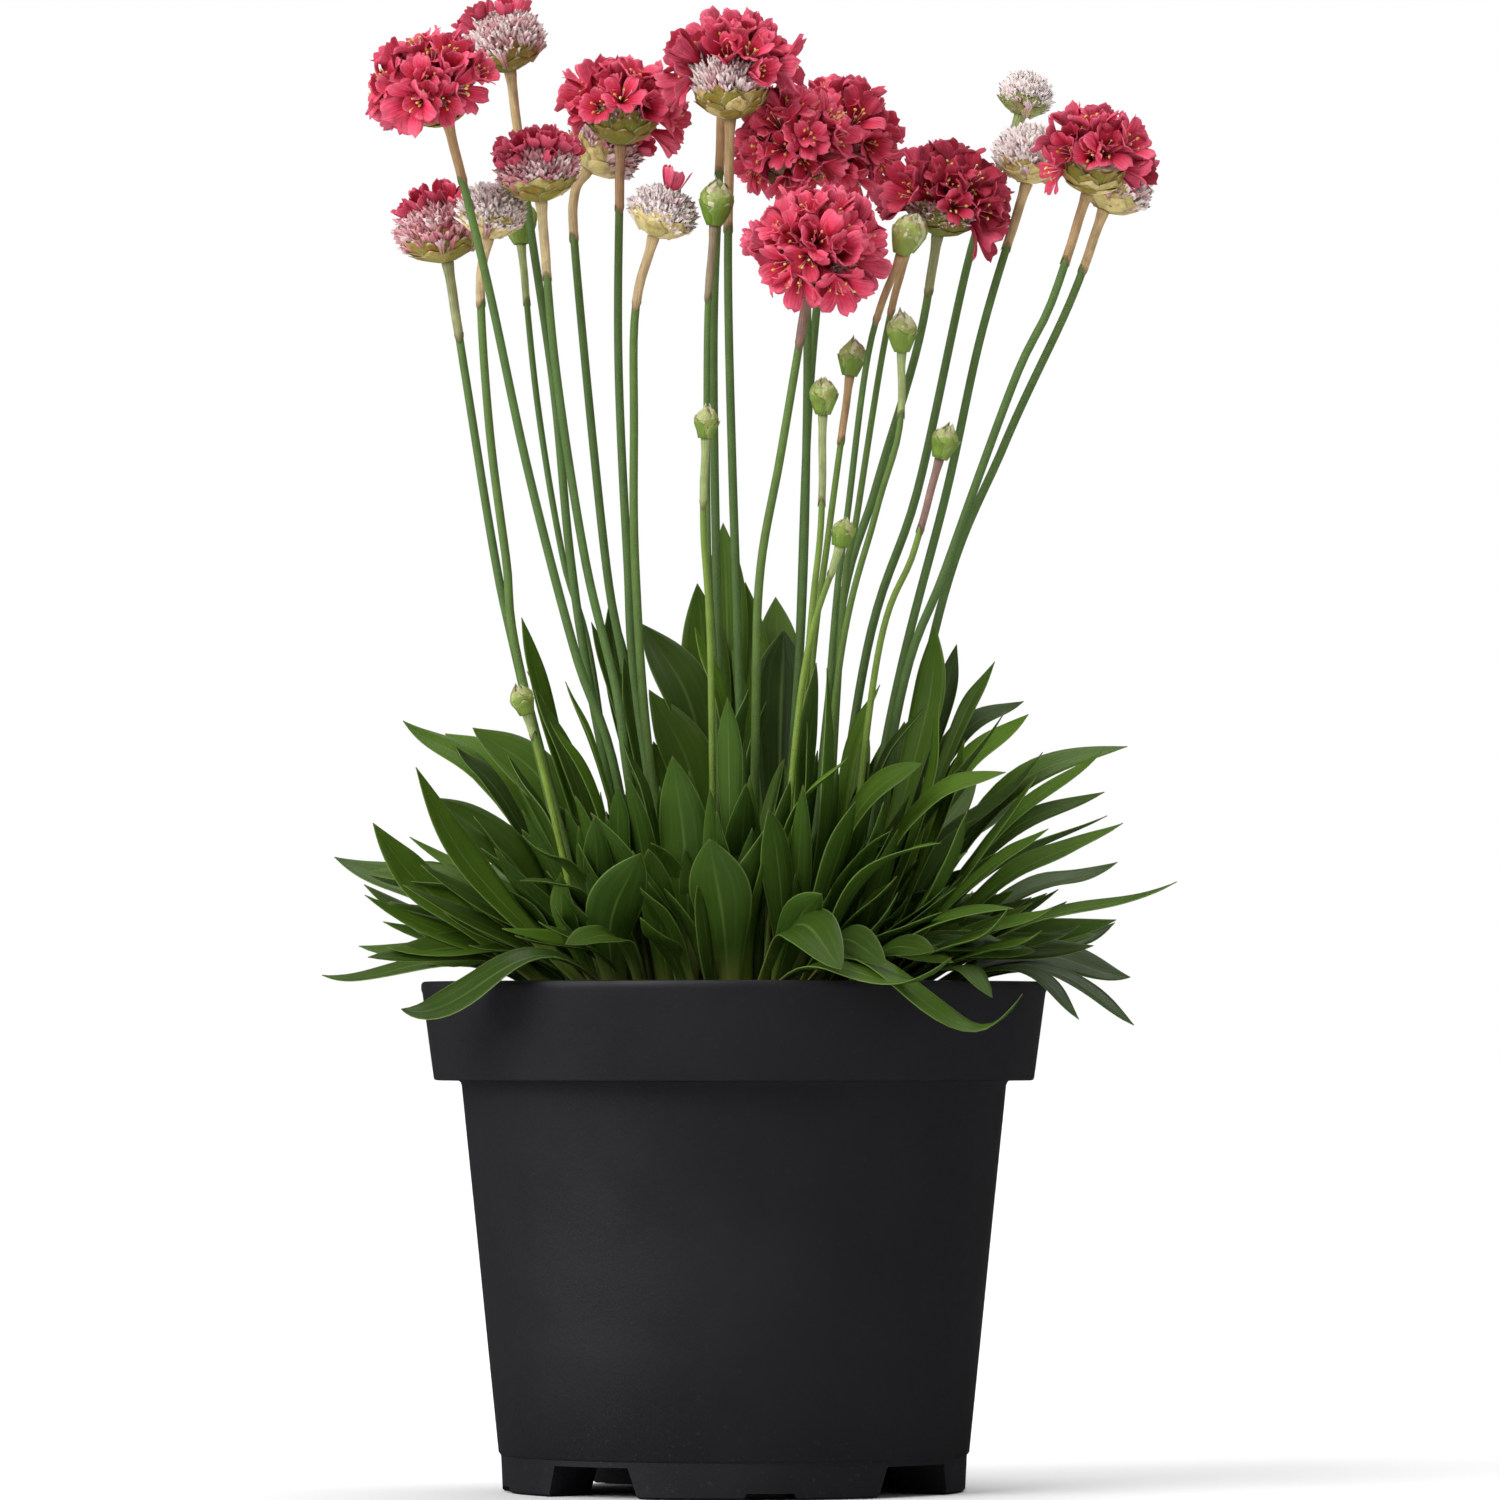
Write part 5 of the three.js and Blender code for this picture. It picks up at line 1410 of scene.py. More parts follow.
@dataclass
class Compost:
    """The filling of the pot, with a crumbled top."""

    sides: int = 96
    rings: int = 26
    crumbs: int = 900
    gap: float = 0.45
    lump: float = 1.3

    def edge(self, height: float) -> float:
        """The filling's radius inside the collar at a height."""
        return lip_skin(height) - WALL - self.gap

    def surface(self, x: Array, y: Array) -> Array:
        """The height of the crumbled top over given places."""
        out = np.hypot(x, y)
        flat = SOIL_EDGE_Z + (SOIL_TOP_Z - SOIL_EDGE_Z) * smooth(self.edge(SOIL_EDGE_Z), 55, out)
        rough = [noise.noise(Vector((a * 0.11, b * 0.11, 2.0)))
                 + 0.6 * noise.noise(Vector((a * 0.34, b * 0.34, 7.0))) for a, b in zip(x, y)]
        return flat + self.lump * np.array(rough) - 0.5

    def build(self, material: Material) -> Object:
        """Builds the filling and its crumbs.

        Args:
            material: the peat.

        Returns:
            The finished piece.
        """
        base = BASE_Z + BASE_THICKNESS + self.gap
        shelf = RIM_FOOT_Z + WALL + self.gap
        inside = WALL + self.gap
        walls = [(0.4, base), (BODY_FOOT_RADIUS - WALL - 2.5, base),
                 (BODY_FOOT_RADIUS - inside, base + 2.4), (BODY_TOP_RADIUS - inside, shelf),
                 (RIM_FOOT_RADIUS - inside, shelf)]
        top = self.edge(SOIL_EDGE_Z)
        outline = walls + [(top * math.sqrt(1 - ring / self.rings), 0.0)
                           for ring in range(self.rings)]
        form = rod_form(self.sides, len(outline) - 1)
        ring = np.rint(form.points[:, 2] * (len(outline) - 1)).astype(int)
        radius, height = np.array(outline).T
        spots = lathed(form, radius[ring], height[ring])
        on_top = ring >= len(walls)
        spots[on_top, 2] = self.surface(*spots[on_top, :2].T)
        batch = Batch()
        batch.lay(form, spots[None], spots[:, :2], 0.25)

        random = np.random.default_rng(CRUMB_SEED)
        crumb = ball_form(1)
        out = top * np.sqrt(random.uniform(0.0, 0.95, self.crumbs))
        turn = random.uniform(0, TURN, self.crumbs)
        size = random.uniform(0.5, 1.5, self.crumbs)[:, None, None]
        stretch = random.uniform(0.6, 1.7, (self.crumbs, 1, 3))
        jitter = random.uniform(0.75, 1.25, (self.crumbs, len(crumb.points), 1))
        x, y = out * np.cos(turn), out * np.sin(turn)
        centre = np.stack([x, y, self.surface(x, y) + 0.2], axis=1)
        spots = centre[:, None, :] + crumb.points[None] * jitter * size * stretch
        batch.lay(crumb, spots, np.zeros((len(crumb.points), 2)),
                  random.uniform(0, 1, self.crumbs))
        return finished(batch.piece("compost", [material]), "soil", "soil")


# Stalk lines

def stalk_line(stalk: Stalk) -> Array:
    """A stalk's points from foot to top, with the depth easing to the head's."""
    foot_x, foot_y = stalk.foot
    rise = stalk.top[1] - STALK_FOOT_Z
    line = [np.array([foot_x, foot_y, STALK_FOOT_Z])]
    for x, z in reversed(stalk.via):
        line.append(seen((x, z), foot_y + (stalk.depth - foot_y) * ((z - STALK_FOOT_Z) / rise)))
    line.append(seen(stalk.top, stalk.depth))
    return np.array(line)


def back_along(line: Array, length: float) -> tuple[Array, int]:
    """The point that lies a given length back from a line's end, with its segment's number."""
    left = length
    for i in range(len(line) - 1, 0, -1):
        span = float(np.linalg.norm(line[i] - line[i - 1]))
        if left < span:
            return line[i] + (line[i - 1] - line[i]) * (left / span), i
        left -= span
    return line[0], 1


def head_axis(line: Array, nod: Pair) -> Array:
    """The way a head faces: along its stalk's end, leaned by nod in x and y."""
    return unit(unit(line[-1] - line[-2]) + np.array([nod[0], nod[1], 0.0]))


def cup_profile(stalk: Stalk) -> list[Pair]:
    """A head's bract cup, or its closed bud, as pairs of height and radius over the stalk."""
    if stalk.bloom is Bloom.OPEN:
        return [(1.5, 5), (5, 8.6), (7, 8.8)]
    shares = ((0.08, 0.28), (0.25, 0.44), (0.36, 0.45))
    if stalk.bloom is Bloom.BUD:
        shares = ((0.35, 0.36), (0.85, 0.5), (1.25, 0.28), (1.45, 0.05))
    return [(height * stalk.size, radius * stalk.size) for height, radius in shares]


def heart_height(stalk: Stalk) -> float:
    """How far over the stalk's top the florets' common heart lies."""
    if stalk.bloom is Bloom.OPEN:
        return 10 * stalk.tall / OPEN_HEAD_HEIGHT
    return 0.45 * stalk.size


def smooth_line(line: Array, steps: int = 240) -> Array:
    """A smooth curve through a line's points, at even distances.

    Args:
        line: the points that it passes through.
        steps: how many points it gets.

    Returns:
        The curve's points.
    """
    ends = np.vstack([2 * line[0] - line[1], line, 2 * line[-1] - line[-2]])
    t = np.linspace(0, 1, 60, endpoint=False)[:, None]
    parts = []
    for before, start, end, after in zip(ends, ends[1:], ends[2:], ends[3:]):
        parts.append(0.5 * (2 * start + (end - before) * t
                            + (2 * before - 5 * start + 4 * end - after) * t ** 2
                            + (3 * start - before - 3 * end + after) * t ** 3))
    return evenly(np.vstack(parts + [line[-1:]]), steps)


def evenly(curve: Array, steps: int) -> Array:
    """A curve's points set at even distances along it."""
    spans = np.linalg.norm(np.diff(curve, axis=0), axis=1)
    done = np.concatenate([[0], np.cumsum(spans)])
    at = np.linspace(0, done[-1], steps)
    return np.stack([np.interp(at, done, curve[:, k]) for k in range(3)], axis=1)


def rod_along(form: Form, curve: Array, radii: Array,
              ripple: Array | float = 0.0) -> Array:
    """A rod's points laid along a curve.

    Args:
        form: a rod of radius 1 from z 0 to 1.
        curve: the curve's points at even distances.
        radii: the rod's radius at each of them.
        ripple: how far each of the form's points stands out further.

    Returns:
        The laid points.
    """
    at = form.points[:, 2] * (len(curve) - 1)
    steps = np.arange(len(curve))
    along = unit(np.gradient(curve, axis=0))
    middle = np.stack([np.interp(at, steps, curve[:, k]) for k in range(3)], axis=1)
    way = unit(np.stack([np.interp(at, steps, along[:, k]) for k in range(3)], axis=1))
    side = unit(np.array([1.0, 0, 0]) - way * way[:, :1])
    back = np.cross(way, side)
    radius = np.interp(at, steps, radii) + ripple
    return middle + (side * form.points[:, :1] + back * form.points[:, 1:2]) * radius[:, None]


def rod_shape(form: Form) -> Array:
    """Where each of a rod's points lies round it and along it, 0 to 1."""
    turn = np.arctan2(form.points[:, 1], form.points[:, 0]) / (2 * math.pi) + 0.5
    return np.stack([turn, form.points[:, 2]], axis=1)


# Heads

@dataclass
class Frame3:
    """A head's own space: its origin, and the matrix that turns +Z to its axis."""

    origin: Array
    turn: Array

    @classmethod
    def on(cls, origin: Array, axis: Array) -> "Frame3":
        """A space at an origin, with its Z along an axis by the shortest turn."""
        turn = Vector((0, 0, 1)).rotation_difference(Vector(axis)).to_matrix()
        return cls(origin, np.array(turn))

    def out(self, points: Array) -> Array:
        """Points of this space in the plant's."""
        return points @ self.turn.T + self.origin


@dataclass
class Forms:
    """Every form that heads are laid from."""

    petal: Form = field(default_factory=lambda: blade_form(7, 4))
    bract: Form = field(default_factory=lambda: blade_form(5, 4))
    calyx: Form = field(default_factory=lambda: rod_form(20, 2, closed=False))
    anther: Form = field(default_factory=lambda: ball_form(1))
    filament: Form = field(default_factory=lambda: rod_form(3, 2))
    core: Form = field(default_factory=lambda: ball_form(3))
    stem: Form = field(default_factory=lambda: rod_form(14, 46))
    sheath: Form = field(default_factory=lambda: rod_form(16, 14))


def lathed(form: Form, radius: Array, height: Array) -> Array:
    """A rod's points set at given radii and heights about Z."""
    x, y, _ = form.points.T
    return np.stack([x * radius, y * radius, height], axis=1)


def blade_shape(form: Form) -> tuple[Array, Array]:
    """Where each of a blade's points lies across and along it, 0 to 1, and which are under."""
    shape = np.stack([form.points[:, 1] * 0.5 + 0.5, form.points[:, 0]], axis=1)
    return shape, (form.points[:, 2] < 0).astype(float)


def dome_ways(count: int, start: float, end: float, random: Draws,
              jitter: float = 0.08) -> Array:
    """Directions spread over a dome from one polar angle to another, like a sunflower's seeds.

    Args:
        count: how many.
        start: the first polar angle, from the axis.
        end: the last polar angle.
        random: where small changes come from.
        jitter: how large they are.

    Returns:
        Unit rows of x, y, z.
    """
    share = (np.arange(count) + 0.5) / count
    height = math.cos(start) + (math.cos(end) - math.cos(start)) * share
    polar = np.arccos(np.clip(height, -1, 1)) + random.normal(0, jitter, count)
    turn = np.arange(count) * GOLDEN_ANGLE + random.normal(0, jitter, count)
    turn += random.uniform(0, 2 * math.pi)
    flat = np.sin(polar)
    return np.stack([flat * np.cos(turn), flat * np.sin(turn), np.cos(polar)], axis=1)


def polar_angle(ways: Array) -> Array:
    """How far each unit row leans off +Z, in radians."""
    return np.arccos(np.clip(ways[:, 2], -1, 1))


def side_axes(ways: Array, spin: Array) -> tuple[Array, Array]:
    """Two unit rows square to each way, turned about it by spin."""
    flat = np.where(np.abs(ways[:, 2:3]) > 0.97, [[1.0, 0, 0]], [[0, 0, 1.0]])
    first = unit(np.cross(flat, ways))
    first = turned(first, ways, spin)
    return first, np.cross(ways, first)


@dataclass
class Florets:
    """Florets of one head: where each stands, which way it looks and how open it is.

    opening is how far a petal leans out at its tip and first how far at its foot, in radians.
    width is a petal's half width where its length is PETAL_LENGTH.
    """

    base: Array
    way: Array
    opening: Array
    length: Array
    tone: Array
    random: Draws
    width: float = 1.95
    first: float = 0.16

    def petals(self, form: Form, batch: Batch, space: Frame3, finish: int) -> None:
        """Lays five petals for each floret, each with its own lean, size, hollow and crinkle.

        Args:
            form: the petal's form.
            batch: what they are added to.
            space: the head's space.
            finish: the petals' material number.
        """
        random = self.random
        count = len(self.base) * FLORET_PARTS
        base, way, opening, length, tone = (np.repeat(values, FLORET_PARTS, axis=0) for values in (
            self.base, self.way, self.opening, self.length, self.tone))
        first_turn = random.uniform(0, TURN, len(self.base))
        spin = (first_turn[:, None] + ring_angles(FLORET_PARTS)).ravel()
        out, tangent = side_axes(way, spin + random.normal(0, 0.09, count))
        opening = np.clip(opening + random.normal(0, 0.13, count), None, PETAL_MOST_OPEN)
        opening = np.where(np.abs(opening - self.first) < PETAL_LEAST_BEND,
                           self.first + PETAL_LEAST_BEND, opening)[:, None]
        half = self.width * length / PETAL_LENGTH
        length = (length * random.normal(1, 0.06, count))[:, None]
        half = (half * random.normal(1, 0.08, count))[:, None]

        # The petal's line: it leans out further and further as it rises
        s, side, face = form.points.T
        s = 1 - (1 - s) ** 1.25
        bend = opening - self.first
        lean = self.first + bend * s
        radial = PETAL_THROAT + length / bend * (math.cos(self.first) - np.cos(lean))
        rise = length / bend * (np.sin(lean) - math.sin(self.first))

        # Its width: a narrow claw, then a broad end that is rounded off
        claw = 0.28 + 0.76 * smooth(0.0, PETAL_WIDEST, s)
        past = np.clip(1 - ((s - PETAL_WIDEST) / 0.29 * (s > PETAL_WIDEST)) ** 2.4, 0.05, 1)
        wide = half * claw * np.sqrt(past)

        # Its end, cut back at the corners and in a shallow notch, and a little ragged
        phase = random.uniform(0, TURN, (count, 1))
        short = length * s ** 6 * (0.07 * np.abs(side) ** 3 + 0.06 * np.exp(-(side / 0.3) ** 2)
                                   + 0.03 * np.sin(9 * side + phase))

        # Its hollow and its crinkle, square to the line, and its two faces
        crinkle = random.uniform(0.1, 0.4, (count, 1)) * np.clip(opening, 0.3, 1)
        hollow = random.normal(0.16, 0.12, (count, 1))
        lift = wide * (hollow * side ** 2 + crinkle * s ** 2 * np.sin(2.6 * side + phase)
                       + 0.1 * s ** 3 * np.sin(7 * side + 2 * phase))
        lift = lift + PETAL_HALF_THICKNESS * face * (1 - 0.6 * side ** 2)
        radial = radial - short * np.sin(lean) - lift * np.cos(lean)
        rise = rise - short * np.cos(lean) + lift * np.sin(lean)
        sway = random.normal(0, 0.35, (count, 1)) * s ** 2
        local = reached(base, (out, radial), (way, rise), (tangent, side * wide + sway))
        shape, under = blade_shape(form)
        tone = np.clip(tone + random.normal(0, 0.13, count), 0, 1)
        batch.lay(form, space.out(local), shape, tone, finish, under)

    def stamens(self, forms: Forms, batch: Batch, space: Frame3, finish: int, pale: int,
                shown: Array) -> None:
        """Lays five anthers, each on a thread, in the throats of some florets.

        Args:
            forms: the head's forms.
            batch: what they are added to.
            space: the head's space.
            finish: the anthers' material number.
            pale: the threads' material number.
            shown: which florets show theirs.
        """
        count = int(shown.sum()) * FLORET_PARTS
        if not count:
            return
        random = self.random
        root, way, length = (np.repeat(values[shown], FLORET_PARTS, axis=0) for values in (
            self.base, self.way, self.length))
        spin = np.tile(ring_angles(FLORET_PARTS), count // FLORET_PARTS)
        out, tangent = side_axes(way, spin + random.normal(0, 0.25, count))
        lean = random.uniform(1.0, 2.6, (count, 1))
        tip = root + way * length[:, None] * random.uniform(0.5, 0.72, (count, 1)) + out * lean
        x, y, z = forms.filament.points.T
        bottom = root + way * 0.8 + out * 0.3
        local = reached(bottom, (tip - bottom, z), (out, x * THREAD_RADIUS),
                        (tangent, y * THREAD_RADIUS))
        batch.lay(forms.filament, space.out(local), rod_shape(forms.filament), 1.0, pale)
        x, y, z = forms.anther.points.T
        long = turned(out, tangent, random.uniform(-1.2, 1.2, count))
        local = reached(tip, (long, x * ANTHER_HALF_LENGTH), (way, y * ANTHER_RADIUS),
                        (tangent, z * ANTHER_RADIUS))
        batch.lay(forms.anther, space.out(local), np.zeros((len(x), 2)),
                  random.uniform(0, 1, count), finish)


@dataclass
class FlowerStalk:
    """A stalk with its sheath and bracts, and the petals and calyces on it."""

    stalk: Stalk
    forms: Forms
    palette: Palette
    seed: int

    def __post_init__(self) -> None:
        """Works out the line, the head's space and the run of small changes."""
        self.bud = self.stalk.bloom is Bloom.BUD
        self.line = stalk_line(self.stalk)
        axis = head_axis(self.line, self.stalk.nod)
        self.base = Frame3.on(self.line[-1], axis)
        rise = heart_height(self.stalk) - self.stalk.sink
        self.heart = Frame3.on(self.line[-1] + axis * rise, axis)
        self.random = np.random.default_rng(STALK_SEED + self.seed)

    def stem(self, batch: Batch) -> None:
        """Lays the stem, and over its upper end the sheath with its flared top and ragged foot."""
        stalk, forms = self.stalk, self.forms
        curve = smooth_line(self.line)
        share = np.clip((curve[:, 2] - STALK_FOOT_Z) / (curve[-1, 2] - STALK_FOOT_Z), 0, 1)
        slim, mouth = (0.66, 1.35) if self.bud else (0.86, 1.75)
        radii = (STALK_RADIUS + (STALK_TIP_RADIUS - STALK_RADIUS) * share) * slim
        low = (330 - stalk.top[1]) / 90
        young = np.clip(low + 0.35 * (self.seed * GOLDEN_SHARE % 1) - 0.05, 0, 1)
        batch.lay(forms.stem, rod_along(forms.stem, curve, radii)[None], rod_shape(forms.stem),
                  young, 0)
        length = float(np.sum(np.linalg.norm(np.diff(curve, axis=0), axis=1)))
        upper = evenly(curve[max(0, int(len(curve) * (1 - stalk.sheath / length))):], 60)
        along = np.linspace(0, 1, 60)
        tip = slim * STALK_TIP_RADIUS
        flare = smooth(stalk.sheath - 5.5, stalk.sheath, along * stalk.sheath) ** 1.6
        radii = tip + 0.14 + 0.1 * along + (mouth - tip - 0.24) * flare \
            + 0.1 * (1 - smooth(0.0, 0.08, along))
        x, y, z = forms.sheath.points.T
        turn = np.arctan2(y, x)
        wrinkle = 0.04 * np.sin(3 * turn + 9 * z + self.seed) + 0.02 * np.sin(5 * turn)
        ragged = (z < 0.01) * (1.4 * np.sin(turn * 2 + self.seed) - 0.4)
        laid = rod_along(forms.sheath, upper, radii, wrinkle)
        laid = laid + unit(upper[1] - upper[0]) * ragged[:, None]
        batch.lay(forms.sheath, laid[None], rod_shape(forms.sheath), stalk.tint, 1)

    def bracts(self, batch: Batch) -> None:
        """Lays the cup's core and its rows of scales, or those of a bud."""
        stalk, form, size = self.stalk, self.forms.sheath, self.stalk.size
        profile = [(0.0, SHEATH_RADIUS - 0.1), *cup_profile(stalk)]
        if stalk.bloom is Bloom.OPEN:
            rows = [(7, 0.0, 4.2, 0.9), (9, 0.8, 6.6, 0.7), (10, 2.6, 8.4, 0.5),
                    (11, 4.6, 9.8, 0.25)]
            profile.append((9.6, 9.4))
        elif self.bud:
            rows = [(3, -0.02 * size, 0.8 * size, 0.42), (3, 0.12 * size, 1.12 * size, 0.24),
                    (4, 0.3 * size, 1.32 * size, 0.08), (5, 0.5 * size, 1.44 * size, -0.08)]
            smoothed = smooth_line(np.array([(*pair, 0.0) for pair in profile]), 40)
            profile = [(height, radius) for height, radius, _ in smoothed]
        else:
            top = stalk.cover * size
            rows = [(6, 0.0, 0.46 * top, 0.8), (7, 0.08 * top, 0.7 * top, 0.6),
                    (8, 0.24 * top, 0.84 * top, 0.4), (8, 0.4 * top, 0.94 * top, 0.1)]
            profile += [(0.45 * size - stalk.sink, 0.43 * size),
                        (0.5 * size - stalk.sink, 0.38 * size)]
        core = [(height, max(radius - 0.35, 0.04)) for height, radius in profile]
        height = form.points[:, 2] * core[-1][0]
        local = lathed(form, np.interp(height, *np.array(core).T), height)
        batch.lay(form, self.base.out(local)[None], rod_shape(form), stalk.cup, 2)
        for number, row in enumerate(rows):
            self.scales(batch, np.array(profile), row, number)

    def scales(self, batch: Batch, profile: Array, row: tuple[int, float, float, float],
               number: int) -> None:
        """Lays one row of overlapping scales on a cup or a bud.

        Args:
            batch: what they are added to.
            profile: the cup as rows of height and radius.
            row: the number of scales, their lowest and highest height, and their stand-off.
            number: which row it is, from below; a bud's rows get creamier, a cup's greener.
        """
        random, form = self.random, self.forms.bract
        flick, fade, blotch = (0.12, 0.22, 0.05) if self.bud else (1.0, -0.04, 0.12)
        count, low, high, stand = row
        s, side, face = form.points.T
        turn = (np.arange(count) + random.uniform(0, 1)) * TURN / count
        turn = (turn + random.normal(0, 0.12, count))[:, None]
        reach = (high - low) * random.normal(1, 0.1, (count, 1))
        bow = np.sqrt(np.clip(1 - s ** 2.6, 0.02, 1)) * (0.8 + 0.2 * smooth(0, 0.4, s))
        height = low + reach * s - 0.12 * reach * side ** 2 * s ** 2
        radius = np.interp(height, *profile.T) + stand * s ** 0.5
        radius = radius + 0.5 * flick * s ** 4 * random.uniform(0.0, 2.0, (count, 1))
        radius = radius + 0.3 * (1 - side ** 2) + 0.12 * face
        angle = turn + side * bow * 1.35 * math.pi / count * random.normal(1, 0.12, (count, 1))
        local = np.stack([radius * np.cos(angle), radius * np.sin(angle), height], axis=-1)
        shape, under = blade_shape(form)
        shade = self.stalk.cup + random.normal(0, blotch, count) + fade * number
        batch.lay(form, self.base.out(local), shape, np.clip(shade, 0, 1), 2, under)

    def calyces(self, batch: Batch, base: Array, way: Array, length: Array, mouth: Array,
                finish: int) -> None:
        """Lays pleated calyces on the head.

        Args:
            batch: what they are added to.
            base: where each starts.
            way: which way each looks.
            length: how long each is.
            mouth: the radius of each one's mouth.
            finish: their material number.
        """
        random, form = self.random, self.forms.calyx
        count = len(base)
        x, y, h = form.points.T
        angle = np.arctan2(y, x)
        out, tangent = side_axes(way, random.uniform(0, TURN, count))
        squash = 1 + random.uniform(-0.22, 0.22, (count, 1)) * np.cos(2 * angle) * h
        flare = (0.5 + 0.5 * h ** 1.4) * (1 + 0.24 * h * np.cos(CALYX_PLEATS * angle))
        radius = mouth[:, None] * flare * squash + (np.hypot(x, y) - 1) * 0.9
        teeth = 0.13 * h ** 4 * np.cos(FLORET_PARTS * angle) \
            + 0.05 * h ** 4 * random.normal(0, 1, (count, len(h)))
        rise = length[:, None] * (h + teeth)
        local = reached(base, (way, rise), (out, radius * np.cos(angle)),
                        (tangent, radius * np.sin(angle)))
        tone = np.clip(self.stalk.pale + random.normal(0, 0.2, count), 0, 1)
        batch.lay(form, self.heart.out(local), rod_shape(form), tone, finish)

    def core(self, batch: Batch, size: Array | float, sink: float, along: float,
             tone: float) -> None:
        """Lays the ball that fills the middle of the head.

        Args:
            batch: what it is added to.
            size: its radius, or its three half widths.
            sink: how far it lies under the heart.
            along: its place on a form's length, which picks its colour.
            tone: its tone.
        """
        ball = self.forms.core.points * size - upward(sink)
        batch.lay(self.forms.core, self.heart.out(ball)[None], np.full((len(ball), 2), along),
                  tone, 0)

    def open_head(self, batch: Batch) -> None:
        """Lays a full head of open florets over its calyces."""
        stalk, random, forms = self.stalk, self.random, self.forms
        scale, reach = stalk.size / USUAL_HEAD, stalk.size / 2 - 1.1
        shell = np.array([1, 1, stalk.tall])
        ways = dome_ways(round(15 * (1 - math.cos(stalk.low)) + 16), 0.0, stalk.low, random)

        # A head whose front is bare shows its calyces there
        showy = stalk.bare < SHOWY_CALYCES
        forward = self.heart.origin[1] - self.heart.out(ways)[:, 1]
        limit = MOST_BARE - (MOST_BARE - stalk.bare) * smooth(0.1, 0.6, forward - 0.35 * showy)
        ways = ways[polar_angle(ways) < limit]
        count = len(ways)
        length = np.full(count, OPEN_PETAL) * random.normal(1, 0.09, count) * scale
        base = ways * shell * (reach - 9.0 * scale) + random.normal(0, 0.9, (count, 3))
        look = unit(ways / np.array([1, 1, 0.9]) + random.normal(0, 0.17, (count, 3)))
        look = unit(look + upward(-0.22) * smooth(1.1, 1.7, polar_angle(ways))[:, None])
        opening = random.normal(1.08, 0.28, count)
        shut = random.uniform(0, 1, count) < SHUT_SHARE
        opening = np.where(shut, random.uniform(0.3, 0.6, count), opening)
        tone = np.clip(random.normal(stalk.fresh, 0.16, count) - 0.3 * shut, 0, 1)
        florets = Florets(base, look, opening, length, tone, random)
        florets.petals(forms.petal, batch, self.heart, 0)
        florets.stamens(forms, batch, self.heart, 1, 2, ~shut)

        number, highest, upright = (90, 0.9, 1.4) if showy else (34, 1.2, 0.6)
        low = dome_ways(number, highest, 1.8, random)
        way = unit(low + upward(upright))
        root = low * shell * (reach - 7.6) - way * 6.0
        self.calyces(batch, root, way, np.full(number, CALYX_LENGTH),
                     np.full(number, CALYX_MOUTH), 3)
        self.core(batch, shell * (reach - 10.5), 0.0, 0.3, 0.0)

    def calyx_head(self, batch: Batch, start: float, count: int) -> None:
        """Lays calyces over a head from one polar angle down.

        Args:
            batch: what they are added to.
            start: the polar angle that they start from.
            count: how many.
        """
        random, reach, flat = self.random, self.stalk.size / 2, self.flat()
        ways = dome_ways(count, start, 1.95, random)
        length = np.full(count, min(5.8, reach * 0.7)) * random.normal(1, 0.09, count)
        look = unit(ways * flat + upward(1.35) + random.normal(0, 0.1, (count, 3)))
        base = ways * flat * (reach - 0.5) * random.normal(1, 0.02, (count, 1)) \
            - look * length[:, None]
        mouth = np.full(count, min(1.75, reach * 0.22)) * random.normal(1, 0.14, count)
        self.calyces(batch, base, look, length, mouth, 0)
        self.core(batch, flat * (reach * 0.86), 0.6, 0.6, self.stalk.pale)

    def flat(self) -> Array:
        """How a fading head's ball is squashed along its axis."""
        low = {Bloom.HALF: 0.66, Bloom.TUFT: 0.72, Bloom.SPENT: 0.84, Bloom.OPENING: 0.95}
        return np.array([1, 1, low[self.stalk.bloom]])

    def fading_petals(self, batch: Batch, finish: int) -> None:
        """Lays the florets that are left on a fading head, most of them shut like small tulips.

        Args:
            batch: what they are added to.
            finish: their material number.
        """
        left = np.array(CROWNS[self.stalk.label])
        random, flat = self.random, self.flat()
        to_view = unit(left[:, :3]) @ self.heart.turn
        base = to_view * flat * (self.stalk.size / 2 - 3.8)
        look = unit(to_view * flat + self.heart.turn[2] * 0.35)
        larger = 1.06 if self.stalk.bloom is Bloom.TUFT else 1.0
        is_open = left[:, 3] >= 0.45
        for first, keep in ((0.5, ~is_open), (0.3, is_open)):
            if keep.any():
                length = random.normal(FADING_PETAL, 0.4, keep.sum()) * larger
                Florets(base[keep], look[keep], left[keep, 3], length, left[keep, 4] * 0.8, random,
                        width=2.1, first=first).petals(self.forms.petal, batch, self.heart, finish)

    def head(self) -> None:
        """Builds the head's pieces by how far it has come."""
        bloom, label, palette = self.stalk.bloom, self.stalk.label, self.palette
        petals, calyces = Batch(), Batch()
        if bloom is Bloom.OPEN:
            self.open_head(petals)
            piece = petals.piece(f"petals_{label}", [palette.petal, palette.anther,
                                                     palette.calyx, palette.calyx])
            finished(piece, "petal", f"florets_{label}")
            return
        if bloom in (Bloom.HALF, Bloom.TUFT):
            self.calyx_head(calyces, 0.2, FADING_CALYCES)
            self.fading_petals(petals, 0)
            piece = petals.piece(f"petals_{label}", [palette.petal])
            finished(piece, "petal", f"florets_{label}")
        else:
            opening = bloom is Bloom.OPENING
            self.calyx_head(calyces, 0.0, OPENING_CALYCES if opening else FADING_CALYCES)
            if label in CROWNS:
                self.fading_petals(calyces, 1)
        piece = calyces.piece(f"papery_calyces_{label}", [palette.calyx, palette.petal])
        finished(piece, "calyx", f"calyces_{label}")

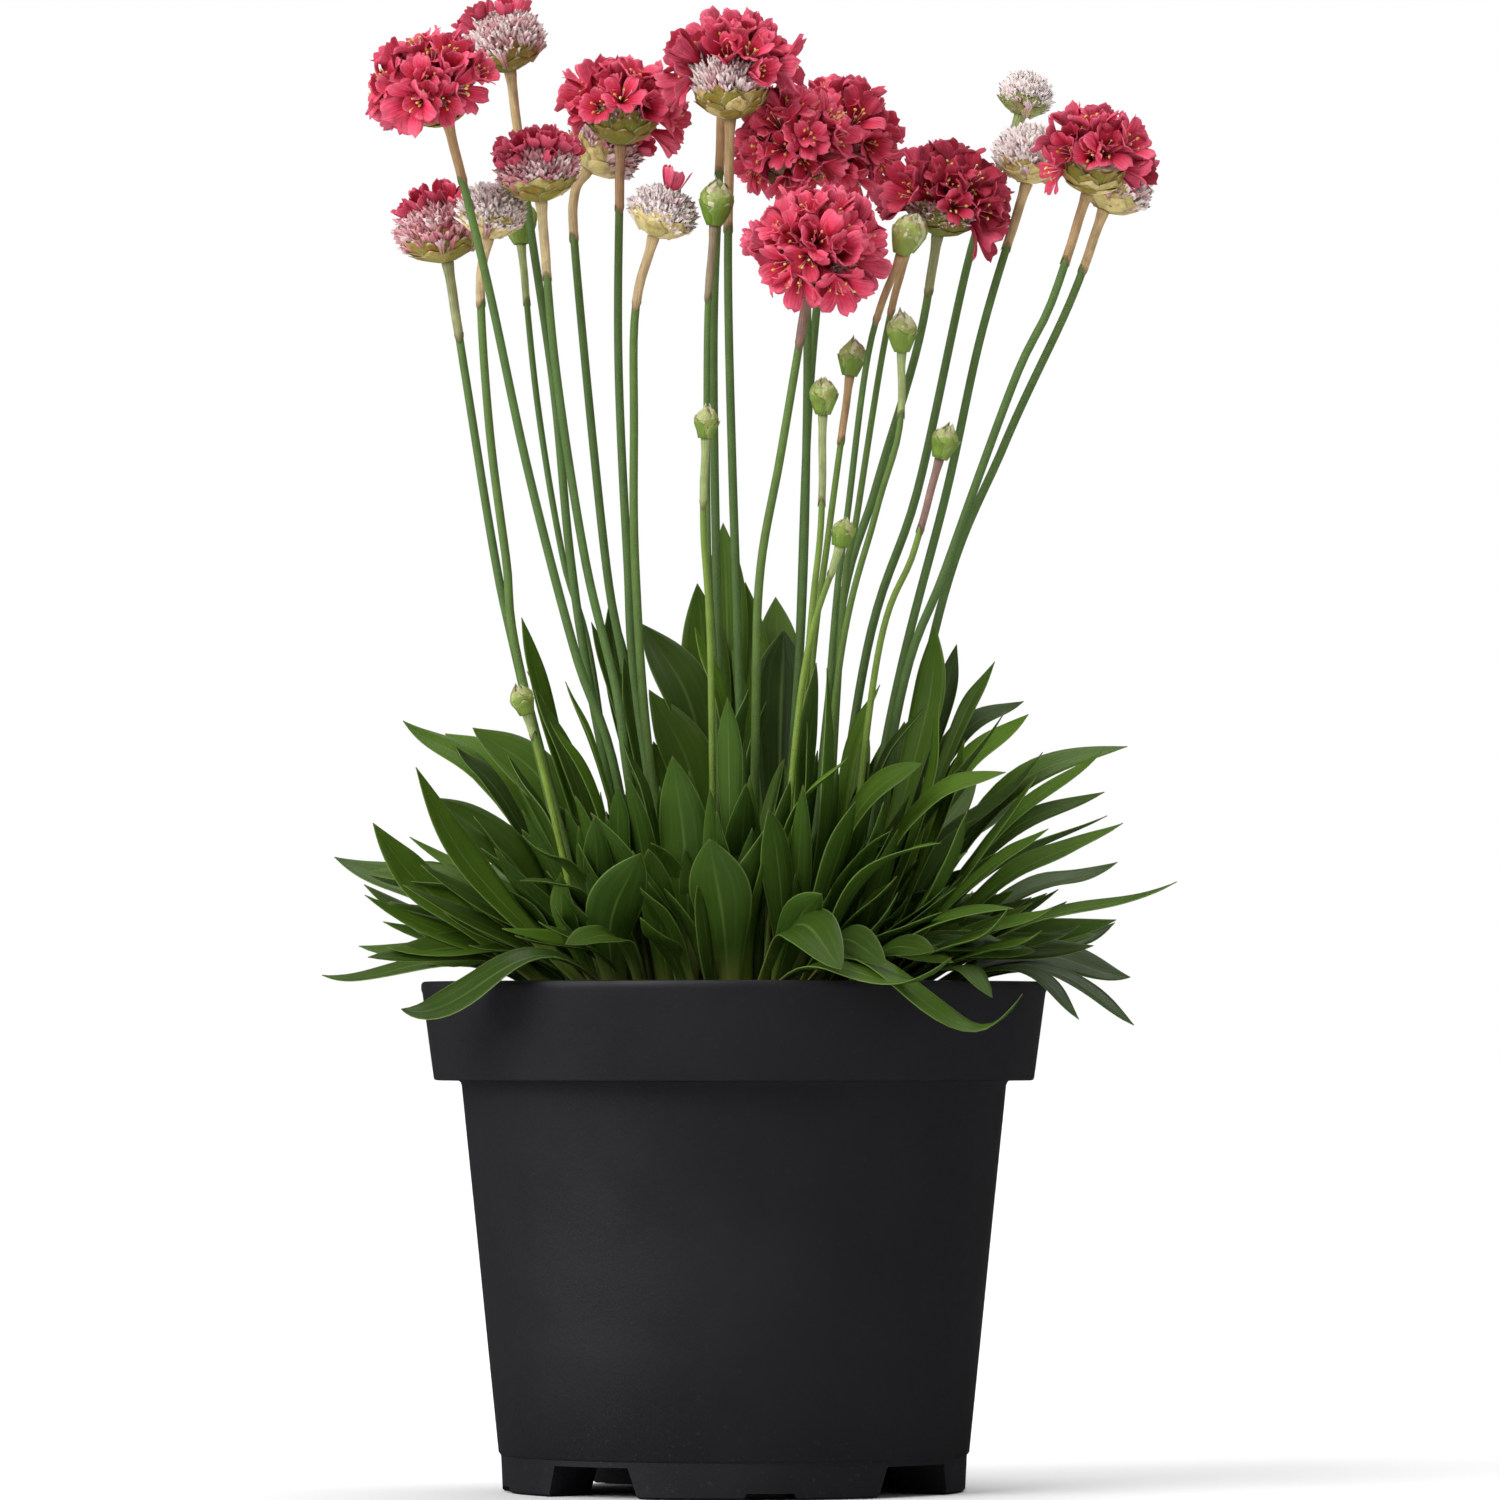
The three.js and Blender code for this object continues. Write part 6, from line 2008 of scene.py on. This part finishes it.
    def build(self) -> None:
        """Builds the stalk's piece and then its head's."""
        batch, palette, label = Batch(), self.palette, self.stalk.label
        self.stem(batch)
        self.bracts(batch)
        young = self.stalk.bloom in (Bloom.BUD, Bloom.OPENING)
        scales = palette.bud if young else palette.bract
        piece = batch.piece(f"stalk_{label}", [palette.stem, palette.sheath, scales])
        finished(piece, "stalk", f"scape_{label}")
        if not self.bud:
            self.head()


# Leaves

@dataclass
class Leaf:
    """A leaf: its curve's four points, and how its blade lies on that curve."""

    curve: Array
    wide: float
    roll: float
    blunt: int = 0
    tone: float = 0.5

    @classmethod
    def through(cls, root: Array, middle: Array, tip: Array, curl: float, **rest: float) -> "Leaf":
        """A leaf from root to tip through its middle; its end runs straight on, or curls."""
        upper = tip + (middle - tip) * LEAF_END
        lower = (8 * middle - root - tip - 3 * upper) / 3
        lower[2] += curl
        upper[2] -= curl
        return cls(np.array([root, lower, upper, tip]), **rest)

    def at(self, t: Array) -> Array:
        """Points of the curve."""
        t = t[:, None]
        a, b, c, d = self.curve
        return a * (1 - t) ** 3 + 3 * b * t * (1 - t) ** 2 + 3 * c * t ** 2 * (1 - t) + d * t ** 3

    def along(self, t: Array) -> Array:
        """The curve's direction."""
        t = np.clip(t, 1e-3, 1 - 1e-3)[:, None]
        a, b, c, d = self.curve
        return unit((b - a) * (1 - t) ** 2 + 2 * (c - b) * t * (1 - t) + (d - c) * t ** 2)

    def half(self, t: Array) -> Array:
        """The solid blade's half width: a narrow base, widest past the middle, then a point."""
        widest, end = (0.7, 2.6) if self.blunt else (0.6, 1.7)
        rising = 0.36 + 0.64 * smooth(0, widest, t)
        late = np.clip((t - widest) / (1 - widest), 0, 1)
        return self.wide / 2 * np.where(t < widest, rising, np.sqrt(1 - late ** end))

    def outline(self, t: Array) -> Array:
        """The half width that shows: a stalk-like base, and a tapering tip or a rounded one."""
        widest, end, taper = (0.68, 3.2, 0.8) if self.blunt else (0.58, 2.0, 0.9)
        rising = 0.34 + 0.66 * smooth(0, widest, t) ** 1.2
        late = np.clip((t - widest) / (1 - widest), 0, 1)
        return self.wide / 2 * np.where(t < widest, rising, (1 - late ** end) ** taper)

    def length(self) -> float:
        """The curve's length."""
        steps = np.diff(self.at(np.linspace(0, 1, 60)), axis=0)
        return float(np.sum(np.linalg.norm(steps, axis=1)))

    def frame(self, t: Array, twist: Array | float = 0.0) -> tuple[Array, Array]:
        """The way across the blade and the way its upper face looks.

        Args:
            t: how far along the curve, 0 to 1.
            twist: how far the blade is turned there, besides its roll.

        Returns:
            The two ways at each t.
        """
        along = self.along(t)
        away = unit((self.curve[3] - self.curve[0]) * np.array([1, 1, 0]))
        across = np.broadcast_to(beside(away), along.shape)
        across = turned(across, along, self.roll + twist)
        across = unit(across - along * np.sum(across * along, axis=1, keepdims=True))
        return across, np.cross(across, along)

    def skin(self, t: Array, side: Array) -> Array:
        """Points on the blade's middle sheet, as the solids have it."""
        across, up = self.frame(t)
        half = self.half(t)[:, None]
        lift = LEAF_FOLD * half * (np.abs(side[:, None]) - 0.5)
        return self.at(t) + across * side[:, None] * half + up * lift


@dataclass
class LeafTuft:
    """The tuft: leaves of the front view, leaves by rule at the back, and small ones between."""

    stalks: Sequence[Stalk] = STALKS
    fillers: int = 230
    skirt: int = 110
    stubs: int = 170
    thick: float = 0.75
    crown_sink: float = 4.0
    form: Form = field(default_factory=lambda: blade_form(22, 6))
    sliver: Form = field(default_factory=lambda: blade_form(14, 4))
    stub: Form = field(default_factory=lambda: blade_form(5, 2))

    def bones(self) -> tuple[Array, Array, Array]:
        """Every stalk as straight bones.

        Returns:
            The bones' starts, their ends and their radii.
        """
        starts, ends, thicknesses = [], [], []
        for stalk in self.stalks:
            points, radii = stations(stalk)
            starts.extend(points[:-1])
            ends.extend(points[1:])
            thicknesses.extend(np.maximum(radii[:-1], radii[1:]))
        return np.array(starts), np.array(ends), np.array(thicknesses)

    def is_clear(self, leaf: Leaf, bones: tuple[Array, Array, Array]) -> bool:
        """Whether a leaf stands clear of every stalk and of the pot.

        Args:
            leaf: the leaf.
            bones: the stalks' starts, ends and radii.

        Returns:
            True if it does.
        """
        rows = math.ceil(leaf.length() / LEAF_SAMPLE)
        columns = math.ceil(leaf.wide / LEAF_SAMPLE)
        t, side = np.meshgrid(np.linspace(0, 1, rows + 1), np.linspace(-1, 1, columns + 1))
        points = leaf.skin(t.ravel(), side.ravel())
        if not np.all(clear_of_pot(points)):
            return False
        starts, ends, radii = bones
        way = ends - starts
        to = points[:, None] - starts[None]
        share = np.clip(np.sum(to * way, axis=2) / np.sum(way * way, axis=1), 0, 1)
        gap = np.linalg.norm(to - share[..., None] * way, axis=2) - radii
        return bool(gap.min() >= LEAF_CLEARANCE)

    def front_leaf(self, row: Blade, attempt: int) -> Leaf:
        """A leaf of the front view; each further attempt moves it a little in depth.

        Args:
            row: its row in the table.
            attempt: how many places were tried before.

        Returns:
            The leaf.
        """
        nudge = (1 if attempt % 2 else -1) * math.ceil(attempt / 2) * 1.5
        tip = seen(on_grid(row.tip), row.depth + nudge)
        root = np.array([row.root[0], row.root[1] + nudge * 0.3, LEAF_ROOT_Z])
        depth = root[1] + (tip[1] - root[1]) * 0.55 if row.mid_depth is None else row.mid_depth
        middle = seen(on_grid(row.mid), depth)
        middle[2] += attempt * 0.35
        away = unit((tip - root) * np.array([1, 1, 0]))
        roll = (away[0] * LEAF_FACING if row.roll is None else row.roll) + nudge * 0.02
        return Leaf.through(root, middle, tip, row.curl, wide=row.wide, roll=roll, blunt=row.blunt)

    def back_leaf(self, number: int, attempt: int) -> Leaf:
        """A leaf at the back by rule: inner ones stand up, outer ones arch over the lip.

        Args:
            number: which leaf it is.
            attempt: how many shapes were tried before.

        Returns:
            The leaf.
        """
        roll = rolls(LEAF_SEED + number * 97 + attempt)
        out = math.sqrt((number + 0.5) / BACK_LEAVES)
        turn = BACK_FROM + BACK_SPREAD * ((number * GOLDEN_SHARE) % 1) + (next(roll) - 0.5) * 0.3
        away = level(turn)
        root_out = 10 + (CROWN_RADIUS - 16) * out + (next(roll) - 0.5) * 6
        tip_out = TUFT_REACH * (0.3 + 0.64 * out + 0.08 * (next(roll) - 0.5))
        dome = math.sqrt(max(0.0, 1 - (tip_out / (TUFT_REACH * 1.12)) ** 2))
        root = away * root_out + upward(LEAF_ROOT_Z)
        tip = away * tip_out + upward(LEAF_ROOT_Z + 8 + 104 * dome * (0.5 + 0.5 * next(roll)))
        tip += beside(away) * (next(roll) - 0.5) * 30
        middle = root + (tip - root) * 0.46 + upward(3 + 9 * out + 6 * next(roll))
        return Leaf.through(root, middle, tip, (next(roll) - 0.4) * 16, wide=9 + 5 * next(roll),
                            roll=(next(roll) - 0.5) * 0.9)

    def filler(self, number: int, attempt: int) -> Leaf:
        """A smaller leaf between the others, lower and narrower than they are.

        Args:
            number: which leaf it is.
            attempt: how many shapes were tried before.

        Returns:
            The leaf.
        """
        random = np.random.default_rng(FILLER_SEED + number * 101 + attempt)
        out = math.sqrt((number + 0.5) / self.fillers)
        away = level(number * GOLDEN_ANGLE + random.normal(0, 0.1))
        root = away * (6 + 36 * out) + upward(LEAF_ROOT_Z)
        tip_out = 14 + 66 * out * random.uniform(0.7, 1.05)
        dome = math.sqrt(max(0.0, 1 - (tip_out / 112) ** 2))
        tip = away * tip_out + upward(LEAF_ROOT_Z + 14 + 74 * dome * random.uniform(0.25, 0.85))
        tip += beside(away) * random.normal(0, 9)
        middle = root + (tip - root) * 0.48 + upward(random.uniform(2, 12))
        return Leaf.through(root, middle, tip, random.uniform(-8, 10),
                            wide=random.uniform(4.5, 10), roll=random.normal(0, 0.4))

    def skirt_leaf(self, number: int, attempt: int) -> Leaf:
        """A low leaf at a side or the back, which arches out over the lip.

        Args:
            number: which leaf it is.
            attempt: how many shapes were tried before.

        Returns:
            The leaf.
        """
        random = np.random.default_rng(SKIRT_SEED + number * 101 + attempt)
        share = (number * GOLDEN_SHARE) % 1
        away = level(-0.95 + (math.pi + 1.9) * share + random.normal(0, 0.05))
        root = away * random.uniform(24, 42) + upward(LEAF_ROOT_Z)
        tip = away * np.array([random.uniform(74, 108), random.uniform(68, 92), 0])
        tip[2] = random.uniform(143, 190 - 26 * abs(away[0]))
        tip += beside(away) * random.normal(0, 9)
        middle = root + (tip - root) * 0.5
        middle[2] = max(middle[2] + random.uniform(0, 9), 147.0)
        return Leaf.through(root, middle, tip, random.uniform(0, 6), wide=random.uniform(7, 12),
                            roll=away[0] * random.uniform(0.4, 1.0))

    def leaves(self) -> list[Leaf]:
        """All leaves, each at its first attempt that stands clear."""
        bones = self.bones()
        makers = [(partial(self.front_leaf, row), row.tone) for row in FRONT_LEAVES]
        makers += [(partial(self.back_leaf, number), None) for number in range(BACK_LEAVES)]
        makers += [(partial(self.filler, number), 0.9 if number % 6 == 3 else None)
                   for number in range(self.fillers)]
        makers += [(partial(self.skirt_leaf, number), None) for number in range(self.skirt)]
        makers += [(partial(self.front_leaf, row), row.tone) for row in YOUNG_LEAVES]
        random = np.random.default_rng(TONE_SEED)
        kept = []
        for make, tone in makers:
            shade = float(np.clip(random.normal(0.42, 0.24), 0, 1))
            for leaf in map(make, range(LEAF_ATTEMPTS)):
                if self.is_clear(leaf, bones):
                    leaf.tone = shade if tone is None else tone
                    kept.append(leaf)
                    break
        return kept

    def lay(self, batch: Batch, form: Form, leaf: Leaf, random: Draws) -> None:
        """Lays one leaf: a smooth channel in section, thin at its edges, with a slight wave.

        Args:
            batch: what it is added to.
            form: the blade's form.
            leaf: the leaf.
            random: where its twist, its wave and its hooked tip come from.
        """
        x, side, face = form.points.T
        t = 1 - (1 - x) ** 1.25
        twist = random.normal(0, 0.1) * np.sin(math.pi * t) + random.normal(0, 0.12) * t ** 2
        across, up = leaf.frame(t, twist)
        half = np.maximum(leaf.outline(t) * (1.4 if leaf.blunt else 1.06), 0.1)
        fold = LEAF_FOLD * half * (np.sqrt(side ** 2 + 0.03) - 0.5) * (1 - 0.35 * t)
        height = random.uniform(0.02, 0.07)
        wave = height * np.sin(t * random.uniform(9, 17) + random.uniform(0, 6)) * side ** 2
        hook = random.normal(0, 1.2) * t ** 5
        thick = self.thick / 2 * (1.5 - 0.9 * t) * (1 - 0.72 * side ** 4)
        thick = thick * np.where(t > 0.97, 0.6, 1)
        lift = fold + wave * half + hook + face * thick
        points = leaf.at(t) + across * (side * half)[:, None] + up * lift[:, None]
        shape, under = blade_shape(form)
        shape[:, 1] = t
        batch.lay(form, points[None], shape, leaf.tone, 0, under)

    def crown(self, batch: Batch) -> None:
        """Lays the low crown: a mound with the pale stubs of leaf bases all over it."""
        mound = rod_form(40, 8)
        h = mound.points[:, 2]
        radius = CROWN_RADIUS * np.sqrt(np.clip(1 - h ** 2, 0.0004, 1)) - self.crown_sink
        height = SOIL_TOP_Z - self.crown_sink + (CROWN_TOP_Z - SOIL_TOP_Z + 1) * h
        batch.lay(mound, lathed(mound, radius, height)[None], np.full((len(h), 2), 0.5), 1.4)
        random = np.random.default_rng(CROWN_SEED)
        for number in range(self.stubs):
            out = math.sqrt((number + 0.5) / self.stubs)
            away = level(number * GOLDEN_ANGLE)
            root = away * (CROWN_RADIUS - 5) * out + upward(SOIL_TOP_Z - 3 + 9 * (1 - out ** 2))
            tip = root + away * random.uniform(3, 9) * (0.3 + out) + upward(random.uniform(7, 15))
            middle = (root + tip) / 2 + upward(1.5)
            leaf = Leaf.through(root, middle, tip, 0.0, wide=random.uniform(4, 8),
                                roll=random.normal(0, 0.3))
            leaf.tone = float(random.choice([0.3, 0.8, 1.3], p=[0.4, 0.35, 0.25]))
            self.lay(batch, self.stub, leaf, random)

    def build(self, material: Material) -> Object:
        """Builds the tuft.

        Args:
            material: the leaves' finish.

        Returns:
            The finished piece.
        """
        batch = Batch()
        random = np.random.default_rng(TWIST_SEED)
        kept = self.leaves()
        log.info("%d leaves", len(kept))
        for number, leaf in enumerate(kept):
            large = number < len(FRONT_LEAVES) + BACK_LEAVES
            self.lay(batch, self.form if large else self.sliver, leaf, random)
        self.crown(batch)
        return finished(batch.piece("leaves", [material]), "leaf", "leaf_tuft")


def clear_of_pot(points: Array) -> Array:
    """Whether each point is off the compost and off the pot's collar."""
    x, y, z = points.T
    out = np.hypot(x, y)
    inner, outer = LIP_RADIUS - WALL - 2, LIP_RADIUS + POT_CLEARANCE
    over_soil = (out > CROWN_RADIUS - 2) & (out < inner)
    at_lip = (out >= inner) & (out < outer)
    clear_lip = (z > POT_HEIGHT + POT_CLEARANCE) | (out > lip_skin(z) + POT_CLEARANCE)
    clear_soil = z > SOIL_TOP_Z + 2 * POT_CLEARANCE
    return np.where(over_soil, clear_soil, np.where(at_lip, clear_lip, True))


def stations(stalk: Stalk) -> tuple[Array, Array]:
    """A stalk's solid as points up its middle, with its radius at each.

    Args:
        stalk: the stalk.

    Returns:
        The points and the radii.
    """
    line = stalk_line(stalk)
    axis = head_axis(line, stalk.nod)
    top = line[-1]
    mouth, segment = back_along(line, stalk.sheath)

    def radius_at(z: float) -> float:
        """The bare stem's radius at a height."""
        share = (z - STALK_FOOT_Z) / (top[2] - STALK_FOOT_Z)
        return STALK_RADIUS + (STALK_TIP_RADIUS - STALK_RADIUS) * share

    points = [(at, radius_at(at[2])) for at in line[:segment]]
    down = unit(mouth - back_along(line, stalk.sheath - 2)[0])
    points.append((mouth + down, radius_at(mouth[2])))
    points += [(at, SHEATH_RADIUS) for at in (mouth, *line[segment:])]
    points += [(top + axis * height, radius) for height, radius in cup_profile(stalk)]
    return np.array([at for at, _ in points]), np.array([radius for _, radius in points])


# The studio

@dataclass
class Studio:
    """A pale floor, soft lights and the camera at the front. Places are in metres."""

    aim: Triple = (0.00435, 0.0, 0.201)
    eye: Triple = (0.00435, -EYE_DISTANCE * MM, EYE_HEIGHT * MM)
    lens: float = 256.0
    floor_radius: float = 60.0
    floor_gap: float = 0.0002
    ambient: float = 0.3
    mirrored: float = 0.06

    def set_up(self, name: str, data: bpy.types.ID, place: Triple, target: Triple) -> Object:
        """Puts a camera or a lamp at a place and turns it to a target."""
        made = bpy.data.objects.new(name, data)
        made.location = place
        made.rotation_euler = (Vector(target) - Vector(place)).to_track_quat("-Z", "Y").to_euler()
        bpy.context.collection.objects.link(made)
        return made

    def camera(self) -> None:
        """Sets the camera up."""
        data = bpy.data.cameras.new("front_camera")
        data.lens = self.lens
        data.sensor_width = 36
        data.clip_end = 50
        bpy.context.scene.camera = self.set_up("front_camera", data, self.eye, self.aim)

    def lamp(self, name: str, kind: str, place: Triple, target: Triple,
             **settings: float) -> None:
        """Adds a soft light, with its power and its size or spread as settings."""
        data = bpy.data.lights.new(name, kind)
        for option, value in settings.items():
            setattr(data, option, value)
        self.set_up(name, data, place, target)

    def floor(self) -> None:
        """Builds the wide pale floor, which glossy reflections see as dark."""
        fresh_start()
        bpy.ops.mesh.primitive_circle_add(vertices=64, radius=1, fill_type="NGON")
        floor = bpy.context.object
        bpy.ops.object.mode_set(mode="EDIT")
        bpy.ops.transform.resize(value=(self.floor_radius, self.floor_radius, 1),
                                 center_override=(0, 0, 0))
        bpy.ops.transform.translate(value=(0, 0, -self.floor_gap))
        bpy.ops.object.mode_set(mode="OBJECT")
        floor.name = "studio_floor"
        material = bpy.data.materials.new("studio_paper")
        material.use_nodes = True
        recipe = Recipe(material.node_tree)
        paper = recipe.mix(recipe.noise(6.0, 2.0), paint(244, 244, 244), paint(248, 248, 248))
        glossy = recipe.node("ShaderNodeLightPath").outputs["Is Glossy Ray"]
        recipe.fill(material.node_tree.nodes["Principled BSDF"], {
            "Base Color": recipe.mix(glossy, paper, paint(70, 70, 70)), "Roughness": 0.9,
            "Specular IOR Level": 0.1})
        floor.data.materials.append(material)

    def world(self) -> None:
        """Surrounds the studio with white, which lights the plant less than it shows."""
        world = bpy.data.worlds.new("studio_world")
        world.use_nodes = True
        recipe = Recipe(world.node_tree)
        path = recipe.node("ShaderNodeLightPath").outputs
        dim = recipe.node("ShaderNodeMapRange", {
            0: path["Is Glossy Ray"], 3: self.ambient, 4: self.mirrored}).outputs[0]
        strength = recipe.node("ShaderNodeMapRange", {0: path["Is Camera Ray"], 3: dim, 4: 1.0})
        recipe.fill(world.node_tree.nodes["Background"], {
            0: (1.0, 1.0, 1.0, 1.0), 1: strength.outputs[0]})
        bpy.context.scene.world = world

    def build(self) -> None:
        """Builds the whole studio."""
        self.camera()
        self.floor()
        self.world()
        for name, place, spread, power in (("key_sun", (-0.7, -0.75, 0.75), 40, 2.1),
                                           ("top_sun", (0.15, 0.25, 1.0), 60, 2.0)):
            self.lamp(name, "SUN", place, (0, 0, 0), angle=math.radians(spread), energy=power)
        self.lamp("side", "AREA", (-2.4, -0.5, 0.7), (0, 0, 0.2), size=0.9, energy=14)
        bpy.context.scene.view_settings.view_transform = "Standard"


def main() -> None:
    """Builds the plant and its studio, and reports each piece."""
    logging.basicConfig(level=logging.INFO, format="%(name)s %(message)s")
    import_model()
    Studio().build()
    palette = Palette.mixed()
    NurseryPot().build(palette.pot)
    Compost().build(palette.compost)
    LeafTuft().build(palette.leaf)
    forms = Forms()
    for number, stalk in enumerate(STALKS):
        FlowerStalk(stalk, forms, palette, number).build()


if __name__ == "__main__":
    main()
